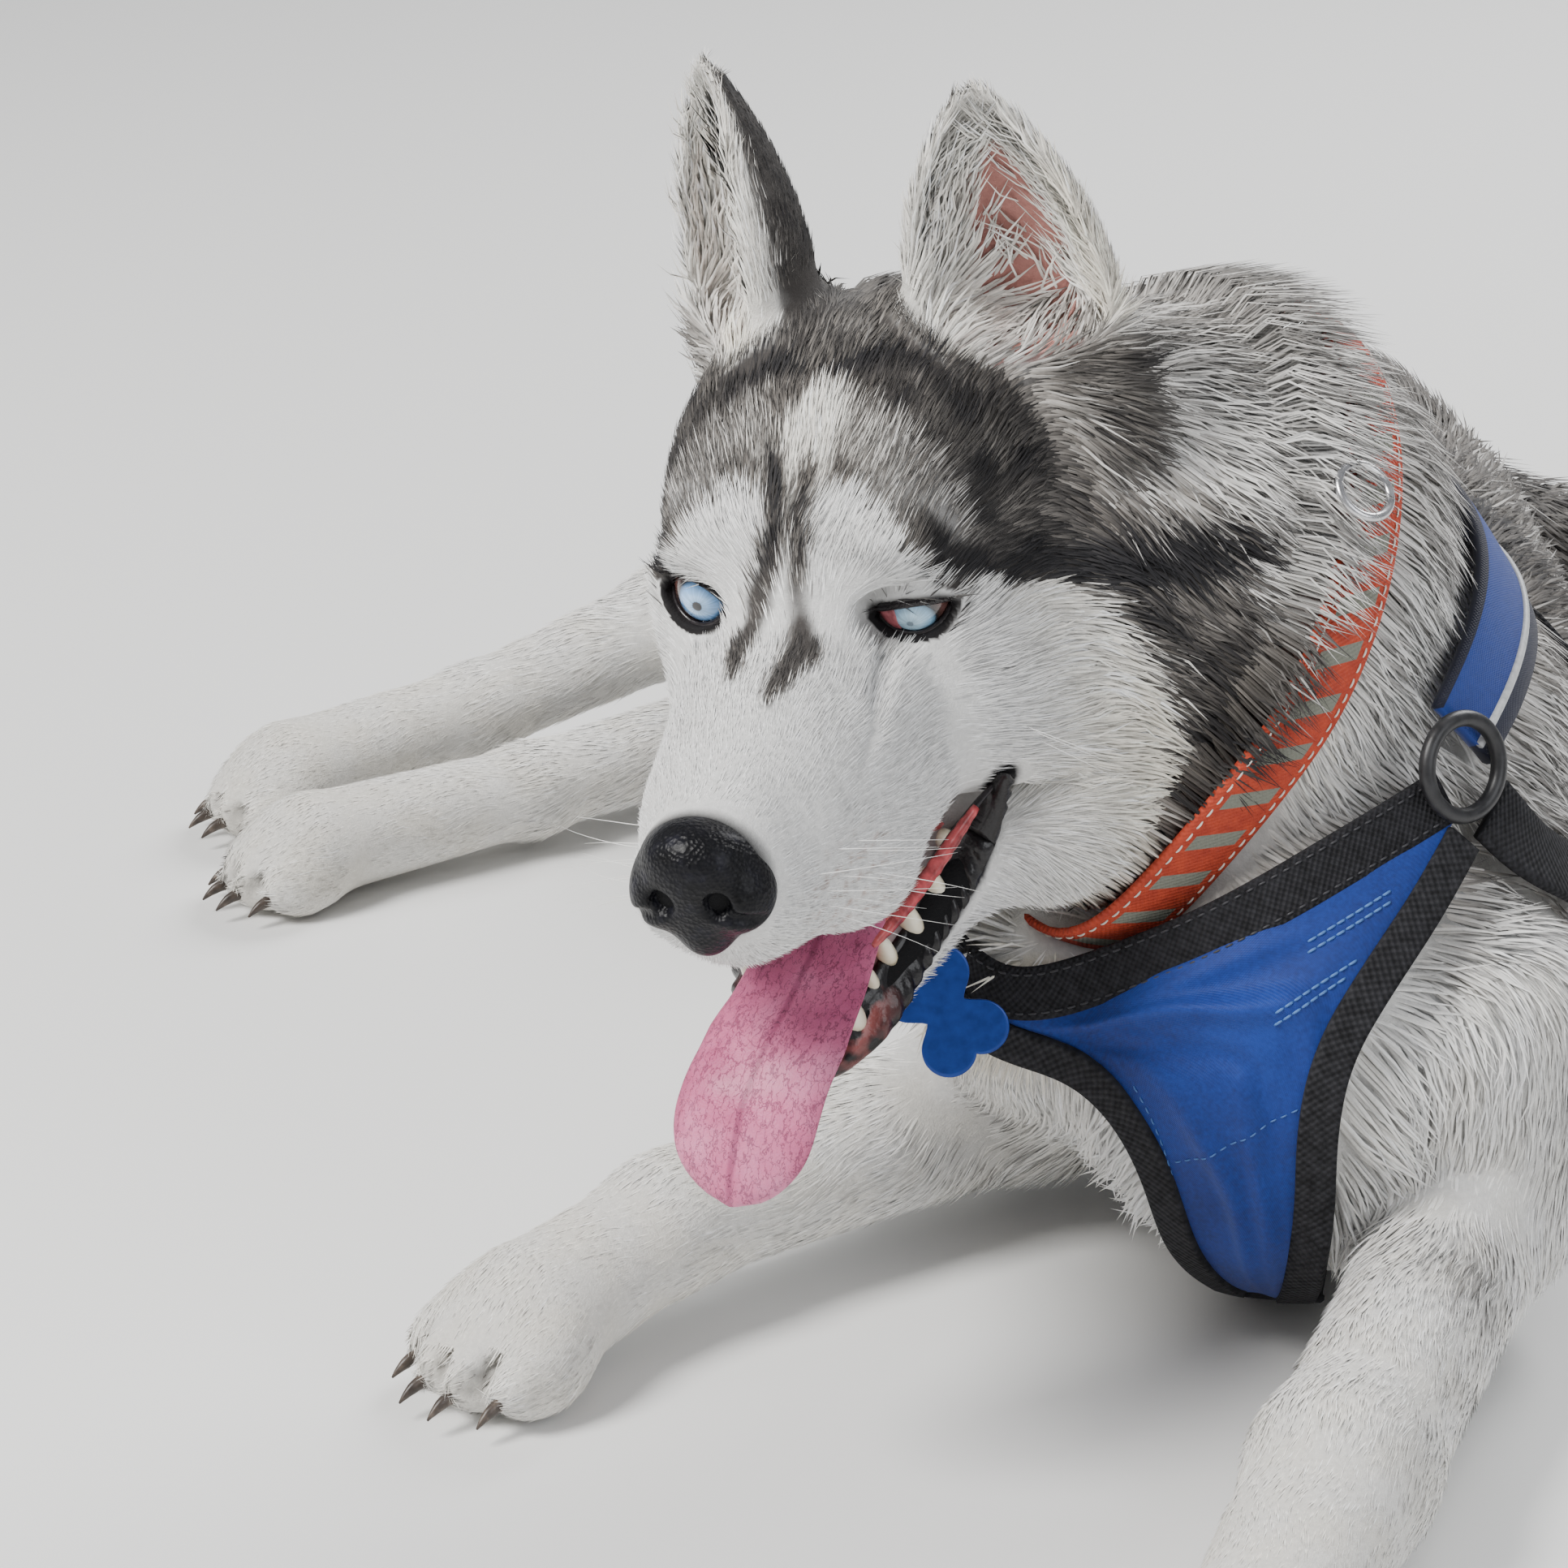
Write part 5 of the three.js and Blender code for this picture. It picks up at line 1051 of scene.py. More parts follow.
def band(name, P_, N_, width, thick, closed=False, curl=0.0, sway=None):
    """A strap: a rounded flat section along a path. Attribute web holds the place along it and across it."""
    K = len(P_)
    tan = (np.roll(P_, -1, 0) - np.roll(P_, 1, 0)) if closed else np.gradient(P_, axis=0)
    tan /= np.linalg.norm(tan, axis=1)[:, None]
    nn = N_ - (N_ * tan).sum(1)[:, None] * tan
    nn /= np.linalg.norm(nn, axis=1)[:, None]
    s = np.cross(nn, tan)
    w = np.broadcast_to(np.asarray(width, float) / 2, K)
    n = len(SECTION)
    x, y = SECTION[:, 0], SECTION[:, 1]
    off = s[:, None] * (x[None] * w[:, None])[..., None] + nn[:, None] * (y[None] * thick / 2 - curl * (x**2)[None] * w[:, None])[..., None]
    if sway is not None:
        off = off + nn[:, None] * sway(np.arange(K)[:, None], x[None])[..., None]
    V_ = (P_[:, None] + off).reshape(-1, 3)
    i, k = np.meshgrid(np.arange(K if closed else K - 1), np.arange(n), indexing="ij")
    i, k = i.ravel(), k.ravel()
    j, k2 = (i + 1) % K, (k + 1) % n
    f = np.stack([i * n + k, j * n + k, j * n + k2, i * n + k2], 1)
    along = np.concatenate([[0], np.cumsum(np.linalg.norm(np.diff(P_, axis=0), axis=1))]) / 100
    uvw = np.stack([np.repeat(along, n), np.tile(x, K), np.tile(y, K)], 1)
    caps = []
    if not closed:
        for e0, order in ((0, 1), ((K - 1) * n, -1)):
            ring = [e0 + q for q in range(n)][::order]
            top, bot = list(range(0, 9)), list(range(17, 10, -1))
            c0 = len(V_)
            V_ = np.concatenate([V_, P_[:1] if e0 == 0 else P_[-1:]])
            uvw = np.concatenate([uvw, [[along[0] if e0 == 0 else along[-1], 0, 0]]])
            for q in range(n):
                caps.append([c0, ring[q], ring[(q + 1) % n]])
    V_[:, 2] = np.maximum(V_[:, 2], 0.3)
    ob = outward(mesh_object(name, V_, [f, np.array(caps, int).reshape(-1, 3)]))
    web_attribute(ob, uvw)
    return ob


def web_nodes(nt):
    at = nt.nodes.new("ShaderNodeAttribute")
    at.attribute_name = "web"
    sep = nt.nodes.new("ShaderNodeSeparateXYZ")
    link(nt, at.outputs["Vector"], sep.inputs[0])
    return at, sep.outputs[0], sep.outputs[1], sep.outputs[2]


def weave_height(nt, u, v, per_u, per_v):
    """Ribs along and across, in mm."""
    a = maths(nt, "SINE", maths(nt, "MULTIPLY", u, 2 * math.pi * 100 / per_u))
    b_ = maths(nt, "SINE", maths(nt, "MULTIPLY", v, 2 * math.pi / per_v))
    return maths(nt, "MULTIPLY", a, b_), a, b_


def webbing_material(name, c0, c1, rough=0.8, per_u=2.2, per_v=0.28):
    m, nt, b = nodes_of(name)
    at, u, v, w = web_nodes(nt)
    h, a, b_ = weave_height(nt, u, v, per_u, per_v)
    nz = noise_node(nt, 350, 4)
    # painted shade: the colour follows the weave's height, darker in its hollows and lighter on its ribs, over a noise
    # in tone
    mixed = maths(nt, "ADD", maths(nt, "MULTIPLY", h, 0.18), nz.outputs["Fac"])
    r = ramp(nt, [(0.25, c0), (0.8, c1)])
    link(nt, mixed, r.inputs["Fac"])
    link(nt, r.outputs["Color"], b.inputs["Base Color"])
    b.inputs["Roughness"].default_value = rough
    b.inputs["Specular IOR Level"].default_value = 0.25
    bump_node(nt, b, h, 0.7, 0.0005)
    return m


# collar: where a plane across the neck meets its coat
CN = unit([-0.6, -0.62, 0.5])
CAT = np.array([27, -126, 223.0])


def collar_path(n=150, sink=-1.2):
    u = unit(np.cross(CN, [0, 0, 1]))
    v = np.cross(CN, u)
    a = np.arange(n) * 2 * np.pi / n
    D_ = u * np.cos(a)[:, None] + v * np.sin(a)[:, None]
    r_ = np.full(n, 40.0)
    for _ in range(70):
        r_ = r_ + 0.8 * (sink - trunk_neck((CAT + D_ * r_[:, None]).astype(F32)))
    P_ = CAT + D_ * r_[:, None]
    G = gradient(trunk_neck, P_.astype(F32), 0.6).astype(float)
    G -= (G @ CN)[:, None] * CN
    return P_, G / np.linalg.norm(G, axis=1)[:, None]


COLLAR_P, COLLAR_N = collar_path()
collar = band("collar_webbing", COLLAR_P, COLLAR_N, 24.0, 2.6, True, 0.02)
m, nt, b = nodes_of("collar")
at, u, v, w = web_nodes(nt)
h, a_, b_ = weave_height(nt, u, v, 1.9, 0.16)
nz = noise_node(nt, 260, 4)
base = ramp(nt, [(0.3, (0.36, 0.032, 0.012)), (0.7, (0.52, 0.058, 0.020))])
link(nt, nz.outputs["Fac"], base.inputs["Fac"])
# plain slanting bars in grey
bar = maths(nt, "FRACT", maths(nt, "ADD", maths(nt, "MULTIPLY", u, 100 / 17.0), maths(nt, "MULTIPLY", v, 0.42)))
bar_on = maths(nt, "MULTIPLY", maths(nt, "LESS_THAN", bar, 0.36), maths(nt, "LESS_THAN", maths(nt, "ABSOLUTE", v), 0.60))
g1 = nt.nodes.new("ShaderNodeMix")
g1.data_type = "RGBA"
link(nt, bar_on, g1.inputs[0])
link(nt, base.outputs["Color"], g1.inputs[6])
g1.inputs[7].default_value = (0.20, 0.205, 0.165, 1)
link(nt, g1.outputs[2], b.inputs["Base Color"])
b.inputs["Roughness"].default_value = 0.72
bump_node(nt, b, h, 0.6, 0.0004)
finish_piece(collar, m, "webbing_orange", "collar")

# harness
HW = 3.2
neckP, neckN = wear_path([[-20, -160, 138], [-14, -188, 128], [2, -206, 123], [36, -203, 135], [66, -204, 152], [100, -189, 173], [128, -163, 187]], 2.4, 1.9, smooth=40)
yokeP, yokeN = wear_path([[132, -150, 203], [139, -118, 222], [126, -72, 236], [90, -46, 240], [45, -42, 228], [2, -64, 196], [-22, -110, 160], [-20, -165, 136]], 2.6, 2.1, smooth=40)
girthP, girthN = wear_path([[78, -62, 1], [120, -48, 18], [158, -36, 66], [168, -22, 115], [146, -6, 170], [94, 4, 202], [38, -8, 192], [0, -30, 150], [-14, -52, 100], [-4, -66, 50], [30, -68, 14]], 2.8, 1.9, 2.1, True, 20)
bellyP, bellyN = wear_path([[86, -176, 22], [82, -150, 6], [80, -112, 1], [79, -80, 1]], 2.6, 1.9, 2.1, smooth=20)
backP, backN = wear_path([[92, -30, 222], [94, -12, 208], [94, -2, 204]], 1.6, 2.1, smooth=6)
sideP, sideN = wear_path([[138, -150, 178], [150, -135, 150], [165, -95, 130], [172, -52, 118], [171.5, -32, 116]], 2.6, 1.9, smooth=20)
edgeLP, edgeLN = wear_path([[131, -163, 172], [125, -183, 158], [114, -202, 140], [104, -212, 120], [101, -215, 97], [100, -208, 66], [92, -180, 20]], 2.2, 2.6, 2.1, smooth=30)
edgeRP, edgeRN = wear_path([[-16, -184, 122], [-8, -200, 114], [2, -206, 110], [25, -207, 105], [44, -211, 89], [54, -208, 69], [61, -196, 39], [72, -180, 20]], 2.2, 2.6, 2.1, smooth=30)

black_web = webbing_material("webbing_black", (0.004, 0.004, 0.005), (0.022, 0.022, 0.026))
edge_web = webbing_material("webbing_edge", (0.004, 0.004, 0.005), (0.028, 0.028, 0.032), per_u=2.6, per_v=0.5)
straps = []


def strap(name, P_, N_, width, mat, node, closed=False, thick=HW):
    ob = band(name, P_, N_, width, thick, closed, 0.03)
    finish_piece(ob, mat, "webbing_black", node)
    straps.append(ob)
    return ob


strap("neck_band_webbing", neckP, neckN, 17.0, black_web, "harness_neck_band")
strap("girth_webbing", girthP, girthN, 25.0, black_web, "harness_girth", True)
strap("belly_webbing", bellyP, bellyN, 30.0, black_web, "harness_belly_strap")
strap("back_webbing", backP, backN, 29.0, black_web, "harness_back_strap")
strap("side_webbing", sideP, sideN, 23.0, black_web, "harness_side_strap")
strap("edge_left_webbing", edgeLP, edgeLN, 12.5, edge_web, "harness_edge_left", thick=4.0)
strap("edge_right_webbing", edgeRP, edgeRN, 12.5, edge_web, "harness_edge_right", thick=4.0)

# yoke: a padded blue band, a light piping and a navy outer edge
K = len(yokeP)
yw = 46 * (0.62 + 0.38 * np.sin(np.pi * np.arange(K) / (K - 1)))
yoke = band("yoke_pad", yokeP, yokeN, yw, 4.6, False, 0.05)
m, nt, b = nodes_of("yoke")
at, u, v, w = web_nodes(nt)
vv_ = maths(nt, "ADD", maths(nt, "MULTIPLY", v, 0.5), 0.5)
nz = noise_node(nt, 420, 4)
r = ramp(nt, [(0.0, (0.002, 0.004, 0.020)), (0.30, (0.003, 0.006, 0.028)), (0.305, (0.005, 0.032, 0.215)), (0.93, (0.006, 0.038, 0.240)), (0.935, (0.002, 0.004, 0.020))])
link(nt, vv_, r.inputs["Fac"])
s_ = nt.nodes.new("ShaderNodeVectorMath")
s_.operation = "SCALE"
link(nt, r.outputs["Color"], s_.inputs[0])
link(nt, maths(nt, "ADD", maths(nt, "MULTIPLY", nz.outputs["Fac"], 0.5), 0.75), s_.inputs["Scale"])
link(nt, s_.outputs["Vector"], b.inputs["Base Color"])
b.inputs["Roughness"].default_value = 0.7
b.inputs["Sheen Weight"].default_value = 0.1
h, a_, b_ = weave_height(nt, u, v, 1.1, 0.05)
bump_node(nt, b, h, 0.35, 0.0003)
finish_piece(yoke, m, "fabric_blue", "harness_yoke")


def frame_along(P_, N_, closed=False):
    tan = (np.roll(P_, -1, 0) - np.roll(P_, 1, 0)) if closed else np.gradient(P_, axis=0)
    tan /= np.linalg.norm(tan, axis=1)[:, None]
    nn = N_ - (N_ * tan).sum(1)[:, None] * tan
    nn /= np.linalg.norm(nn, axis=1)[:, None]
    return tan, nn, np.cross(nn, tan)


tan, nn, s = frame_along(yokeP, yokeN)
pv, pf, pc = sweep(yokeP + s * (-0.40 * yw / 2)[:, None] + nn * 2.2, nn, 1.5, 1.3, 8)
piping = outward(mesh_object("yoke_piping", pv, [pf, pc]))
m, nt, b = nodes_of("piping")
nz = noise_node(nt, 500, 3)
r = ramp(nt, [(0.3, (0.42, 0.43, 0.44)), (0.7, (0.60, 0.61, 0.62))])
link(nt, nz.outputs["Fac"], r.inputs["Fac"])
link(nt, r.outputs["Color"], b.inputs["Base Color"])
b.inputs["Roughness"].default_value = 0.45
bump_node(nt, b, nz.outputs["Fac"], 0.3, 0.0003)
finish_piece(piping, m, "fabric_blue")

# panel: a sheet of cloth between the edges, with soft folds
NU, NV = 64, 84
A_, B_, T_ = catmull([[2, -206, 110], [25, -207, 105], [44, -211, 89], [54, -208, 69], [61, -196, 39], [72, -180, 20]], NV), catmull([[131, -163, 172], [125, -183, 158], [114, -202, 140], [104, -212, 120], [101, -215, 97], [100, -208, 66], [92, -180, 20]], NV), catmull([[2, -206, 117], [36, -203, 129], [66, -205, 146], [100, -190, 166], [131, -163, 181]], NU)
uu = np.linspace(0, 1, NU + 1)[None, :, None]
vv = np.linspace(0, 1, NV + 1)[:, None, None]
base = A_[:, None] * (1 - uu) + B_[:, None] * uu
flat0 = A_[0] * (1 - uu[0]) + B_[0] * uu[0]
base = base + (T_ - flat0)[None] * (1 - vv) ** 2
pP, pN = settle(base.reshape(-1, 3), 1.9, 2.1)
pP, pN = pP.reshape(NV + 1, NU + 1, 3), pN.reshape(NV + 1, NU + 1, 3)
uu, vv = uu[..., 0], vv[..., 0]
hold = np.sin(np.pi * np.clip(uu, 0, 1)) ** 0.6 * np.clip(np.minimum(vv * 9, 1), 0, 1)
fold = 0.0
for (u0, v0, du, dv, amp, wd) in ((0.16, 0.10, 1.0, 0.34, 2.6, 0.030), (0.10, 0.19, 1.0, 0.52, -1.6, 0.028), (0.30, 0.05, 1.0, 0.10, 1.7, 0.040), (0.55, 0.22, 1.0, 0.55, 2.0, 0.035), (0.42, 0.30, 1.0, 0.75, -1.3, 0.030), (0.35, 0.52, 1.0, 1.6, 1.3, 0.05), (0.62, 0.62, 1.0, 2.6, 1.1, 0.06)):
    l_ = math.hypot(du, dv)
    du, dv = du / l_, dv / l_
    a1 = (uu - u0) * du + (vv - v0) * dv
    b1 = -(uu - u0) * dv + (vv - v0) * du + 0.02 * np.sin(a1 * 9)
    fold = fold + amp * np.exp(-((b1 / wd) ** 2)) * np.exp(-((a1 / 0.30) ** 2))
fold = fold + 0.5 * np.sin(uu * 7 + vv * 5) * np.sin(vv * 9 + 1)
pP = pP + pN * (2.3 * fold * hold)[..., None]
pP[..., 2] = np.maximum(pP[..., 2], 1.6)
R_, C_ = NV + 1, NU + 1
th = 1.5
lay = np.concatenate([(pP - pN * th / 2).reshape(-1, 3), (pP + pN * th / 2).reshape(-1, 3)])
i, j = np.meshgrid(np.arange(R_ - 1), np.arange(C_ - 1), indexing="ij")
i, j = i.ravel(), j.ravel()
q0 = np.stack([i * C_ + j, i * C_ + j + 1, (i + 1) * C_ + j + 1, (i + 1) * C_ + j], 1)
fp = [q0[:, ::-1], q0 + R_ * C_]
rim = [(0, k) for k in range(C_ - 1)] + [(k, C_ - 1) for k in range(R_ - 1)] + [(R_ - 1, k) for k in range(C_ - 1, 0, -1)] + [(k, 0) for k in range(R_ - 1, 0, -1)]
rim = np.array([a * C_ + c for a, c in rim])
nx = np.roll(rim, -1)
fp.append(np.stack([rim, nx, nx + R_ * C_, rim + R_ * C_], 1))
panel = outward(mesh_object("harness_panel_cloth", lay, fp))
uvw = np.stack([np.broadcast_to(uu, (R_, C_)), np.broadcast_to(vv, (R_, C_)), np.zeros((R_, C_))], -1).reshape(-1, 3)
web_attribute(panel, np.concatenate([uvw, uvw]))
m, nt, b = nodes_of("panel")
at, u, v, w = web_nodes(nt)
n1_ = noise_node(nt, 26, 3)
n2_ = noise_node(nt, 700, 3)
mixn = maths(nt, "ADD", maths(nt, "MULTIPLY", n1_.outputs["Fac"], 0.6), maths(nt, "MULTIPLY", n2_.outputs["Fac"], 0.4))
r = ramp(nt, [(0.34, (0.0015, 0.014, 0.115)), (0.5, (0.0025, 0.024, 0.185)), (0.66, (0.004, 0.036, 0.250))])
link(nt, mixn, r.inputs["Fac"])
link(nt, r.outputs["Color"], b.inputs["Base Color"])
b.inputs["Roughness"].default_value = 0.62
b.inputs["Specular IOR Level"].default_value = 0.35
b.inputs["Sheen Weight"].default_value = 0.08
h = maths(nt, "MULTIPLY", maths(nt, "SINE", maths(nt, "MULTIPLY", u, 2 * math.pi * 95)), maths(nt, "SINE", maths(nt, "MULTIPLY", v, 2 * math.pi * 130)))
bp1 = bump_node(nt, b, h, 0.25, 0.0003)
bump_node(nt, b, noise_node(nt, 90, 3).outputs["Fac"], 0.25, 0.0012, bp1)
finish_piece(panel, m, "fabric_blue", "harness_panel")
cell_area = 0.0
d1_, d2_ = pP[1:, :-1] - pP[:-1, :-1], pP[:-1, 1:] - pP[:-1, :-1]
cell_area = float(np.linalg.norm(np.cross(d1_, d2_), axis=-1).sum() * 1e-6)


def on_panel(pts):
    """Points and normals of the panel's outer face at places (u, v)."""
    pts = np.clip(np.array(pts, float), 0, 0.999)
    x, y = pts[:, 0] * NU, pts[:, 1] * NV
    i0, j0 = y.astype(int), x.astype(int)
    fy, fx = (y - i0)[:, None], (x - j0)[:, None]
    f = lambda A: (A[i0, j0] * (1 - fx) + A[i0, j0 + 1] * fx) * (1 - fy) + (A[i0 + 1, j0] * (1 - fx) + A[i0 + 1, j0 + 1] * fx) * fy
    N_ = f(pN)
    return f(pP) + N_ * (th / 2), N_ / np.linalg.norm(N_, axis=1)[:, None]


def dashes(path, normals, dash, gap, r_, lift=0.1):
    """Short raised stitches along a path, as verts and faces."""
    L_ = np.concatenate([[0], np.cumsum(np.linalg.norm(np.diff(path, axis=0), axis=1))])
    out_v, out_f, n0 = [], [], 0
    t0 = 0.4
    while t0 + dash < L_[-1]:
        at_ = np.linspace(t0, t0 + dash, 5)
        p = np.stack([np.interp(at_, L_, path[:, k]) for k in range(3)], 1)
        q = np.stack([np.interp(at_, L_, normals[:, k]) for k in range(3)], 1)
        arch = np.array([-0.25, 0.15, 0.25, 0.15, -0.25])[:, None] * r_ * 1.6
        v_, f_, c_ = sweep(p + q * (lift + arch), q, r_ * np.array([0.7, 1, 1, 1, 0.7]), r_ * np.array([0.6, 0.9, 0.9, 0.9, 0.6]), 6)
        out_v.append(v_)
        out_f.append(np.concatenate([f_[:, [0, 1, 2]], f_[:, [0, 2, 3]], c_]) + n0)
        n0 += len(v_)
        t0 += dash + gap
    return np.concatenate(out_v), np.concatenate(out_f)


def stitch_piece(name, lines, colour, dash=2.6, gap=1.5, r_=0.36, slot_name="fabric_blue"):
    vs, fs, n0 = [], [], 0
    for p, q in lines:
        v_, f_ = dashes(p, q, dash, gap, r_)
        vs.append(v_)
        fs.append(f_ + n0)
        n0 += len(v_)
    ob = outward(mesh_object(name, np.concatenate(vs), [np.concatenate(fs)]))
    m, nt, b = nodes_of(name)
    nz = noise_node(nt, 900, 2)
    r = ramp(nt, [(0.3, tuple(c * 0.8 for c in colour)), (0.7, colour)])
    link(nt, nz.outputs["Fac"], r.inputs["Fac"])
    link(nt, r.outputs["Color"], b.inputs["Base Color"])
    b.inputs["Roughness"].default_value = 0.5
    finish_piece(ob, m, slot_name)
    return ob


tc = np.linspace(0, 1, 90)
rows_ = []
rows_.append(on_panel(np.stack([0.12 + 0.76 * tc, np.full(90, 0.50)], 1)))
rows_.append(on_panel(np.stack([np.full(90, 0.93), 0.30 + 0.66 * tc], 1)))
rows_.append(on_panel(np.stack([np.full(90, 0.085), 0.30 + 0.66 * tc], 1)))
panel_stitches = stitch_piece("panel_stitches", rows_, (0.06, 0.15, 0.40), 2.2, 1.6, 0.28)
tacks = []
for v0, u0, u1 in ((0.095, 0.66, 0.90), (0.125, 0.665, 0.90), (0.235, 0.60, 0.88), (0.265, 0.605, 0.88)):
    tacks.append(on_panel(np.stack([u0 + (u1 - u0) * tc, v0 + 0.02 * (1 - tc)], 1)))
panel_tacks = stitch_piece("panel_tacks", tacks, (0.07, 0.18, 0.46), 3.0, 0.4, 0.42)
tan, nn, s = frame_along(COLLAR_P, COLLAR_N, True)
col_lines = []
for k in (-0.78, 0.78):
    col_lines.append((COLLAR_P + s * 12.0 * k + nn * 1.2, nn))
stitch_piece("collar_stitches", col_lines, (0.78, 0.74, 0.66), 3.0, 2.0, 0.34, "webbing_orange")
tan, nn, s = frame_along(neckP, neckN)
stitch_piece("neck_band_stitches", [(neckP + s * 7.0 * k + nn * 1.45, nn) for k in (-0.86, 0.86)], (0.03, 0.03, 0.035), 2.6, 1.6, 0.34, "webbing_black")


def torus(name, at_, axis, R, r_, n=72, m_=16, squash=1.0):
    ax = unit(axis)
    u_ = unit(np.cross(ax, [0.1, 0.2, 1.0]))
    v_ = np.cross(ax, u_)
    a = np.arange(n) * 2 * np.pi / n
    d_ = u_ * np.cos(a)[:, None] + v_ * np.sin(a)[:, None]
    P_ = np.array(at_, float) + d_ * R * np.array([[1.0]]) * np.where(True, 1.0, 1.0)
    V_, F_, _ = sweep(P_, d_, r_ * squash, r_, m_, True)
    return outward(mesh_object(name, V_, [F_]))


def metal(name, c0, c1, rough, metallic=1.0):
    m, nt, b = nodes_of(name)
    nz = noise_node(nt, 300, 4)
    r = ramp(nt, [(0.3, c0), (0.7, c1)])
    link(nt, nz.outputs["Fac"], r.inputs["Fac"])
    link(nt, r.outputs["Color"], b.inputs["Base Color"])
    rr = maths(nt, "ADD", maths(nt, "MULTIPLY", nz.outputs["Fac"], 0.2), rough - 0.1)
    link(nt, rr, b.inputs["Roughness"])
    b.inputs["Metallic"].default_value = metallic
    bump_node(nt, b, noise_node(nt, 1800, 2).outputs["Fac"], 0.12, 0.0002)
    return m


loop = torus("harness_loop_ring", [133, -160, 196], [0.75, -0.6, 0.25], 15, 2.6, squash=1.0)
finish_piece(loop, metal("loop", (0.006, 0.006, 0.007), (0.02, 0.02, 0.022), 0.42, 0.0), "webbing_black", "harness_loop")
# the steel ring lies on the collar's front edge
ring_at = np.array([99, -164, 283.0])
near_c = int(np.argmin(((COLLAR_P - ring_at) ** 2).sum(1)))
gap_c = COLLAR_P[near_c] + COLLAR_N[near_c] * 3.2 - ring_at
ring_at = ring_at + gap_c * max(0.0, 1 - 14.0 / np.linalg.norm(gap_c))
cring = torus("collar_steel_ring", list(ring_at), [0.5, -0.4, 0.6], 9, 1.5)
finish_piece(cring, metal("steel", (0.50, 0.50, 0.51), (0.66, 0.66, 0.67), 0.28), "ring_steel", "collar_ring")

# tag: a flat bone
TAGA = np.array([-13, -226, 126.0])
tu = unit([0.62, -0.05, -0.78])
tf = np.array([0.2, -0.9, 0.35])
tn = unit(tf - (tf @ tu) * tu)
tw_ = np.cross(tn, tu)
xs_, ys_ = np.meshgrid(np.linspace(-21, 21, 169), np.linspace(-17, 17, 137), indexing="ij")


def bone2(x, y):
    L2, d2, R2 = 38 / 2 - 8.5, 8.5 * 0.72, 8.5
    lob = np.minimum(np.hypot(np.abs(x) - L2, np.abs(y) - d2) - R2, 1e6)
    bar_ = np.maximum(np.abs(y) - 5.9, np.abs(x) - L2)
    return smin(lob, bar_, 6)


ang = np.linspace(0, 2 * np.pi, 181)[:-1]
prof = []
for a in ang:
    rr = np.linspace(0, 24, 481)
    dd = bone2(rr * math.cos(a), rr * math.sin(a))
    inside = np.nonzero(dd < 0)[0]
    prof.append(rr[inside[-1]])
prof = np.array(prof)
ring_z = [(-0.8, 0.93), (-0.8, 0.985), (-0.55, 1.0), (0.55, 1.0), (0.8, 0.985), (0.8, 0.93)]
tv_, tf_ = [], []
n = len(ang)
for z, k in ring_z:
    tv_.append(TAGA + tu * (np.cos(ang) * prof * k)[:, None] + tw_ * (np.sin(ang) * prof * k)[:, None] + tn * z)
tv_ = np.concatenate(tv_ + [[TAGA - tn * 0.8], [TAGA + tn * 0.8]])
for i_ in range(len(ring_z) - 1):
    k = np.arange(n)
    tf_.append(np.stack([i_ * n + k, i_ * n + (k + 1) % n, (i_ + 1) * n + (k + 1) % n, (i_ + 1) * n + k], 1))
k = np.arange(n)
capt = np.concatenate([np.stack([np.full(n, len(ring_z) * n), (k + 1) % n, k], 1), np.stack([np.full(n, len(ring_z) * n + 1), (len(ring_z) - 1) * n + k, (len(ring_z) - 1) * n + (k + 1) % n], 1)])
tagp = outward(mesh_object("tag_plate", tv_, [np.concatenate(tf_), capt]))
finish_piece(tagp, metal("tag", (0.004, 0.030, 0.20), (0.006, 0.045, 0.28), 0.36, 0.35), "tag_blue", "tag")
tick("gear")
GEAR_PIECES = straps + [yoke, panel, collar, loop]

# ---------------------------------------------------------------- claws
claw_m, nt, b = nodes_of("claw")
nz = noise_node(nt, 260, 4)
r = ramp(nt, [(0.25, (0.020, 0.014, 0.011)), (0.55, (0.060, 0.045, 0.036)), (0.8, (0.16, 0.125, 0.10))])
link(nt, nz.outputs["Fac"], r.inputs["Fac"])
link(nt, r.outputs["Color"], b.inputs["Base Color"])
b.inputs["Roughness"].default_value = 0.4
bump_node(nt, b, nz.outputs["Fac"], 0.35, 0.0004)
for nm, p in PAWS.items():
    d_ = unit(np.array(p["d"] + [0], float))
    l_ = np.array([-d_[1], d_[0], 0])
    for i_, o in enumerate((-1.5, -0.5, 0.5, 1.5)):
        c = np.array(p["c"], float) + l_ * o * p["gap"] * 0.92 + d_ * (p["reach"] - (5 if abs(o) > 1 else -3))
        b0 = np.array([c[0], c[1], p["r"][2] * 0.72]) + d_ * (p["r"][1] * 0.82)
        dr = unit(d_ + l_ * o * 0.05 + np.array([0, 0, -0.18]))
        t = np.linspace(-5, 9, 15)
        path_ = b0 + dr * t[:, None] + np.array([0, 0, -1.0]) * (3.0 * (np.maximum(t, 0) / 9) ** 2)[:, None]
        rad = np.interp(t, [-5, 0, 4, 7, 9], [2.5, 2.45, 1.95, 1.1, 0.35])
        path_[:, 2] = np.maximum(path_[:, 2], rad + 0.3)
        V_, F_, C_ = sweep(path_, np.tile([[0, 0, 1.0]], (15, 1)), rad * 0.82, rad, 14)
        finish_piece(outward(mesh_object(f"claw_horn_{nm}_{i_ + 1}", V_, [F_, C_])), claw_m, "claw_horn", f"claw_{nm}_{i_ + 1}")
tick("claws")


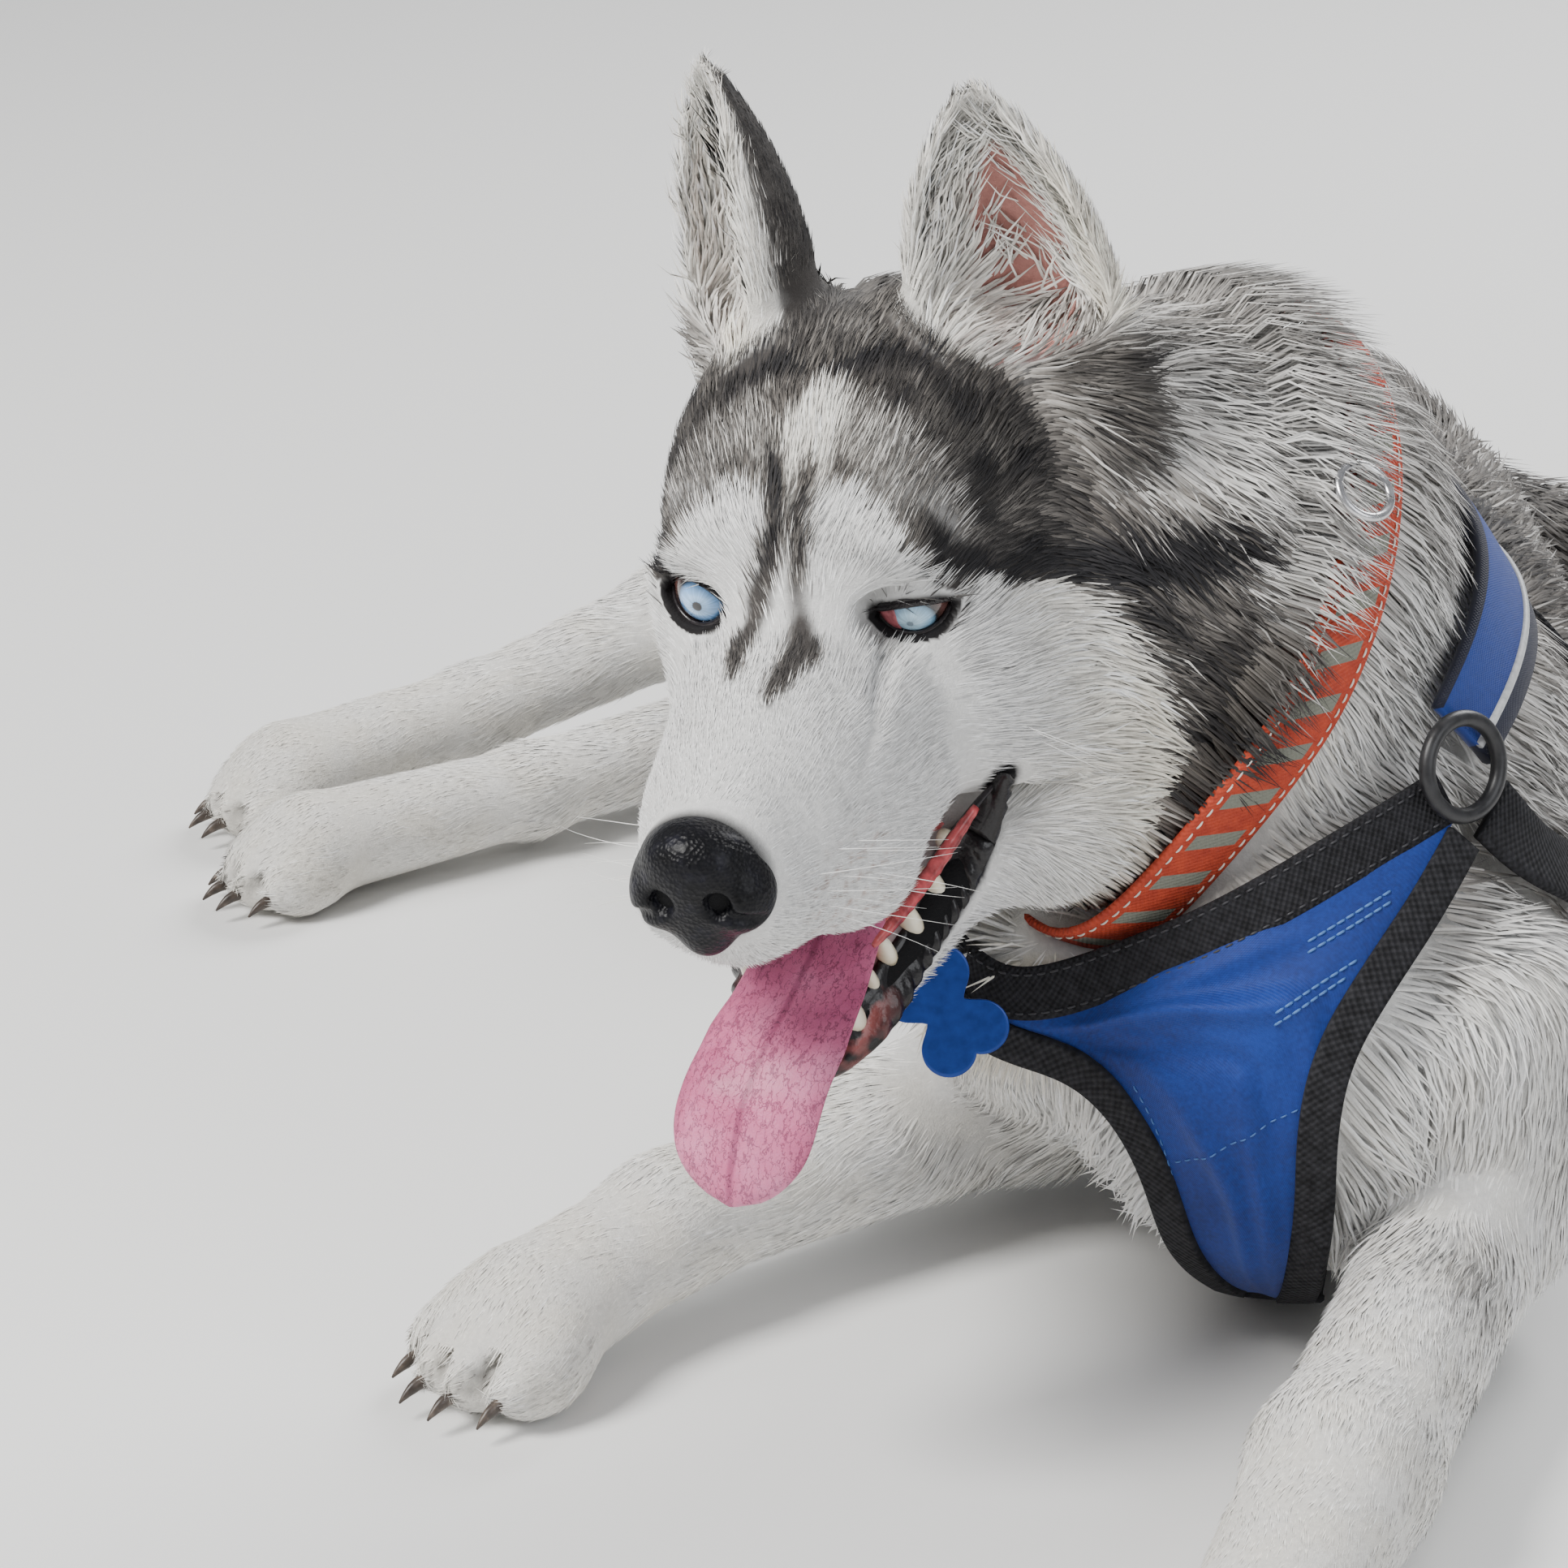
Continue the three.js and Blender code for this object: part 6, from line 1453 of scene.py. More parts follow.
# ---------------------------------------------------------------- the lie of the coat
def lie(P, Q, W, d, N):
    """Unit directions along the surface in which the hair lies."""
    F = np.zeros_like(P)

    def along(table, sign, fallen):
        nonlocal F
        for p in table:
            if p[0][0] != "c":
                continue
            dirn = unit(np.array(p[2], float) - np.array(p[1], float)) * sign
            w = np.exp(-np.clip(np.abs(cone(P, *p[1:5])), 0, 90) / 12.0)
            F += (w * fallen)[:, None] * dirn.astype(F32)[None]

    along(TRUNK, 1, W["trunk"] * 3)
    along(NECK, -1, W["neck"] * 3)
    along(TAIL, 1, W["tail"] * 3)
    for n in LEGS:
        along(LEGS[n], 1, W[n] * 3)
    F /= np.maximum(np.linalg.norm(F, axis=1), 1e-6)[:, None]
    F[:, 2] -= 0.45 * (W["trunk"] + W["neck"]) + 0.15 * W["tail"]
    # head
    v = Q - np.array([0, -126, -34], F32)
    v /= np.linalg.norm(v, axis=1)[:, None]
    ruff = step01(Q[:, 1], 0, 50) * step01(-Q[:, 2], 0, 60)
    v = v + ruff[:, None] * np.array([0, 0.35, -0.75], F32)
    brow = step01(Q[:, 2], 5, 30) * (1 - step01(Q[:, 1], 30, 70))
    v = v + brow[:, None] * np.stack([np.sign(Q[:, 0]) * 0.25 * np.clip(np.abs(Q[:, 0]) / 20, 0, 1), np.full(len(Q), 0.2), np.full(len(Q), 0.15)], 1)
    back = step01(Q[:, 1], 40, 90)
    v = v + back[:, None] * np.array([0.1, 0.3, -0.45], F32)
    for e in EARS.values():
        c, w, n, u, H = ear_axes(e)
        o, i, U, V, s, _, hw = ear_parts(Q, e)
        on = step01(-o, -9, -2) * step01(H - s, 6, 22)
        ins = soft(i - 2.0, 2.5) * (V > -30)
        t = w[None] * 0.8 + (ins * -np.sign(U) * 0.55)[:, None] * u[None] + ((1 - ins) * np.sign(U) * 0.10)[:, None] * u[None]
        v = v * (1 - on)[:, None] + t * on[:, None]
    v = v @ HR.T
    F = F * (1 - W["head"])[:, None] + v * W["head"][:, None]
    turn_a = noise3(P, 60, 21) * 0.22 + noise3(P, 17, 22) * 0.16
    F = F - (F * N).sum(1)[:, None] * N
    F /= np.maximum(np.linalg.norm(F, axis=1), 1e-6)[:, None]
    S = np.cross(N, F)
    F = F * np.cos(turn_a)[:, None] + S * np.sin(turn_a)[:, None]
    return F


# where the collar and harness lie, as a grid of cells
CELL = 3.0
G0 = np.array([-430.0, -465.0, -10.0])
GN = (260, 340, 150)


def cells(P):
    return np.clip(((P - G0) / CELL).astype(int), 0, np.array(GN) - 1)


def gear_grid():
    grid = np.zeros(GN, bool)
    for ob in GEAR_PIECES:
        me = ob.data
        co = np.zeros(len(me.vertices) * 3, F32)
        me.vertices.foreach_get("co", co)
        mid = np.zeros(len(me.polygons) * 3, F32)
        me.polygons.foreach_get("center", mid)
        for A in (co, mid):
            i = cells(A.reshape(-1, 3) * 1000 - SHIFT)
            grid[i[:, 0], i[:, 1], i[:, 2]] = True
    return grid


gear_cells = gear_grid()
near_gear = gear_cells.copy()
for k in range(3):
    near_gear |= np.roll(gear_cells, 1, k) | np.roll(gear_cells, -1, k)


def in_gear(P, wide=False):
    i = cells(P)
    return (near_gear if wide else gear_cells)[i[:, 0], i[:, 1], i[:, 2]]


tick("gear cells")

# the lower lip's edges, outer and inner, from the corner of the mouth to the chin
LIP_O = np.array([[55, 3, -56], [51, 5, -70], [41, -1, -93], [34.5, -12, -102.5], [29.5, -24, -109.5], [24, -41, -118], [13, -54, -125], [0, -59, -128]], float)
LIP_I = np.array([[51, 8, -60], [42, 7, -70], [32, 2, -81], [28.5, -9, -91], [23.5, -24, -98], [17.5, -38, -104], [11.5, -50, -112], [0, -54, -113]], float)


def lip_near(Q, pad):
    """1 on the lower lip, 0 off it."""
    M = mirrored(Q)
    c = (LIP_O + LIP_I) / 2
    return soft(from_line(M, c.astype(F32), np.linalg.norm(LIP_O - LIP_I, axis=1) / 2 + pad), 0.8) * (np.linalg.norm(Q - np.array([0, -10, -90], F32), axis=1) < 90)


# ---------------------------------------------------------------- roots over the skin
T3 = np.concatenate([tris.reshape(-1, 3), quads[:, [0, 1, 2]], quads[:, [0, 2, 3]]]) if len(tris) else np.concatenate([quads[:, [0, 1, 2]], quads[:, [0, 2, 3]]])
FN = np.cross(V[T3[:, 1]] - V[T3[:, 0]], V[T3[:, 2]] - V[T3[:, 0]])
AREA = np.linalg.norm(FN, axis=1) / 2
VN = np.zeros_like(V)
for k in range(3):
    np.add.at(VN, T3[:, k], FN)
VN /= np.maximum(np.linalg.norm(VN, axis=1), 1e-9)[:, None]
if (FN * VN[T3[:, 0]]).sum() < 0 or ((V[T3].mean(1) + FN / np.maximum(AREA * 2, 1e-9)[:, None])[:, 2].mean() < V[T3].mean(1)[:, 2].mean()):
    pass
dv, Qv, nearv = groups(V)
earv = np.full(len(V), 60.0, F32)
earv[nearv] = np.minimum(ear(Qv[nearv], EARS["L"]), ear(Qv[nearv], EARS["R"]))
dv["head"] = np.minimum(dv["head"], earv)
Wv = weights(dv)
probe = skin_field(V[:2000] + VN[:2000] * 1.5) - skin_field(V[:2000] - VN[:2000] * 1.5)
OUT = 1.0 if np.median(probe) > 0 else -1.0
VN *= OUT
tick(f"normals point {'out' if OUT > 0 else 'in'}")

DARK, WARM, PINKV, RIM = markings(V, Wv, dv, Qv)
sc = skin_colour(DARK, WARM, PINKV, RIM)
mouth_v = poly2(Qv[:, 1], Qv[:, 2], MOUTH)
inside_mouth = soft(mouth_v - 1.2, 1.2) * (Wv["head"] > 0.5) * (np.abs(Qv[:, 0]) < 60)
wet = np.array([0.10, 0.022, 0.024])
sc = mix(sc, np.ones((len(V), 1)) * wet, inside_mouth)
# the bare middle of each ear: pink skin, made a darker pink as painted shade of the ear's hollow
sc = mix(sc, np.array([0.50, 0.23, 0.20]) * np.ones((len(V), 1)), bare_ear(Qv))
sc = mix(sc, np.array([0.33, 0.22, 0.18]) * np.ones((len(V), 1)), follicles(Qv) * 0.8)
corner = soft(np.linalg.norm(Qv * np.array([1, 1, 1], F32) * np.where(Qv[:, :1] < 0, -1, 1) ** np.array([1, 0, 0]) - np.array([44, 4, -67], F32), axis=1) - 9.0, 1.5)
sc = mix(sc, np.ones((len(V), 1)) * BLACK * 0.5, corner * (mouth_v < 2.5))
nose_near = soft(np.linalg.norm((Qv - np.array([0, -101.5, -29], F32)) / np.array([20.3, 16.0, 19.0], F32), axis=1) - 1.0, 0.05)
sc = mix(sc, np.ones((len(V), 1)) * BLACK * 0.4, np.maximum(nose_near, lip_near(Qv, 0.8)))
attr = skin.data.color_attributes.new("coat", "FLOAT_COLOR", "POINT")
attr.data.foreach_set("color", np.concatenate([sc, np.ones((len(V), 1))], 1).astype(F32).ravel())
wetness = skin.data.attributes.new("wet", "FLOAT", "POINT")
wetness.data.foreach_set("value", inside_mouth.astype(F32))
tick("skin colours")

NOSE_AT, NOSE_R = np.array([0, -102, -29], F32), np.array([20.5, 15, 19.5], F32)


def bare(P, Q, W):
    """Where no hair grows: nose, eyes, inside the mouth."""
    k = np.linalg.norm((Q - NOSE_AT) / (NOSE_R + 0.6), axis=1) < 1
    for e in EYES.values():
        o, fwd = lid_opening(Q, e)
        k |= (o < 1.9) & (fwd > 0) & (np.linalg.norm(Q - e["at"], axis=1) < 17.5)
    k |= (poly2(Q[:, 1], Q[:, 2], MOUTH) < 2.2) & (np.abs(Q[:, 0]) < 60) & (W["head"] > 0.4)
    k |= lip_near(Q, 1.2) > 0.5
    return k


def lock_sizes(Q, W, pn, P):
    """Length, width, lift in degrees, and locks to a square mm at each point."""
    x, y, z = np.abs(Q[:, 0]), Q[:, 1], Q[:, 2]
    e = ear_near(Q)
    ruff = step01(y, 12, 44) * step01(-z, 4, 44) * step01(x, 14, 44)
    nape = step01(y, 66, 110)
    hl = 5.2 + 3.2 * step01(y, -80, -10) + 2.6 * step01(y, 0, 50) + 8 * ruff + 10 * nape
    hw = 0.56 + 0.08 * step01(y, -60, 20) + 0.34 * ruff + 0.40 * nape
    hf = 14 + 5 * ruff + 5 * nape
    hd = 1.25 - 0.25 * step01(y, -60, 20) - 0.62 * ruff - 0.45 * nape
    ins = np.zeros(len(Q), F32)
    for e_ in EARS.values():
        o, i, U, V_, s, H, hw_ = ear_parts(Q, e_)
        ins = np.maximum(ins, step01(-o, -9, -1) * soft(i - 2.5, 2.0) * step01(H - s, -4, 8) * step01(s, 6, 22))
    hl = hl * (1 - e) + (5.5 + 10.5 * ins) * e
    hw = hw * (1 - e) + (0.62 + 0.25 * ins) * e
    hd = hd * (1 - e) + (0.80 - 0.40 * ins) * e
    hd = hd * (1 - 0.94 * bare_ear(Q))
    hf = hf + 12 * ins
    C = Q - CENTRE
    dist = np.linalg.norm(C, axis=1)
    ap = np.degrees(np.abs(np.arctan2(C[:, 0], -C[:, 1])))
    th = np.degrees(np.arctan2(C[:, 2], np.hypot(C[:, 0], C[:, 1])))
    cheek = (1 - step01(ap, 108, 122)) * (1 - step01(dist, 150, 172)) * step01(th, -80, -60)
    wl = sum(W[n] for n in LEGS)
    nl = 27 - 12.5 * cheek
    L = W["head"] * hl + W["trunk"] * 26 + W["neck"] * nl + W["tail"] * 34 + wl * (11.8 - 6.2 * pn)
    B = W["head"] * hw + W["trunk"] * 1.20 + W["neck"] * (0.98 - 0.16 * cheek) + W["tail"] * 2.1 + wl * (0.98 - 0.36 * pn)
    A = W["head"] * hf + W["trunk"] * 19 + W["neck"] * (21 - 5 * cheek) + W["tail"] * 27 + wl * (12 - 3 * pn)
    D = W["head"] * hd + W["trunk"] * 0.168 + W["neck"] * (0.345 + 0.09 * cheek) + W["tail"] * 0.13 + wl * (0.25 + 0.20 * pn)
    return L, B, A, D


UV_RECT = {"head": (0.01, 0.51, 0.48, 0.48), "trunk": (0.51, 0.51, 0.48, 0.48), "neck": (0.01, 0.27, 0.48, 0.22), "tail": (0.51, 0.27, 0.48, 0.22),
           "foreleg_left": (0.01, 0.01, 0.23, 0.24), "foreleg_right": (0.26, 0.01, 0.23, 0.24), "hindleg_left": (0.51, 0.01, 0.23, 0.24), "hindleg_right": (0.76, 0.01, 0.23, 0.24)}
UV_AXIS = {"trunk": ([78, -160, 100], [30, 400, 86]), "neck": ([78, -60, 150], [-50, -160, 280]), "tail": ([38, 360, 80], [280, 330, 30]),
           "foreleg_left": ([150, -130, 90], [115, -425, 20]), "foreleg_right": ([10, -120, 90], [-150, -290, 20]),
           "hindleg_left": ([40, 260, 60], [-360, 60, 20]), "hindleg_right": ([10, 300, 110], [-400, 120, 20])}


def unwrap(P, Q, W):
    """Places on the skin laid flat: each part of the body round its own axis, in a field of its own."""
    keys = list(UV_RECT)
    which = np.argmax(np.stack([W[k] for k in keys]), 0)
    uv = np.zeros((len(P), 2))
    for i, k in enumerate(keys):
        m = which == i
        if not m.any():
            continue
        x0, y0, w, h = UV_RECT[k]
        if k == "head":
            C = Q[m] - CENTRE
            a = np.arctan2(C[:, 0], -C[:, 1]) / (2 * np.pi) + 0.5
            b = np.arctan2(C[:, 2], np.hypot(C[:, 0], C[:, 1])) / np.pi + 0.5
        else:
            A, B = [np.array(v, float) for v in UV_AXIS[k]]
            ax = unit(B - A)
            s = unit(np.cross(ax, [0, 0, 1.0]))
            t = np.cross(s, ax)
            D = P[m] - A
            a = np.arctan2(D @ s, D @ t) / (2 * np.pi) + 0.5
            b = np.clip((D @ ax) / np.linalg.norm(B - A), -0.1, 1.1) / 1.2 + 0.083
        uv[m] = np.stack([x0 + np.clip(a, 0, 1) * w, y0 + np.clip(b, 0, 1) * h], 1)
    return uv


def at_roots(tri, bary):
    """Skin values at points on its triangles."""
    i = T3[tri]
    f = lambda A: (A[i] * (bary[:, :, None] if A.ndim == 2 else bary)).sum(1).astype(F32)
    P = f(V)
    N = f(VN)
    N /= np.maximum(np.linalg.norm(N, axis=1), 1e-9)[:, None]
    W = {k: f(w) for k, w in Wv.items()}
    return P, N, W, to_head(P)


def grow(seed, share=1.0):
    rng = np.random.default_rng(seed)
    pnv = paw_near(V)
    Lv, Bv, Av, Dv = lock_sizes(Qv, Wv, pnv, V)
    Dt = Dv[T3].mean(1) * AREA * share
    skip = V[T3].mean(1)[:, 2] < 1.6
    Dt = np.where(skip, 0, Dt)
    cum = np.cumsum(Dt)
    M = int(cum[-1])
    pick = np.searchsorted(cum, (np.arange(M) + rng.uniform(0, 1, M)) / M * cum[-1])
    pick = np.clip(pick, 0, len(T3) - 1)
    r1, r2 = np.sqrt(rng.uniform(0, 1, M)), rng.uniform(0, 1, M)
    bary = np.stack([1 - r1, r1 * (1 - r2), r1 * r2], 1)
    P, N, W, Q = at_roots(pick, bary)
    keep = ~bare(P, Q, W)
    P, N, Q = P[keep], N[keep], Q[keep]
    W = {k: w[keep] for k, w in W.items()}
    return P, N, W, Q, rng


def set_shade(ob, normals):
    """Shades a coat by the skin under it, so that the locks read as one soft surface."""
    a = ob.data.attributes.new("custom_normal", "FLOAT_VECTOR", "POINT")
    a.data.foreach_set("vector", normals.astype(F32).ravel())


def build_locks(name, P, N, F, L, B, lift, bend, cr, cm, ct, uv, rng, long):
    """Closed three-sided tapering locks. long ones have a ring half way and bend over."""
    S = np.cross(N, F)
    M = len(P)
    ca, sa = np.cos(lift)[:, None], np.sin(lift)[:, None]
    l2 = lift - bend
    cb, sb = np.cos(l2)[:, None], np.sin(l2)[:, None]
    Lc, Bc = L[:, None], B[:, None]
    sway = rng.normal(0, 0.16, M)[:, None]
    d1 = F * ca + N * sa
    d2 = F * cb + N * sb + S * sway
    base = P - N * 0.5
    up1 = N * ca - F * sa
    if long:
        mid = base + d1 * Lc * 0.5
        tip = mid + d2 * Lc * 0.5
        ring = lambda c, w: [c - S * w, c + S * w, c + up1 * w * 0.75]
        verts = np.stack(ring(base, Bc * 0.5) + ring(mid, Bc * 0.42) + [tip], 1)
        nv = 7
        f = [[0, 2, 1], [0, 1, 4], [0, 4, 3], [1, 2, 5], [1, 5, 4], [2, 0, 3], [2, 3, 5], [3, 4, 6], [4, 5, 6], [5, 3, 6]]
        cols = np.stack([cr, cr, cr, cm, cm, cm, ct], 1)
        shade = np.stack([N - S * 0.45, N + S * 0.45, N, N - S * 0.45, N + S * 0.45, N, N], 1)
        off = np.array([[-1, 0], [-1, 1], [-1, 0.5], [0, 0], [0, 1], [0, 0.5], [1, 0.5]]) * np.array([1.0, 1.0])
    else:
        tip = base + (d1 * 0.55 + d2 * 0.45) * Lc
        verts = np.stack([base - S * Bc * 0.5, base + S * Bc * 0.5, base + up1 * Bc * 0.45, tip], 1)
        nv = 4
        f = [[0, 2, 1], [0, 1, 3], [1, 2, 3], [2, 0, 3]]
        cols = np.stack([cr, cr, cm, ct], 1)
        shade = np.stack([N - S * 0.45, N + S * 0.45, N, N], 1)
        off = np.array([[-1, 0], [-1, 1], [-0.6, 0.5], [1, 0.5]])
    shade = shade / np.linalg.norm(shade, axis=2, keepdims=True)
    faces = (np.array(f)[None] + (np.arange(M) * nv)[:, None, None]).reshape(-1, 3)
    vv = verts.reshape(-1, 3)
    vv[:, 2] = np.maximum(vv[:, 2], 0.35)
    ob = mesh_object(name, vv, [faces])
    me = ob.data
    c = me.color_attributes.new("coat", "FLOAT_COLOR", "POINT")
    c.data.foreach_set("color", np.concatenate([cols.reshape(-1, 3), np.ones((M * nv, 1))], 1).astype(F32).ravel())
    along = me.attributes.new("lock", "FLOAT", "POINT")
    along.data.foreach_set("value", np.tile(off[:, 0] * 0.5 + 0.5, M).astype(F32))
    uvl = me.uv_layers.new(name="OFBake")
    uvv = (uv[:, None, :] + (off * np.array([0.0015, 0.003]) - np.array([0, 0.0015]))[None]).reshape(-1, 2)
    li = np.zeros(len(me.loops), np.int32)
    me.loops.foreach_get("vertex_index", li)
    uvl.data.foreach_set("uv", uvv[li].astype(F32).ravel())
    set_shade(ob, shade.reshape(-1, 3))
    return ob


def coat(seed, share):
    P, N, W, Q, rng = grow(seed, share)
    d, Qd, nearP = groups(P)
    pn = paw_near(P)
    F = lie(P, Q, W, d, N)
    L, B, A, D = lock_sizes(Q, W, pn, P)
    M = len(P)
    L = L * rng.uniform(0.72, 1.25, M)
    B = B * rng.uniform(0.75, 1.3, M)
    clump = noise3(P, 14, 31)
    lift = np.radians(A * rng.uniform(0.6, 1.35, M) + 5 * clump * (W["neck"] + W["trunk"] + W["tail"]))
    bend = np.radians(A * 0.9)
    # under straps no hair stands, and beside them it lies short of their faces
    dep = depth_of(P, W, Q)
    body_part = (W["head"] < 0.98) | (Q[:, 1] > 60)
    idx = np.nonzero(body_part)[0]
    drop = np.zeros(M, bool)
    if len(idx):
        p, n = P[idx], N[idx]
        hit = np.zeros(len(idx), bool)
        for t in (2.0, 5.0, 8.0, 11.0, 14.0, 17.0):
            hit |= in_gear(p + n * t) & (t < dep[idx] + 4)
        drop[idx] = hit
        for frac in (0.45, 0.75, 1.0):
            q = p + (F[idx] * np.cos(lift[idx])[:, None] + n * np.sin(lift[idx] * 0.8)[:, None]) * (L[idx] * frac)[:, None]
            bump = in_gear(q, frac < 1) & ~hit
            L[idx] = np.where(bump, np.minimum(L[idx], L[idx] * max(frac - 0.18, 0.3)), L[idx])
    keep = ~drop
    # hair just ahead of the collar lies over it
    sc_ = (P - CAT.astype(F32)) @ CN.astype(F32)
    back_of_neck = step01(P[:, 2] + 0.45 * P[:, 1], 170, 235)
    reach_ = 24 + 10 * back_of_neck
    ahead = (sc_ > 11.0) & (sc_ < reach_) & (np.linalg.norm(P - CAT.astype(F32), axis=1) < 150) & (Q[:, 1] > 20)
    pick_ = ahead & (rng.uniform(0, 1, M) < 0.62 + 0.38 * back_of_neck) & ~drop
    over = np.zeros(M, bool)
    over[pick_] = True
    L = np.where(over, np.clip(sc_ + 11 + 8 * back_of_neck, 22, 38) * rng.uniform(0.8, 1.15, M), L)
    lift = np.where(over, np.arcsin(np.clip((dep + 2.2 + 0.8 * back_of_neck) / np.maximum(L * 0.5, 1), 0, 0.95)), lift)
    bend = np.where(over, lift - np.radians(2 + 5 * back_of_neck), bend)
    # hair near the floor lies flat along it
    low = np.clip(P[:, 2] / 14, 0, 1)
    lift = lift * (0.3 + 0.7 * low)
    jit = rng.normal(0, 1, (M, 3)).astype(F32) * np.where(W["head"] > 0.5, 0.5, 1.8)[:, None]
    dk, wm, pk, rm = markings(P + jit, W, d, to_head(P + jit))
    rnd = rng.uniform(0, 1, M)
    cr, cm, ct = coat_colours(dk, wm, rnd)
    k = rm[:, None]
    cr, cm, ct = cr * (1 - k) + BLACK * k, cm * (1 - k) + BLACK * k, ct * (1 - k) + BLACK * k
    cr = mix(cr, PINK * 0.9 * np.ones((M, 1)), pk * 0.75)
    cm = mix(cm, np.array([0.70, 0.52, 0.46]) * np.ones((M, 1)), pk * 0.6)
    tone = (1 + rng.normal(0, 0.085, M) * (1 + 0.6 * (W["head"] > 0.5)) + 0.05 * noise3(P, 7, 33))[:, None]
    tone = np.where(dk[:, None] < 0.15, 1 + (tone - 1) * 1.25 - 0.03, tone)
    shadow = np.where(dk < 0.3, 0.88, 1.0)[:, None]
    spots = (follicles(Q) * 0.8)[:, None]
    cr, cm, ct = [c * (1 - spots) + np.array([0.36, 0.25, 0.20]) * spots for c in (cr, cm, ct)]
    cr, cm, ct = np.clip(cr * tone * shadow, 0, 0.92), np.clip(cm * tone, 0, 0.92), np.clip(ct * tone * 1.03, 0, 0.92)
    uv = unwrap(P, Q, W)
    size = L
    legs_w = sum(W[n] for n in LEGS)
    is_long = (L > np.where(legs_w > 0.6, 16.5, 13.2)) | (over)
    group = np.argmax(np.stack([W["head"], W["neck"], W["trunk"] + W["tail"], sum(W[n] for n in LEGS)]), 0)
    out = []
    tot = 0
    for g, gname in enumerate(("head", "neck", "trunk", "legs")):
        for lng in (True, False):
            m = np.nonzero(keep & (group == g) & (is_long == lng))[0]
            if not len(m):
                continue
            per = 10 if lng else 4
            limit = 190000 // per
            for j, i0 in enumerate(range(0, len(m), limit)):
                s = m[i0 : i0 + limit]
                nm = f"coat_{gname}_{'long' if lng else 'short'}_{j + 1}"
                ob = build_locks(nm, P[s], N[s], F[s], L[s], B[s], lift[s], bend[s], cr[s], cm[s], ct[s], uv[s], rng, lng)
                out.append(ob)
                tot += len(s) * per
                print("   ", nm, len(s), "locks", len(s) * per, "triangles")
    tick(f"coat {tot} triangles")
    return out


def fur_material(name, skin_side=False):
    m, nt, b = nodes_of(name)
    at = nt.nodes.new("ShaderNodeAttribute")
    at.attribute_name = "coat"
    co = nt.nodes.new("ShaderNodeTexCoord")
    nz = nt.nodes.new("ShaderNodeTexNoise")
    nz.inputs["Scale"].default_value = 900 if not skin_side else 600
    nz.inputs["Detail"].default_value = 2
    link(nt, co.outputs["Object"], nz.inputs["Vector"])
    mr = nt.nodes.new("ShaderNodeMapRange")
    mr.inputs["To Min"].default_value = 0.82
    mr.inputs["To Max"].default_value = 1.16
    link(nt, nz.outputs["Fac"], mr.inputs["Value"])
    mx = nt.nodes.new("ShaderNodeVectorMath")
    mx.operation = "SCALE"
    link(nt, at.outputs["Color"], mx.inputs[0])
    link(nt, mr.outputs["Result"], mx.inputs["Scale"])
    link(nt, mx.outputs["Vector"], b.inputs["Base Color"])
    b.inputs["Roughness"].default_value = 0.62
    b.inputs["Specular IOR Level"].default_value = 0.16
    b.inputs["Sheen Weight"].default_value = 0.04
    b.inputs["Sheen Roughness"].default_value = 0.5
    if skin_side:
        wet = nt.nodes.new("ShaderNodeAttribute")
        wet.attribute_name = "wet"
        r = nt.nodes.new("ShaderNodeMapRange")
        r.inputs["To Min"].default_value = 0.75
        r.inputs["To Max"].default_value = 0.42
        link(nt, wet.outputs["Fac"], r.inputs["Value"])
        link(nt, r.outputs["Result"], b.inputs["Roughness"])
        # short flat fur as bump
        n2 = nt.nodes.new("ShaderNodeTexNoise")
        n2.inputs["Scale"].default_value = 1500
        n2.inputs["Detail"].default_value = 3
        link(nt, co.outputs["Object"], n2.inputs["Vector"])
        bp = nt.nodes.new("ShaderNodeBump")
        bp.inputs["Strength"].default_value = 0.5
        bp.inputs["Distance"].default_value = 0.0006
        link(nt, n2.outputs["Fac"], bp.inputs["Height"])
        link(nt, bp.outputs["Normal"], b.inputs["Normal"])
        b.inputs["Sheen Weight"].default_value = 0.0
    return m


fur = fur_material("coat")
skin_mat = fur_material("skin", True)
skin.data.materials.append(skin_mat)
coats = coat(5, 1.0)
for c in coats:
    c.data.materials.append(fur)
    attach(c, "root")


# ---------------------------------------------------------------- nose
def nose_field(Q):
    F = ell(Q, [0, -101.5, -29], [19.5, 14.5, 18.0])
    M = mirrored(Q)
    F = smin(F, ell(M, [11.5, -104, -33], [9.0, 10.5, 9.5]), 5)
    F = smin(F, ell(Q, [0, -108, -20], [12.0, 8.5, 9.0]), 6)
    F = smin(F, ell(Q, [0, -104, -43], [8.0, 9.0, 9.0]), 5)
    F = smax(F, -ell(M, [8.6, -117.5, -30.5], [4.3, 7.5, 4.6]), 2.2)
    F = smax(F, -cone(M, [11, -116.5, -33.5], [20.5, -107.5, -38], 2.4, 1.3), 2.0)
    F = smax(F, -cone(Q, [0, -121, -34], [0, -113.5, -52], 1.3, 1.1), 2.6)
    return F.astype(F32)


nh = 0.8
nlo, nhi = np.array([-25, -125, -56.0]), np.array([25, -86, -6.0])
nn_ = np.ceil((nhi - nlo) / nh).astype(int)
gx = np.stack(np.meshgrid(*[nlo[k] + np.arange(nn_[k]) * nh for k in range(3)], indexing="ij"), -1).reshape(-1, 3).astype(F32)
npts, ntri, nquad = polygons(nose_field(gx).reshape(nn_), nlo, nh)
for _ in range(2):
    G = gradient(nose_field, npts.astype(F32), 0.25)
    npts = npts - G * (nose_field(npts.astype(F32)) / np.maximum((G * G).sum(1), 0.2))[:, None]
nose = head_object("nose_pad", npts, [ntri, nquad])
m, nt, b = nodes_of("nose")
vo = nt.nodes.new("ShaderNodeTexVoronoi")
vo.inputs["Scale"].default_value = 780
co = nt.nodes.new("ShaderNodeTexCoord")
link(nt, co.outputs["Object"], vo.inputs["Vector"])
nz = noise_node(nt, 160, 4)
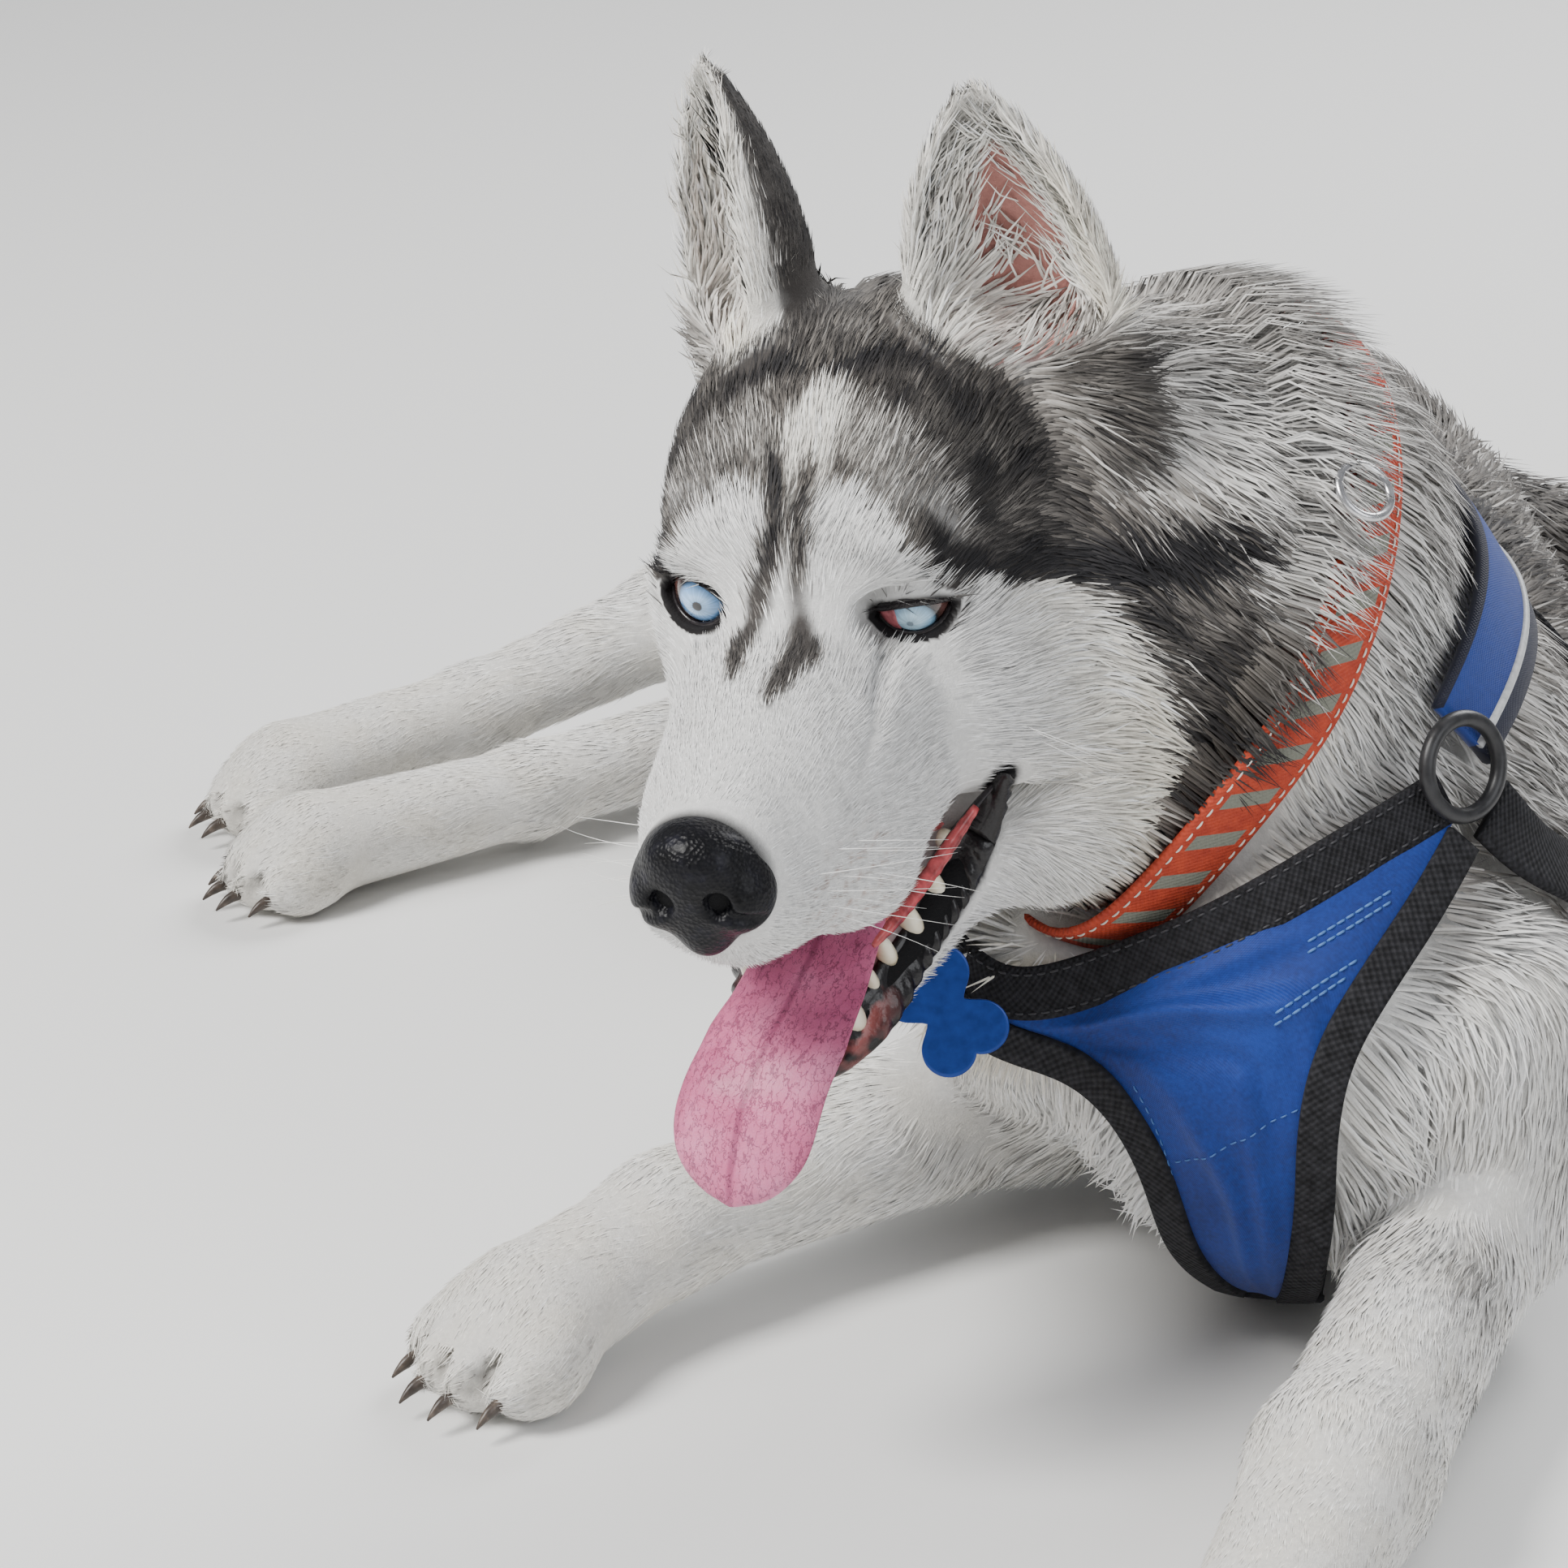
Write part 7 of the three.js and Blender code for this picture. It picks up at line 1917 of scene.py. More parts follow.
r = ramp(nt, [(0.25, (0.0015, 0.0015, 0.002)), (0.55, (0.004, 0.004, 0.006)), (0.8, (0.014, 0.014, 0.022))])
link(nt, nz.outputs["Fac"], r.inputs["Fac"])
link(nt, r.outputs["Color"], b.inputs["Base Color"])
b.inputs["Roughness"].default_value = 0.42
b.inputs["Specular IOR Level"].default_value = 0.17
b.inputs["Coat Weight"].default_value = 0.06
b.inputs["Coat Roughness"].default_value = 0.14
bp = bump_node(nt, b, vo.outputs["Distance"], 0.55, 0.0007)
finish_piece(nose, m, "nose_pad", "nose")

# ---------------------------------------------------------------- eyes
def eyeball(side):
    e = EYES[side]
    g = unit(e["gaze"])
    up = unit(np.array([0, 0, 1.0]) - g * g[2])
    ri = np.cross(g, up)
    rings = np.concatenate([np.linspace(0.02, 0.62, 40), np.linspace(0.68, np.pi - 0.02, 26)])
    nseg = 64
    a = np.arange(nseg) * 2 * np.pi / nseg
    rad = EYE_R + 0.75 * np.clip(1 - (rings / 0.56) ** 2, 0, 1) ** 1.2
    sx, cz = np.sin(rings) * rad, np.cos(rings) * rad
    V_ = e["at"] + (ri * np.cos(a)[:, None] + up * np.sin(a)[:, None])[None] * sx[:, None, None] + g * cz[:, None, None]
    V_ = V_.reshape(-1, 3)
    f, caps = [], []
    R_ = len(rings)
    for i in range(R_ - 1):
        for k in range(nseg):
            k2 = (k + 1) % nseg
            f.append([i * nseg + k, i * nseg + k2, (i + 1) * nseg + k2, (i + 1) * nseg + k])
    V_ = np.concatenate([V_, [e["at"] + g * rad[0]], [e["at"] - g * rad[-1]]])
    for k in range(nseg):
        k2 = (k + 1) % nseg
        caps.append([R_ * nseg, k2, k])
        caps.append([R_ * nseg + 1, (R_ - 1) * nseg + k, (R_ - 1) * nseg + k2])
    ob = head_object(f"eyeball_{side}", V_, [np.array(f), np.array(caps)])
    rr = np.concatenate([np.repeat(sx, nseg), [0, 0]])
    ang = np.concatenate([np.tile(a, R_), [0, 0]])
    back = np.concatenate([np.repeat(rings > 1.2, nseg), [False, True]])
    v = np.stack([np.cos(ang) * rr, np.sin(ang) * rr, np.where(back, 20.0, 0.0)], 1) * 0.1
    at = ob.data.attributes.new("gaze", "FLOAT_VECTOR", "POINT")
    at.data.foreach_set("vector", v.astype(F32).ravel())
    return ob


def eye_material(name, pupil, pupil_col, inner, outer_c):
    m, nt, b = nodes_of(name)
    at = nt.nodes.new("ShaderNodeAttribute")
    at.attribute_name = "gaze"
    ln = nt.nodes.new("ShaderNodeVectorMath")
    ln.operation = "LENGTH"
    link(nt, at.outputs["Vector"], ln.inputs[0])
    nrm = nt.nodes.new("ShaderNodeVectorMath")
    nrm.operation = "NORMALIZE"
    link(nt, at.outputs["Vector"], nrm.inputs[0])
    streak = nt.nodes.new("ShaderNodeTexNoise")
    streak.inputs["Scale"].default_value = 9
    streak.inputs["Detail"].default_value = 5
    link(nt, nrm.outputs["Vector"], streak.inputs["Vector"])
    wob = nt.nodes.new("ShaderNodeMath")
    wob.operation = "MULTIPLY_ADD"
    link(nt, streak.outputs["Fac"], wob.inputs[0])
    wob.inputs[1].default_value = 0.05
    link(nt, ln.outputs["Value"], wob.inputs[2])
    r = ramp(nt, [(0.0, pupil_col), (pupil, pupil_col), (pupil + 0.035, tuple(c * 0.75 for c in inner)), (0.34, inner), (0.60, outer_c), (0.70, tuple(c * 0.40 for c in outer_c)), (0.755, (0.012, 0.012, 0.016)), (0.80, (0.030, 0.018, 0.015)), (0.95, (0.10, 0.045, 0.04))])
    link(nt, wob.outputs["Value"], r.inputs["Fac"])
    s2 = nt.nodes.new("ShaderNodeMapRange")
    s2.inputs["From Min"].default_value = 0.35
    s2.inputs["From Max"].default_value = 0.65
    s2.inputs["To Min"].default_value = 0.80
    s2.inputs["To Max"].default_value = 1.18
    link(nt, streak.outputs["Fac"], s2.inputs["Value"])
    sc_ = nt.nodes.new("ShaderNodeVectorMath")
    sc_.operation = "SCALE"
    link(nt, r.outputs["Color"], sc_.inputs[0])
    link(nt, s2.outputs["Result"], sc_.inputs["Scale"])
    link(nt, sc_.outputs["Vector"], b.inputs["Base Color"])
    b.inputs["Roughness"].default_value = 0.18
    b.inputs["Coat Weight"].default_value = 1.0
    b.inputs["Coat Roughness"].default_value = 0.02
    b.inputs["Specular IOR Level"].default_value = 0.5
    return m


finish_piece(eyeball("right"), eye_material("eye_right", 0.165, (0.003, 0.004, 0.006), (0.36, 0.60, 0.92), (0.22, 0.44, 0.80)), "eye_glass", "eye_right")
finish_piece(eyeball("left"), eye_material("eye_left", 0.11, (0.08, 0.14, 0.19), (0.42, 0.63, 0.78), (0.26, 0.46, 0.64)), "eye_glass", "eye_left")


def wet_black(name, base=(0.008, 0.007, 0.008), rough=0.22, scale=500, bump=0.0005):
    m, nt, b = nodes_of(name)
    nz = noise_node(nt, scale, 3)
    r = ramp(nt, [(0.3, tuple(c * 0.6 for c in base)), (0.7, tuple(c * 2.2 for c in base))])
    link(nt, nz.outputs["Fac"], r.inputs["Fac"])
    link(nt, r.outputs["Color"], b.inputs["Base Color"])
    b.inputs["Roughness"].default_value = rough
    b.inputs["Specular IOR Level"].default_value = 0.25
    b.inputs["Coat Weight"].default_value = 0.22
    b.inputs["Coat Roughness"].default_value = 0.08
    bump_node(nt, b, nz.outputs["Fac"], 0.5, bump)
    return m


def almond(e, grow=0.0, n=44):
    """Points round the almond, from the inner corner over the top and back below."""
    w = e["half"] + grow
    pts = []
    for h, s in ((e["up"] + grow, 1), (e["low"] + grow, -1)):
        r_ = (w * w + h * h) / (2 * h)
        c = r_ - h
        A = math.asin(min(w / r_, 1.0))
        t = np.linspace(-A, A, n)
        row = np.stack([r_ * np.sin(t), (r_ * np.cos(t) - c) * s], 1)
        pts.append(row if s > 0 else row[::-1])
    return np.concatenate([pts[0], pts[1][1:-1]])


lid_mat = wet_black("lid", (0.010, 0.008, 0.009), 0.3, 900, 0.0002)
for side, e in EYES.items():
    f, ou, up = eye_axes(e)
    ab = almond(e, 0.5)
    R1 = EYE_R + 1.0
    z = np.sqrt(np.maximum(R1 * R1 - ab[:, 0] ** 2 - ab[:, 1] ** 2, 0.5))
    path = e["at"] + ou * ab[:, :1] + up * ab[:, 1:] + f * z[:, None]
    nrm = path - e["at"]
    corner = np.abs(ab[:, 0]) / (e["half"] + 0.5)
    Vl, fl, cl = sweep(path, nrm, 1.25 + 0.35 * (1 - corner), 1.05, 10, True)
    ob = head_object(f"lid_rim_{side}", Vl, [fl])
    finish_piece(ob, lid_mat, "nose_pad")

rl = np.random.default_rng(9)
lv, lf, n0 = [], [], 0
for side, e in EYES.items():
    f, ou, up = eye_axes(e)
    ab = almond(e, 1.3, 60)[:60]
    for k in range(6, 58):
        a0, b0 = ab[k]
        z0 = math.sqrt(max((EYE_R + 1.6) ** 2 - a0 * a0 - b0 * b0, 1.0))
        root = e["at"] + ou * a0 + up * b0 + f * z0
        out_ = unit(ou * a0 * 0.05 + up * 0.35 + f * 1.0 + rl.normal(0, 0.12, 3) + ou * 0.03 * a0)
        ln_ = rl.uniform(3.2, 5.4)
        t = np.linspace(0, 1, 5)[:, None]
        pth = root + out_ * ln_ * t + (up * 0.25 - f * 0.1) * ln_ * t**2 * 0.6
        v_, f__, c_ = sweep(pth, np.tile([up], (5, 1)), 0.17 * (1 - 0.85 * t[:, 0]), 0.17 * (1 - 0.85 * t[:, 0]), 3)
        lv.append(v_)
        lf.append(np.concatenate([f__[:, [0, 1, 2]], f__[:, [0, 2, 3]], c_]) + n0)
        n0 += len(v_)
finish_piece(head_object("lashes", np.concatenate(lv), [np.concatenate(lf)]), lid_mat, "nose_pad")

# the third lid, a red fold over the inner corner of the squinting eye
e = EYES["left"]
f, ou, up = eye_axes(e)
gu, gv = np.meshgrid(np.linspace(0, 1, 14), np.linspace(-1, 1, 16), indexing="ij")
edge_at = -4.4 - 1.2 * (gv * 0.9) ** 2
a_ = -12.0 + (edge_at + 12.0) * gu
b_ = gv * 7.2
lay = []
for rr in (EYE_R + 0.85, EYE_R - 0.8):
    rad = rr - 0.45 * gu**6 if rr > EYE_R else rr
    z = np.sqrt(np.maximum(rad**2 - a_**2 - b_**2, 1.0))
    lay.append((e["at"] + a_[..., None] * ou + b_[..., None] * up + z[..., None] * f).reshape(-1, 3))
nu, nv = gu.shape
ff = []
idx = lambda L_, i, j: L_ * nu * nv + i * nv + j
for L_ in (0, 1):
    for i in range(nu - 1):
        for j in range(nv - 1):
            ff.append([idx(L_, i, j), idx(L_, i + 1, j), idx(L_, i + 1, j + 1), idx(L_, i, j + 1)])
for j in range(nv - 1):
    ff.append([idx(0, 0, j), idx(0, 0, j + 1), idx(1, 0, j + 1), idx(1, 0, j)])
    ff.append([idx(0, nu - 1, j), idx(1, nu - 1, j), idx(1, nu - 1, j + 1), idx(0, nu - 1, j + 1)])
for i in range(nu - 1):
    ff.append([idx(0, i, 0), idx(1, i, 0), idx(1, i + 1, 0), idx(0, i + 1, 0)])
    ff.append([idx(0, i, nv - 1), idx(0, i + 1, nv - 1), idx(1, i + 1, nv - 1), idx(1, i, nv - 1)])
third = head_object("third_lid_left", np.concatenate(lay), [np.array(ff)])
finish_piece(third, wet_black("third_lid", (0.26, 0.075, 0.085), 0.25, 300, 0.0003), "tongue_skin")


# ---------------------------------------------------------------- mouth
def skin_head(Q):
    return skin_field(from_head(np.asarray(Q, F32)).astype(F32))


def closed_head(Q):
    """The head's form without the mouth's cut."""
    return smin(prims(Q, HEAD), prims(Q, JAW), 10)


def lip_x(ys, zs, table, side, inset=0.8, x1=70.0):
    """How far out the form of a table reaches at places on the mouth's line."""
    out = []
    for y, z in zip(ys, zs):
        xs = np.linspace(0, x1, 141)
        q = np.stack([xs * side, np.full(141, y), np.full(141, z)], 1).astype(F32)
        v = prims(q, table) + inset
        inside = np.nonzero(v < 0)[0]
        out.append(xs[inside[-1]] if len(inside) else 0.0)
    return np.array(out) * side


def smooth1(a, k=3):
    for _ in range(k):
        b_ = a.copy()
        b_[1:-1] = 0.25 * a[:-2] + 0.5 * a[1:-1] + 0.25 * a[2:]
        a = b_
    return a


O2 = np.concatenate([LIP_O, (LIP_O * np.array([-1, 1, 1]))[::-1][1:]])
I2 = np.concatenate([LIP_I, (LIP_I * np.array([-1, 1, 1]))[::-1][1:]])
# the two curves keep step at their marks
marks_o = np.array([np.argmin(((catmull(O2, 400) - p) ** 2).sum(1)) for p in O2])
marks_i = np.array([np.argmin(((catmull(I2, 400) - p) ** 2).sum(1)) for p in I2])
tt_ = np.linspace(0, len(O2) - 1, 200)
io = np.interp(tt_, np.arange(len(O2)), marks_o)
ii = np.interp(tt_, np.arange(len(I2)), marks_i)
FO, FI = catmull(O2, 400), catmull(I2, 400)
pickf = lambda F_, t: np.stack([np.interp(t, np.arange(401), F_[:, k]) for k in range(3)], 1)
Lo, Li = pickf(FO, io), pickf(FI, ii)
lip_path = (Lo + Li) / 2
across = Li - Lo
half_w = np.linalg.norm(across, axis=1) / 2 + 1.0
ltan = np.gradient(lip_path, axis=0)
lip_n = np.cross(ltan, across)
outw = lip_path - np.array([0, 0, -100.0])
outw[:, 0] = lip_path[:, 0] * 1.5
lip_n *= np.sign((lip_n * outw).sum(1))[:, None]
lip_n /= np.linalg.norm(lip_n, axis=1)[:, None]
frontness = step01(-lip_path[:, 1], 30, 50)
n_l = 22
al = np.arange(n_l) * 2 * np.pi / n_l
ax_l = across / np.linalg.norm(across, axis=1)[:, None]
# a shallow gutter between a raised outer edge and the teeth
xs_l = np.cos(al)
top_l = np.where(np.sin(al) >= 0, 1.0, 0.0)
gut = -1.5 * np.exp(-((xs_l - 0.15) / 0.38) ** 2) * top_l
kk = np.arange(200)[:, None]
bumps = 0.85 * np.sin(kk * 1.25 + 3 * xs_l[None]) * (xs_l[None] < -0.35) * top_l[None] * (1 - frontness)[:, None] + 0.5 * np.sin(kk * 0.55 + 2.2 * xs_l[None]) * top_l[None] * (0.35 + 0.65 * frontness)[:, None]
offs = ax_l[:, None] * (xs_l[None] * half_w[:, None])[..., None] + lip_n[:, None] * (np.sin(al)[None] * (2.6 + 0.9 * frontness)[:, None] + gut[None] * np.minimum(half_w / 6, 1)[:, None] + bumps)[..., None]
lipV = np.concatenate([(lip_path[:, None] + offs).reshape(-1, 3), lip_path[:1], lip_path[-1:]])
i_, k_ = np.meshgrid(np.arange(199), np.arange(n_l), indexing="ij")
i_, k_ = i_.ravel(), k_.ravel()
lipF = np.stack([i_ * n_l + k_, (i_ + 1) * n_l + k_, (i_ + 1) * n_l + (k_ + 1) % n_l, i_ * n_l + (k_ + 1) % n_l], 1)
k_ = np.arange(n_l)
lipC = np.concatenate([np.stack([np.full(n_l, 200 * n_l), k_, (k_ + 1) % n_l], 1), np.stack([np.full(n_l, 200 * n_l + 1), 199 * n_l + (k_ + 1) % n_l, 199 * n_l + k_], 1)])
lip = head_object("lower_lip", lipV, [lipF, lipC])
m, nt, b = nodes_of("lip")
nz = noise_node(nt, 125, 2, 0.5)
tc = nt.nodes.new("ShaderNodeAttribute")
tc.attribute_name = "front"
mott = nt.nodes.new("ShaderNodeMath")
mott.operation = "MULTIPLY"
r1_ = ramp(nt, [(0.46, (0, 0, 0)), (0.60, (1, 1, 1))])
link(nt, nz.outputs["Fac"], r1_.inputs["Fac"])
link(nt, r1_.outputs["Color"], mott.inputs[0])
link(nt, tc.outputs["Fac"], mott.inputs[1])
mixc = nt.nodes.new("ShaderNodeMix")
mixc.data_type = "RGBA"
mixc.inputs[6].default_value = (0.007, 0.006, 0.007, 1)
mixc.inputs[7].default_value = (0.46, 0.13, 0.12, 1)
link(nt, mott.outputs["Value"], mixc.inputs[0])
link(nt, mixc.outputs[2], b.inputs["Base Color"])
b.inputs["Roughness"].default_value = 0.30
b.inputs["Specular IOR Level"].default_value = 0.28
b.inputs["Coat Weight"].default_value = 0.25
b.inputs["Coat Roughness"].default_value = 0.07
bump_node(nt, b, noise_node(nt, 700, 3).outputs["Fac"], 0.6, 0.0006)
at = lip.data.attributes.new("front", "FLOAT", "POINT")
fr = np.concatenate([np.repeat(frontness, n_l) * np.tile(0.35 + 0.65 * step01(xs_l, -0.7, 0.2), 200), frontness[:1], frontness[-1:]])
at.data.foreach_set("value", (0.9 * fr).astype(F32))
finish_piece(lip, m, "nose_pad")

# gum inside the lip, and the teeth on it
gum_src = np.array([[30, 12, -79], [24.5, 8, -85], [21.5, -4, -91], [18.0, -17, -95], [14.5, -31, -99], [10.5, -42, -106], [6, -48, -110], [0, -50, -111]], float)
gum_pts = np.concatenate([gum_src, (gum_src * np.array([-1, 1, 1]))[::-1][1:]])
gum_path = catmull(gum_pts, 90)
gn = np.tile(np.array([[0, -0.4, 0.9]]), (len(gum_path), 1))
gV, gF, gC = sweep(gum_path, gn, 4.4, 5.6, 12, False, wave=lambda s, a: 1 + 0.07 * np.sin(s * 110)[:, None] * np.ones((1, len(a))))
gum = head_object("gum", gV, [gF, gC])
gum_mat = wet_black("gum", (0.40, 0.085, 0.085), 0.28, 260, 0.0005)
finish_piece(gum, gum_mat, "tongue_skin", "lower_jaw")


def tooth(name, at, r_, h, flat, lean, blunt, turn_):
    """A crown: a lofted, rounded cone."""
    up = unit(np.array([0, -0.42, 0.9]) + np.array(lean))
    s = unit(np.cross([math.cos(turn_), math.sin(turn_), 0], up))
    t = np.cross(up, s)
    prof = [(-0.30, 0.80), (0.0, 1.0), (0.25, 0.98), (0.5, 0.84), (0.72, 0.62 + 0.12 * blunt), (0.87, 0.38 + 0.22 * blunt), (0.96, 0.18 + 0.16 * blunt)]
    n = 18
    a = np.arange(n) * 2 * np.pi / n
    V_ = []
    for k, w in prof:
        V_.append(np.array(at) + up * h * k + (s * np.cos(a)[:, None] * r_ + t * np.sin(a)[:, None] * r_ * flat) * w)
    V_ = np.concatenate(V_ + [[np.array(at) + up * h], [np.array(at) - up * h * 0.3]])
    f_, c_ = [], []
    K = len(prof)
    for i in range(K - 1):
        for k in range(n):
            k2 = (k + 1) % n
            f_.append([i * n + k, i * n + k2, (i + 1) * n + k2, (i + 1) * n + k])
    for k in range(n):
        k2 = (k + 1) % n
        c_.append([K * n, (K - 1) * n + k, (K - 1) * n + k2])
        c_.append([K * n + 1, k2, k])
    return head_object(name, V_, [np.array(f_), np.array(c_)])


m, nt, b = nodes_of("teeth")
nz = noise_node(nt, 120, 3)
r = ramp(nt, [(0.3, (0.66, 0.55, 0.36)), (0.55, (0.82, 0.76, 0.60)), (0.8, (0.86, 0.83, 0.72))])
link(nt, nz.outputs["Fac"], r.inputs["Fac"])
link(nt, r.outputs["Color"], b.inputs["Base Color"])
b.inputs["Roughness"].default_value = 0.22
b.inputs["Coat Weight"].default_value = 0.5
b.inputs["Subsurface Weight"].default_value = 0.0
teeth_mat = m
TEETH = [(14.8, -47.5, -112, 4.3, 13.0, 0.85, 0.6, 0.3), (18.6, -38.5, -104.5, 2.9, 7.0, 0.7, 1.0, 1.0), (21.6, -31.0, -99.5, 4.0, 9.4, 0.66, 0.8, 1.0), (25.6, -18.5, -96.5, 4.8, 10.2, 0.66, 0.7, 1.1), (29.2, -5.5, -92.0, 5.1, 10.6, 0.66, 0.7, 1.2), (32.2, 6.0, -85.5, 5.0, 10.4, 0.68, 0.6, 1.3)]
for i, (x, y, z, r_, h, flat, blunt, tn) in enumerate(TEETH):
    for side in (1, -1):
        ob = tooth(f"tooth_{'left' if side > 0 else 'right'}_{i + 1}", (x * side, y, z), r_, h, flat, (0.12 * side, 0, 0), blunt, (math.pi / 2 - 0.35) if side > 0 else (math.pi / 2 + 0.35))
        finish_piece(ob, teeth_mat, "claw_horn")
for i, x in enumerate((2.4, 6.6, 10.2)):
    for side in (1, -1):
        ob = tooth(f"incisor_{'left' if side > 0 else 'right'}_{i + 1}", (x * side, -53.0 + x * 0.25, -109.5), 1.9, 5.2, 0.7, (0.03 * side, -0.15, 0), 1.0, 0.0)
        finish_piece(ob, teeth_mat, "claw_horn")

# upper lip edge, and the gum inside it
upper_gum_mat = wet_black("upper_gum", (0.27, 0.045, 0.048), 0.26, 240, 0.0005)
ul = catmull([[52, 7, -59], [46, 2, -64], [41, -6, -69], [37, -18, -73], [34, -30, -75.5], [31.5, -42, -77]], 30)
for side, nm in ((1, "left"), (-1, "right")):
    p = ul * np.array([side, 1, 1])
    tp = np.sin(np.pi * np.linspace(0.08, 0.97, len(p))) ** 0.5
    V_, F_, C_ = sweep(p, np.tile([[0, 0, 1.0]], (len(p), 1)), 1.5 * tp, 1.2 * tp, 10)
    finish_piece(head_object(f"upper_lip_{nm}", V_, [F_, C_]), lid_mat, "nose_pad")
    q = catmull([[45, -1, -65.5], [41.5, -8, -69.5], [37.5, -19, -74], [34, -31, -77], [31.0, -44, -79], [27.5, -54, -81]], 30) * np.array([side, 1, 1])
    tq = np.sin(np.pi * np.linspace(0.08, 0.96, len(q))) ** 0.5
    V_, F_, C_ = sweep(q, np.tile([[0, 0, 1.0]], (len(q), 1)), 2.1 * tq, 2.9 * tq, 12, False, wave=lambda s, a: 1 + 0.08 * np.sin(s * 70)[:, None] * np.ones((1, len(a))))
    finish_piece(head_object(f"upper_gum_{nm}", V_, [F_, C_]), upper_gum_mat, "tongue_skin")

# ---------------------------------------------------------------- tongue
TP = catmull([[6, 4, -79], [5, -14, -85.5], [4, -34, -93], [2, -56, -99.5], [-1, -76, -105.0], [-4, -89, -113], [-7, -98, -126], [-9, -104, -141]], 70)
K, NA = len(TP), 80
t_ = np.linspace(0, 1, K)
tw = 44 * (0.60 + 0.40 * np.minimum(t_ / 0.6, 1)) * np.where(t_ > 0.80, np.sqrt(np.maximum(1 - ((t_ - 0.80) / 0.202) ** 2, 0.004)), 1.0)
tt = 8.2 * (1 - 0.45 * t_) * np.where(t_ > 0.93, np.sqrt(np.maximum(1 - ((t_ - 0.93) / 0.071) ** 2, 0.03)), 1.0)
tan = np.gradient(TP, axis=0)
tan /= np.linalg.norm(tan, axis=1)[:, None]
tn_ = -np.cross(tan, np.tile([[1.0, 0, 0]], (K, 1)))
tn_ /= np.linalg.norm(tn_, axis=1)[:, None]
ts_ = np.cross(tn_, tan)
a = np.arange(NA) * 2 * np.pi / NA
ca, sa = np.cos(a), np.sin(a)
xx = np.sign(ca) * np.abs(ca) ** 0.8
groove = -2.6 * np.exp(-((xx * tw[:, None] / 2) ** 2) / 5.0) * (sa > 0)[None] * np.minimum(t_ * 3, 1)[:, None] * (1 - step01(t_, 0.9, 1.0))[:, None]
edge_up = 2.4 * (np.abs(xx) ** 3)[None] * step01(t_, 0.4, 0.8)[:, None]
tv = TP[:, None] + ts_[:, None] * (xx[None] * tw[:, None] / 2)[..., None] + tn_[:, None] * (sa[None] * tt[:, None] / 2 + groove + edge_up + 0.25 * np.sin(t_[:, None] * 38 + xx[None] * 2.0))[..., None]
tv = tv.reshape(-1, 3)
f_, c_ = [], []
for i in range(K - 1):
    for k in range(NA):
        k2 = (k + 1) % NA
        f_.append([i * NA + k, i * NA + k2, (i + 1) * NA + k2, (i + 1) * NA + k])
tv = np.concatenate([tv, TP[:1], TP[-1:] + tan[-1:] * 0.4])
for k in range(NA):
    k2 = (k + 1) % NA
    c_.append([K * NA, k2, k])
    c_.append([K * NA + 1, (K - 1) * NA + k, (K - 1) * NA + k2])
tongue = head_object("tongue_flesh", tv, [np.array(f_), np.array(c_)])
uvt = tongue.data.attributes.new("tongue", "FLOAT_VECTOR", "POINT")
tvv = np.concatenate([np.stack([np.tile(xx, K) * np.repeat(tw / 44, NA), np.repeat(t_, NA), np.tile(sa, K)], 1), [[0, 0, 0]], [[0, 1, 0]]])
uvt.data.foreach_set("vector", tvv.astype(F32).ravel())
m, nt, b = nodes_of("tongue")
at = nt.nodes.new("ShaderNodeAttribute")
at.attribute_name = "tongue"
sep = nt.nodes.new("ShaderNodeSeparateXYZ")
link(nt, at.outputs["Vector"], sep.inputs[0])
n0 = noise_node(nt, 55, 4)
r = ramp(nt, [(0.28, (0.46, 0.095, 0.205)), (0.5, (0.60, 0.150, 0.285)), (0.72, (0.70, 0.235, 0.385))])
link(nt, n0.outputs["Fac"], r.inputs["Fac"])
# fine cracks that run across and along: bumps, and painted shade darkening the colour in them
mp = nt.nodes.new("ShaderNodeMapping")
mp.inputs["Scale"].default_value = (10, 30, 1)
link(nt, at.outputs["Vector"], mp.inputs["Vector"])
dist = nt.nodes.new("ShaderNodeTexNoise")
dist.inputs["Scale"].default_value = 2.2
link(nt, mp.outputs["Vector"], dist.inputs["Vector"])
addv = nt.nodes.new("ShaderNodeVectorMath")
addv.operation = "MULTIPLY_ADD"
link(nt, dist.outputs["Color"], addv.inputs[0])
addv.inputs[1].default_value = (1.6, 1.6, 0)
link(nt, mp.outputs["Vector"], addv.inputs[2])
vc = nt.nodes.new("ShaderNodeTexVoronoi")
vc.feature = "DISTANCE_TO_EDGE"
vc.inputs["Scale"].default_value = 0.9
link(nt, addv.outputs["Vector"], vc.inputs["Vector"])
crack_shade = ramp(nt, [(0.0, (0.30, 0.24, 0.30)), (0.06, (1, 1, 1))])
link(nt, vc.outputs["Distance"], crack_shade.inputs["Fac"])
mul = nt.nodes.new("ShaderNodeMix")
mul.data_type = "RGBA"
mul.blend_type = "MULTIPLY"
mul.inputs[0].default_value = 0.75
link(nt, r.outputs["Color"], mul.inputs[6])
link(nt, crack_shade.outputs["Color"], mul.inputs[7])
# painted shade: darker along the groove down the middle; the colour is also darker towards the side edges
mid_x = maths(nt, "ABSOLUTE", sep.outputs["X"])
mid_r = ramp(nt, [(0.0, (0.62, 0.55, 0.60)), (0.03, (0.70, 0.62, 0.68)), (0.07, (1, 1, 1)), (0.75, (1, 1, 1)), (1.0, (0.80, 0.72, 0.76))])
link(nt, mid_x, mid_r.inputs["Fac"])
mid_m = nt.nodes.new("ShaderNodeMix")
mid_m.data_type = "RGBA"
mid_m.blend_type = "MULTIPLY"
mid_m.inputs[0].default_value = 1.0
link(nt, mul.outputs[2], mid_m.inputs[6])
link(nt, mid_r.outputs["Color"], mid_m.inputs[7])
link(nt, mid_m.outputs[2], b.inputs["Base Color"])
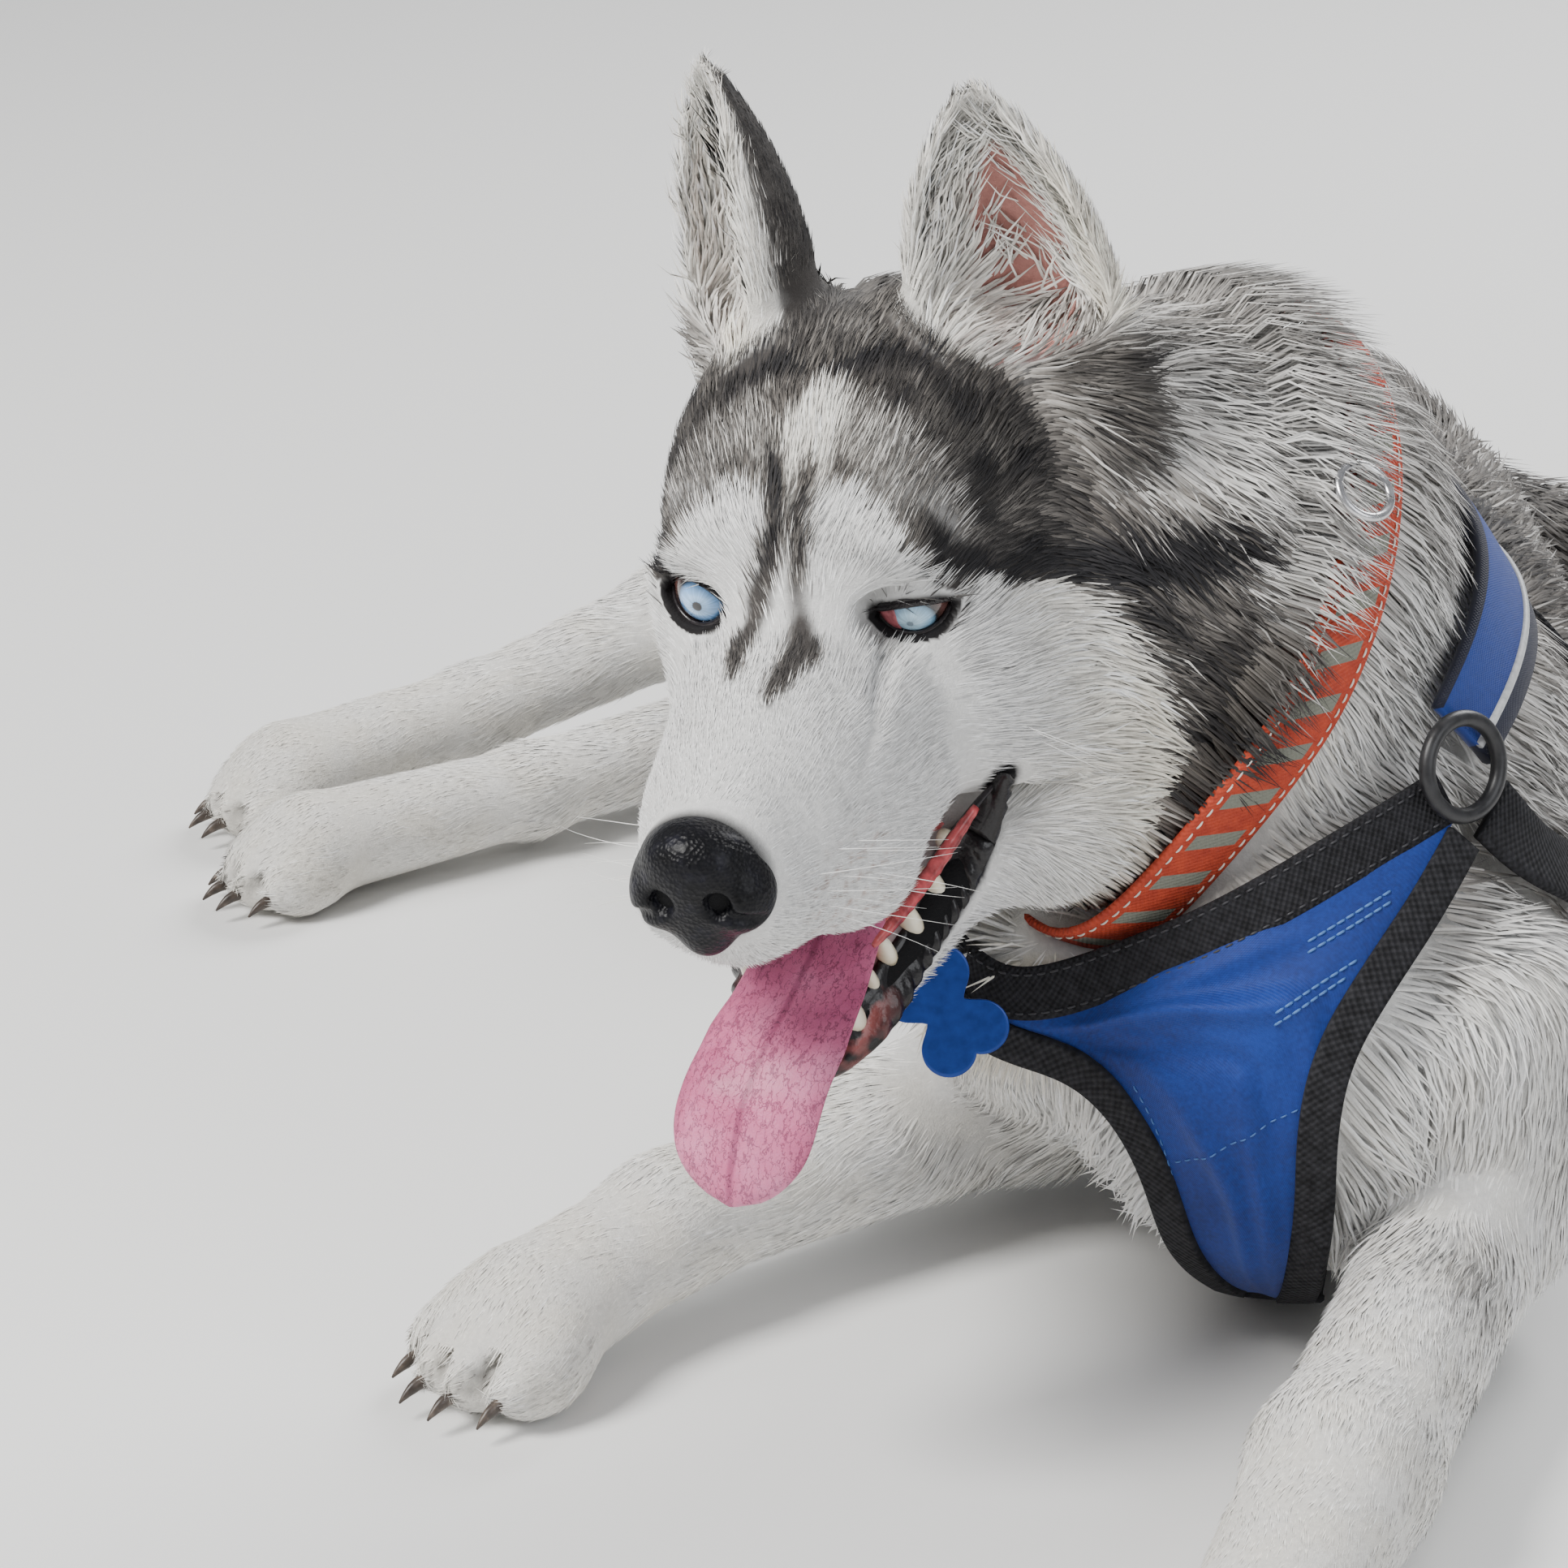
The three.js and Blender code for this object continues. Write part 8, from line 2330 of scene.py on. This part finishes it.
b.inputs["Roughness"].default_value = 0.46
b.inputs["Specular IOR Level"].default_value = 0.32
b.inputs["Coat Weight"].default_value = 0.12
b.inputs["Coat Roughness"].default_value = 0.30
b.inputs["Subsurface Weight"].default_value = 0.12
b.inputs["Subsurface Radius"].default_value = (0.004, 0.0015, 0.001)
b.inputs["Subsurface Scale"].default_value = 0.6
bp1 = bump_node(nt, b, crack_shade.outputs["Color"], 0.5, 0.0005)
bump_node(nt, b, noise_node(nt, 1400, 2).outputs["Fac"], 0.55, 0.0004, bp1)
finish_piece(tongue, m, "tongue_skin", "tongue")

# ---------------------------------------------------------------- whiskers
rngw = np.random.default_rng(77)
wm, nt, b = nodes_of("whisker")
nz = noise_node(nt, 40, 2)
r = ramp(nt, [(0.3, (0.80, 0.79, 0.76)), (0.7, (0.9, 0.9, 0.88))])
link(nt, nz.outputs["Fac"], r.inputs["Fac"])
link(nt, r.outputs["Color"], b.inputs["Base Color"])
b.inputs["Roughness"].default_value = 0.35
VQ = to_head(V)
wv, wf, base_i = [], [], 0
WH = []
for row, (z0, y0, y1, n_) in enumerate(((-34, -70, -88, 3), (-41, -68, -90, 3), (-48, -66, -90, 3), (-54, -66, -86, 2))):
    for y in np.linspace(y0, y1, n_):
        for side in (1, -1):
            WH.append(((side * 40, y + rngw.normal(0, 1.2), z0 + rngw.normal(0, 1.2)), side, rngw.uniform(22, 44)))
for side in (1, -1):
    for x, y, z in ((26, -8, 20), (30, -6, 22), (22, -10, 20)):
        WH.append(((side * x, y - 6, z + 4), side, 24))
    for k in range(3):
        WH.append(((side * 60, 8 + 3 * k, -42 - 3 * k), side, 26))
for at_, side, ln_ in WH:
    tgt = np.array(at_, float)
    cand = np.argmin(((VQ - tgt) ** 2).sum(1))
    p = VQ[cand].astype(float)
    nrm = (VN[cand] @ HR).astype(float)
    d0 = unit(nrm * 0.9 + np.array([side * 0.25, 0.55, -0.25]))
    if at_[2] > 0:
        d0 = unit(nrm + np.array([0, 0.3, 0.9]))
    dd = unit(d0 + np.array([side * 0.05, 0.5, -0.35]) + rngw.normal(0, 0.12, 3))
    s_ = np.linspace(0, 1, 9)
    path = p + d0 * (s_ * ln_)[:, None] * (1 - 0.5 * s_)[:, None] + dd * (ln_ * 0.5 * s_**2)[:, None]
    path[0] -= nrm * 1.0
    V_, F_, C_ = sweep(path, np.tile([nrm], (9, 1)), 0.14 * (1 - s_ * 0.8), 0.14 * (1 - s_ * 0.8), 4)
    wv.append(V_)
    wf.append(np.concatenate([np.stack([F_[:, 0], F_[:, 1], F_[:, 2]], 1), np.stack([F_[:, 0], F_[:, 2], F_[:, 3]], 1), C_]) + base_i)
    base_i += len(V_)
finish_piece(head_object("whiskers", np.concatenate(wv), [np.concatenate(wf)]), wm, "coat_white")
tick("face pieces")


def plain_floor():
    m = bpy.data.materials.new("floor")
    m.use_nodes = True
    m.node_tree.nodes["Principled BSDF"].inputs["Base Color"].default_value = (0.8, 0.8, 0.79, 1)
    m.node_tree.nodes["Principled BSDF"].inputs["Roughness"].default_value = 0.8
    return m


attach(skin, "root")
flesh = ["head", "lower_jaw", "ear_left", "ear_right", "neck", "trunk", "tail", "foreleg_left", "foreleg_right", "hindleg_left", "hindleg_right"]
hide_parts(*flesh)


# ---------------------------------------------------------------- camera, light and floor
cam = bpy.data.objects.new("camera", bpy.data.cameras.new("camera"))
bpy.context.scene.collection.objects.link(cam)
cam.data.sensor_fit = "HORIZONTAL"
cam.data.angle = math.radians(20.0)
cam.location = (0.317925, -1.459225, 0.70)
cam.rotation_euler = (math.radians(68), 0, math.radians(15))
bpy.context.scene.camera = cam


def area(name, at, aim, size, power, colour=(1, 1, 1)):
    l = bpy.data.lights.new(name, "AREA")
    l.shape, l.size, l.energy, l.color = "DISK", size, power, colour
    o = bpy.data.objects.new(name, l)
    bpy.context.scene.collection.objects.link(o)
    o.location = at
    o.rotation_euler = (Vector(aim) - Vector(at)).to_track_quat("-Z", "Y").to_euler()
    return o


area("key", (-1.3, -1.5, 2.2), (0.02, -0.1, 0.15), 1.1, 120, (1.0, 0.985, 0.96))
area("fill", (2.2, -1.4, 1.5), (0.0, -0.1, 0.12), 1.8, 29, (0.95, 0.97, 1.0))
area("back", (0.9, 2.0, 2.0), (0.0, 0.0, 0.2), 1.4, 74)
world = bpy.data.worlds.new("studio")
bpy.context.scene.world = world
world.use_nodes = True
world.node_tree.nodes["Background"].inputs[0].default_value = (0.93, 0.95, 1.0, 1)
world.node_tree.nodes["Background"].inputs[1].default_value = 0.34

floor = mesh_object("floor", [[-6000, -6000, 0], [6000, -6000, 0], [6000, 6000, 0], [-6000, 6000, 0]], [[[0, 1, 2, 3]]], False, shift=np.zeros(3))
floor.data.materials.append(plain_floor())

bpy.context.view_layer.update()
tick("done")
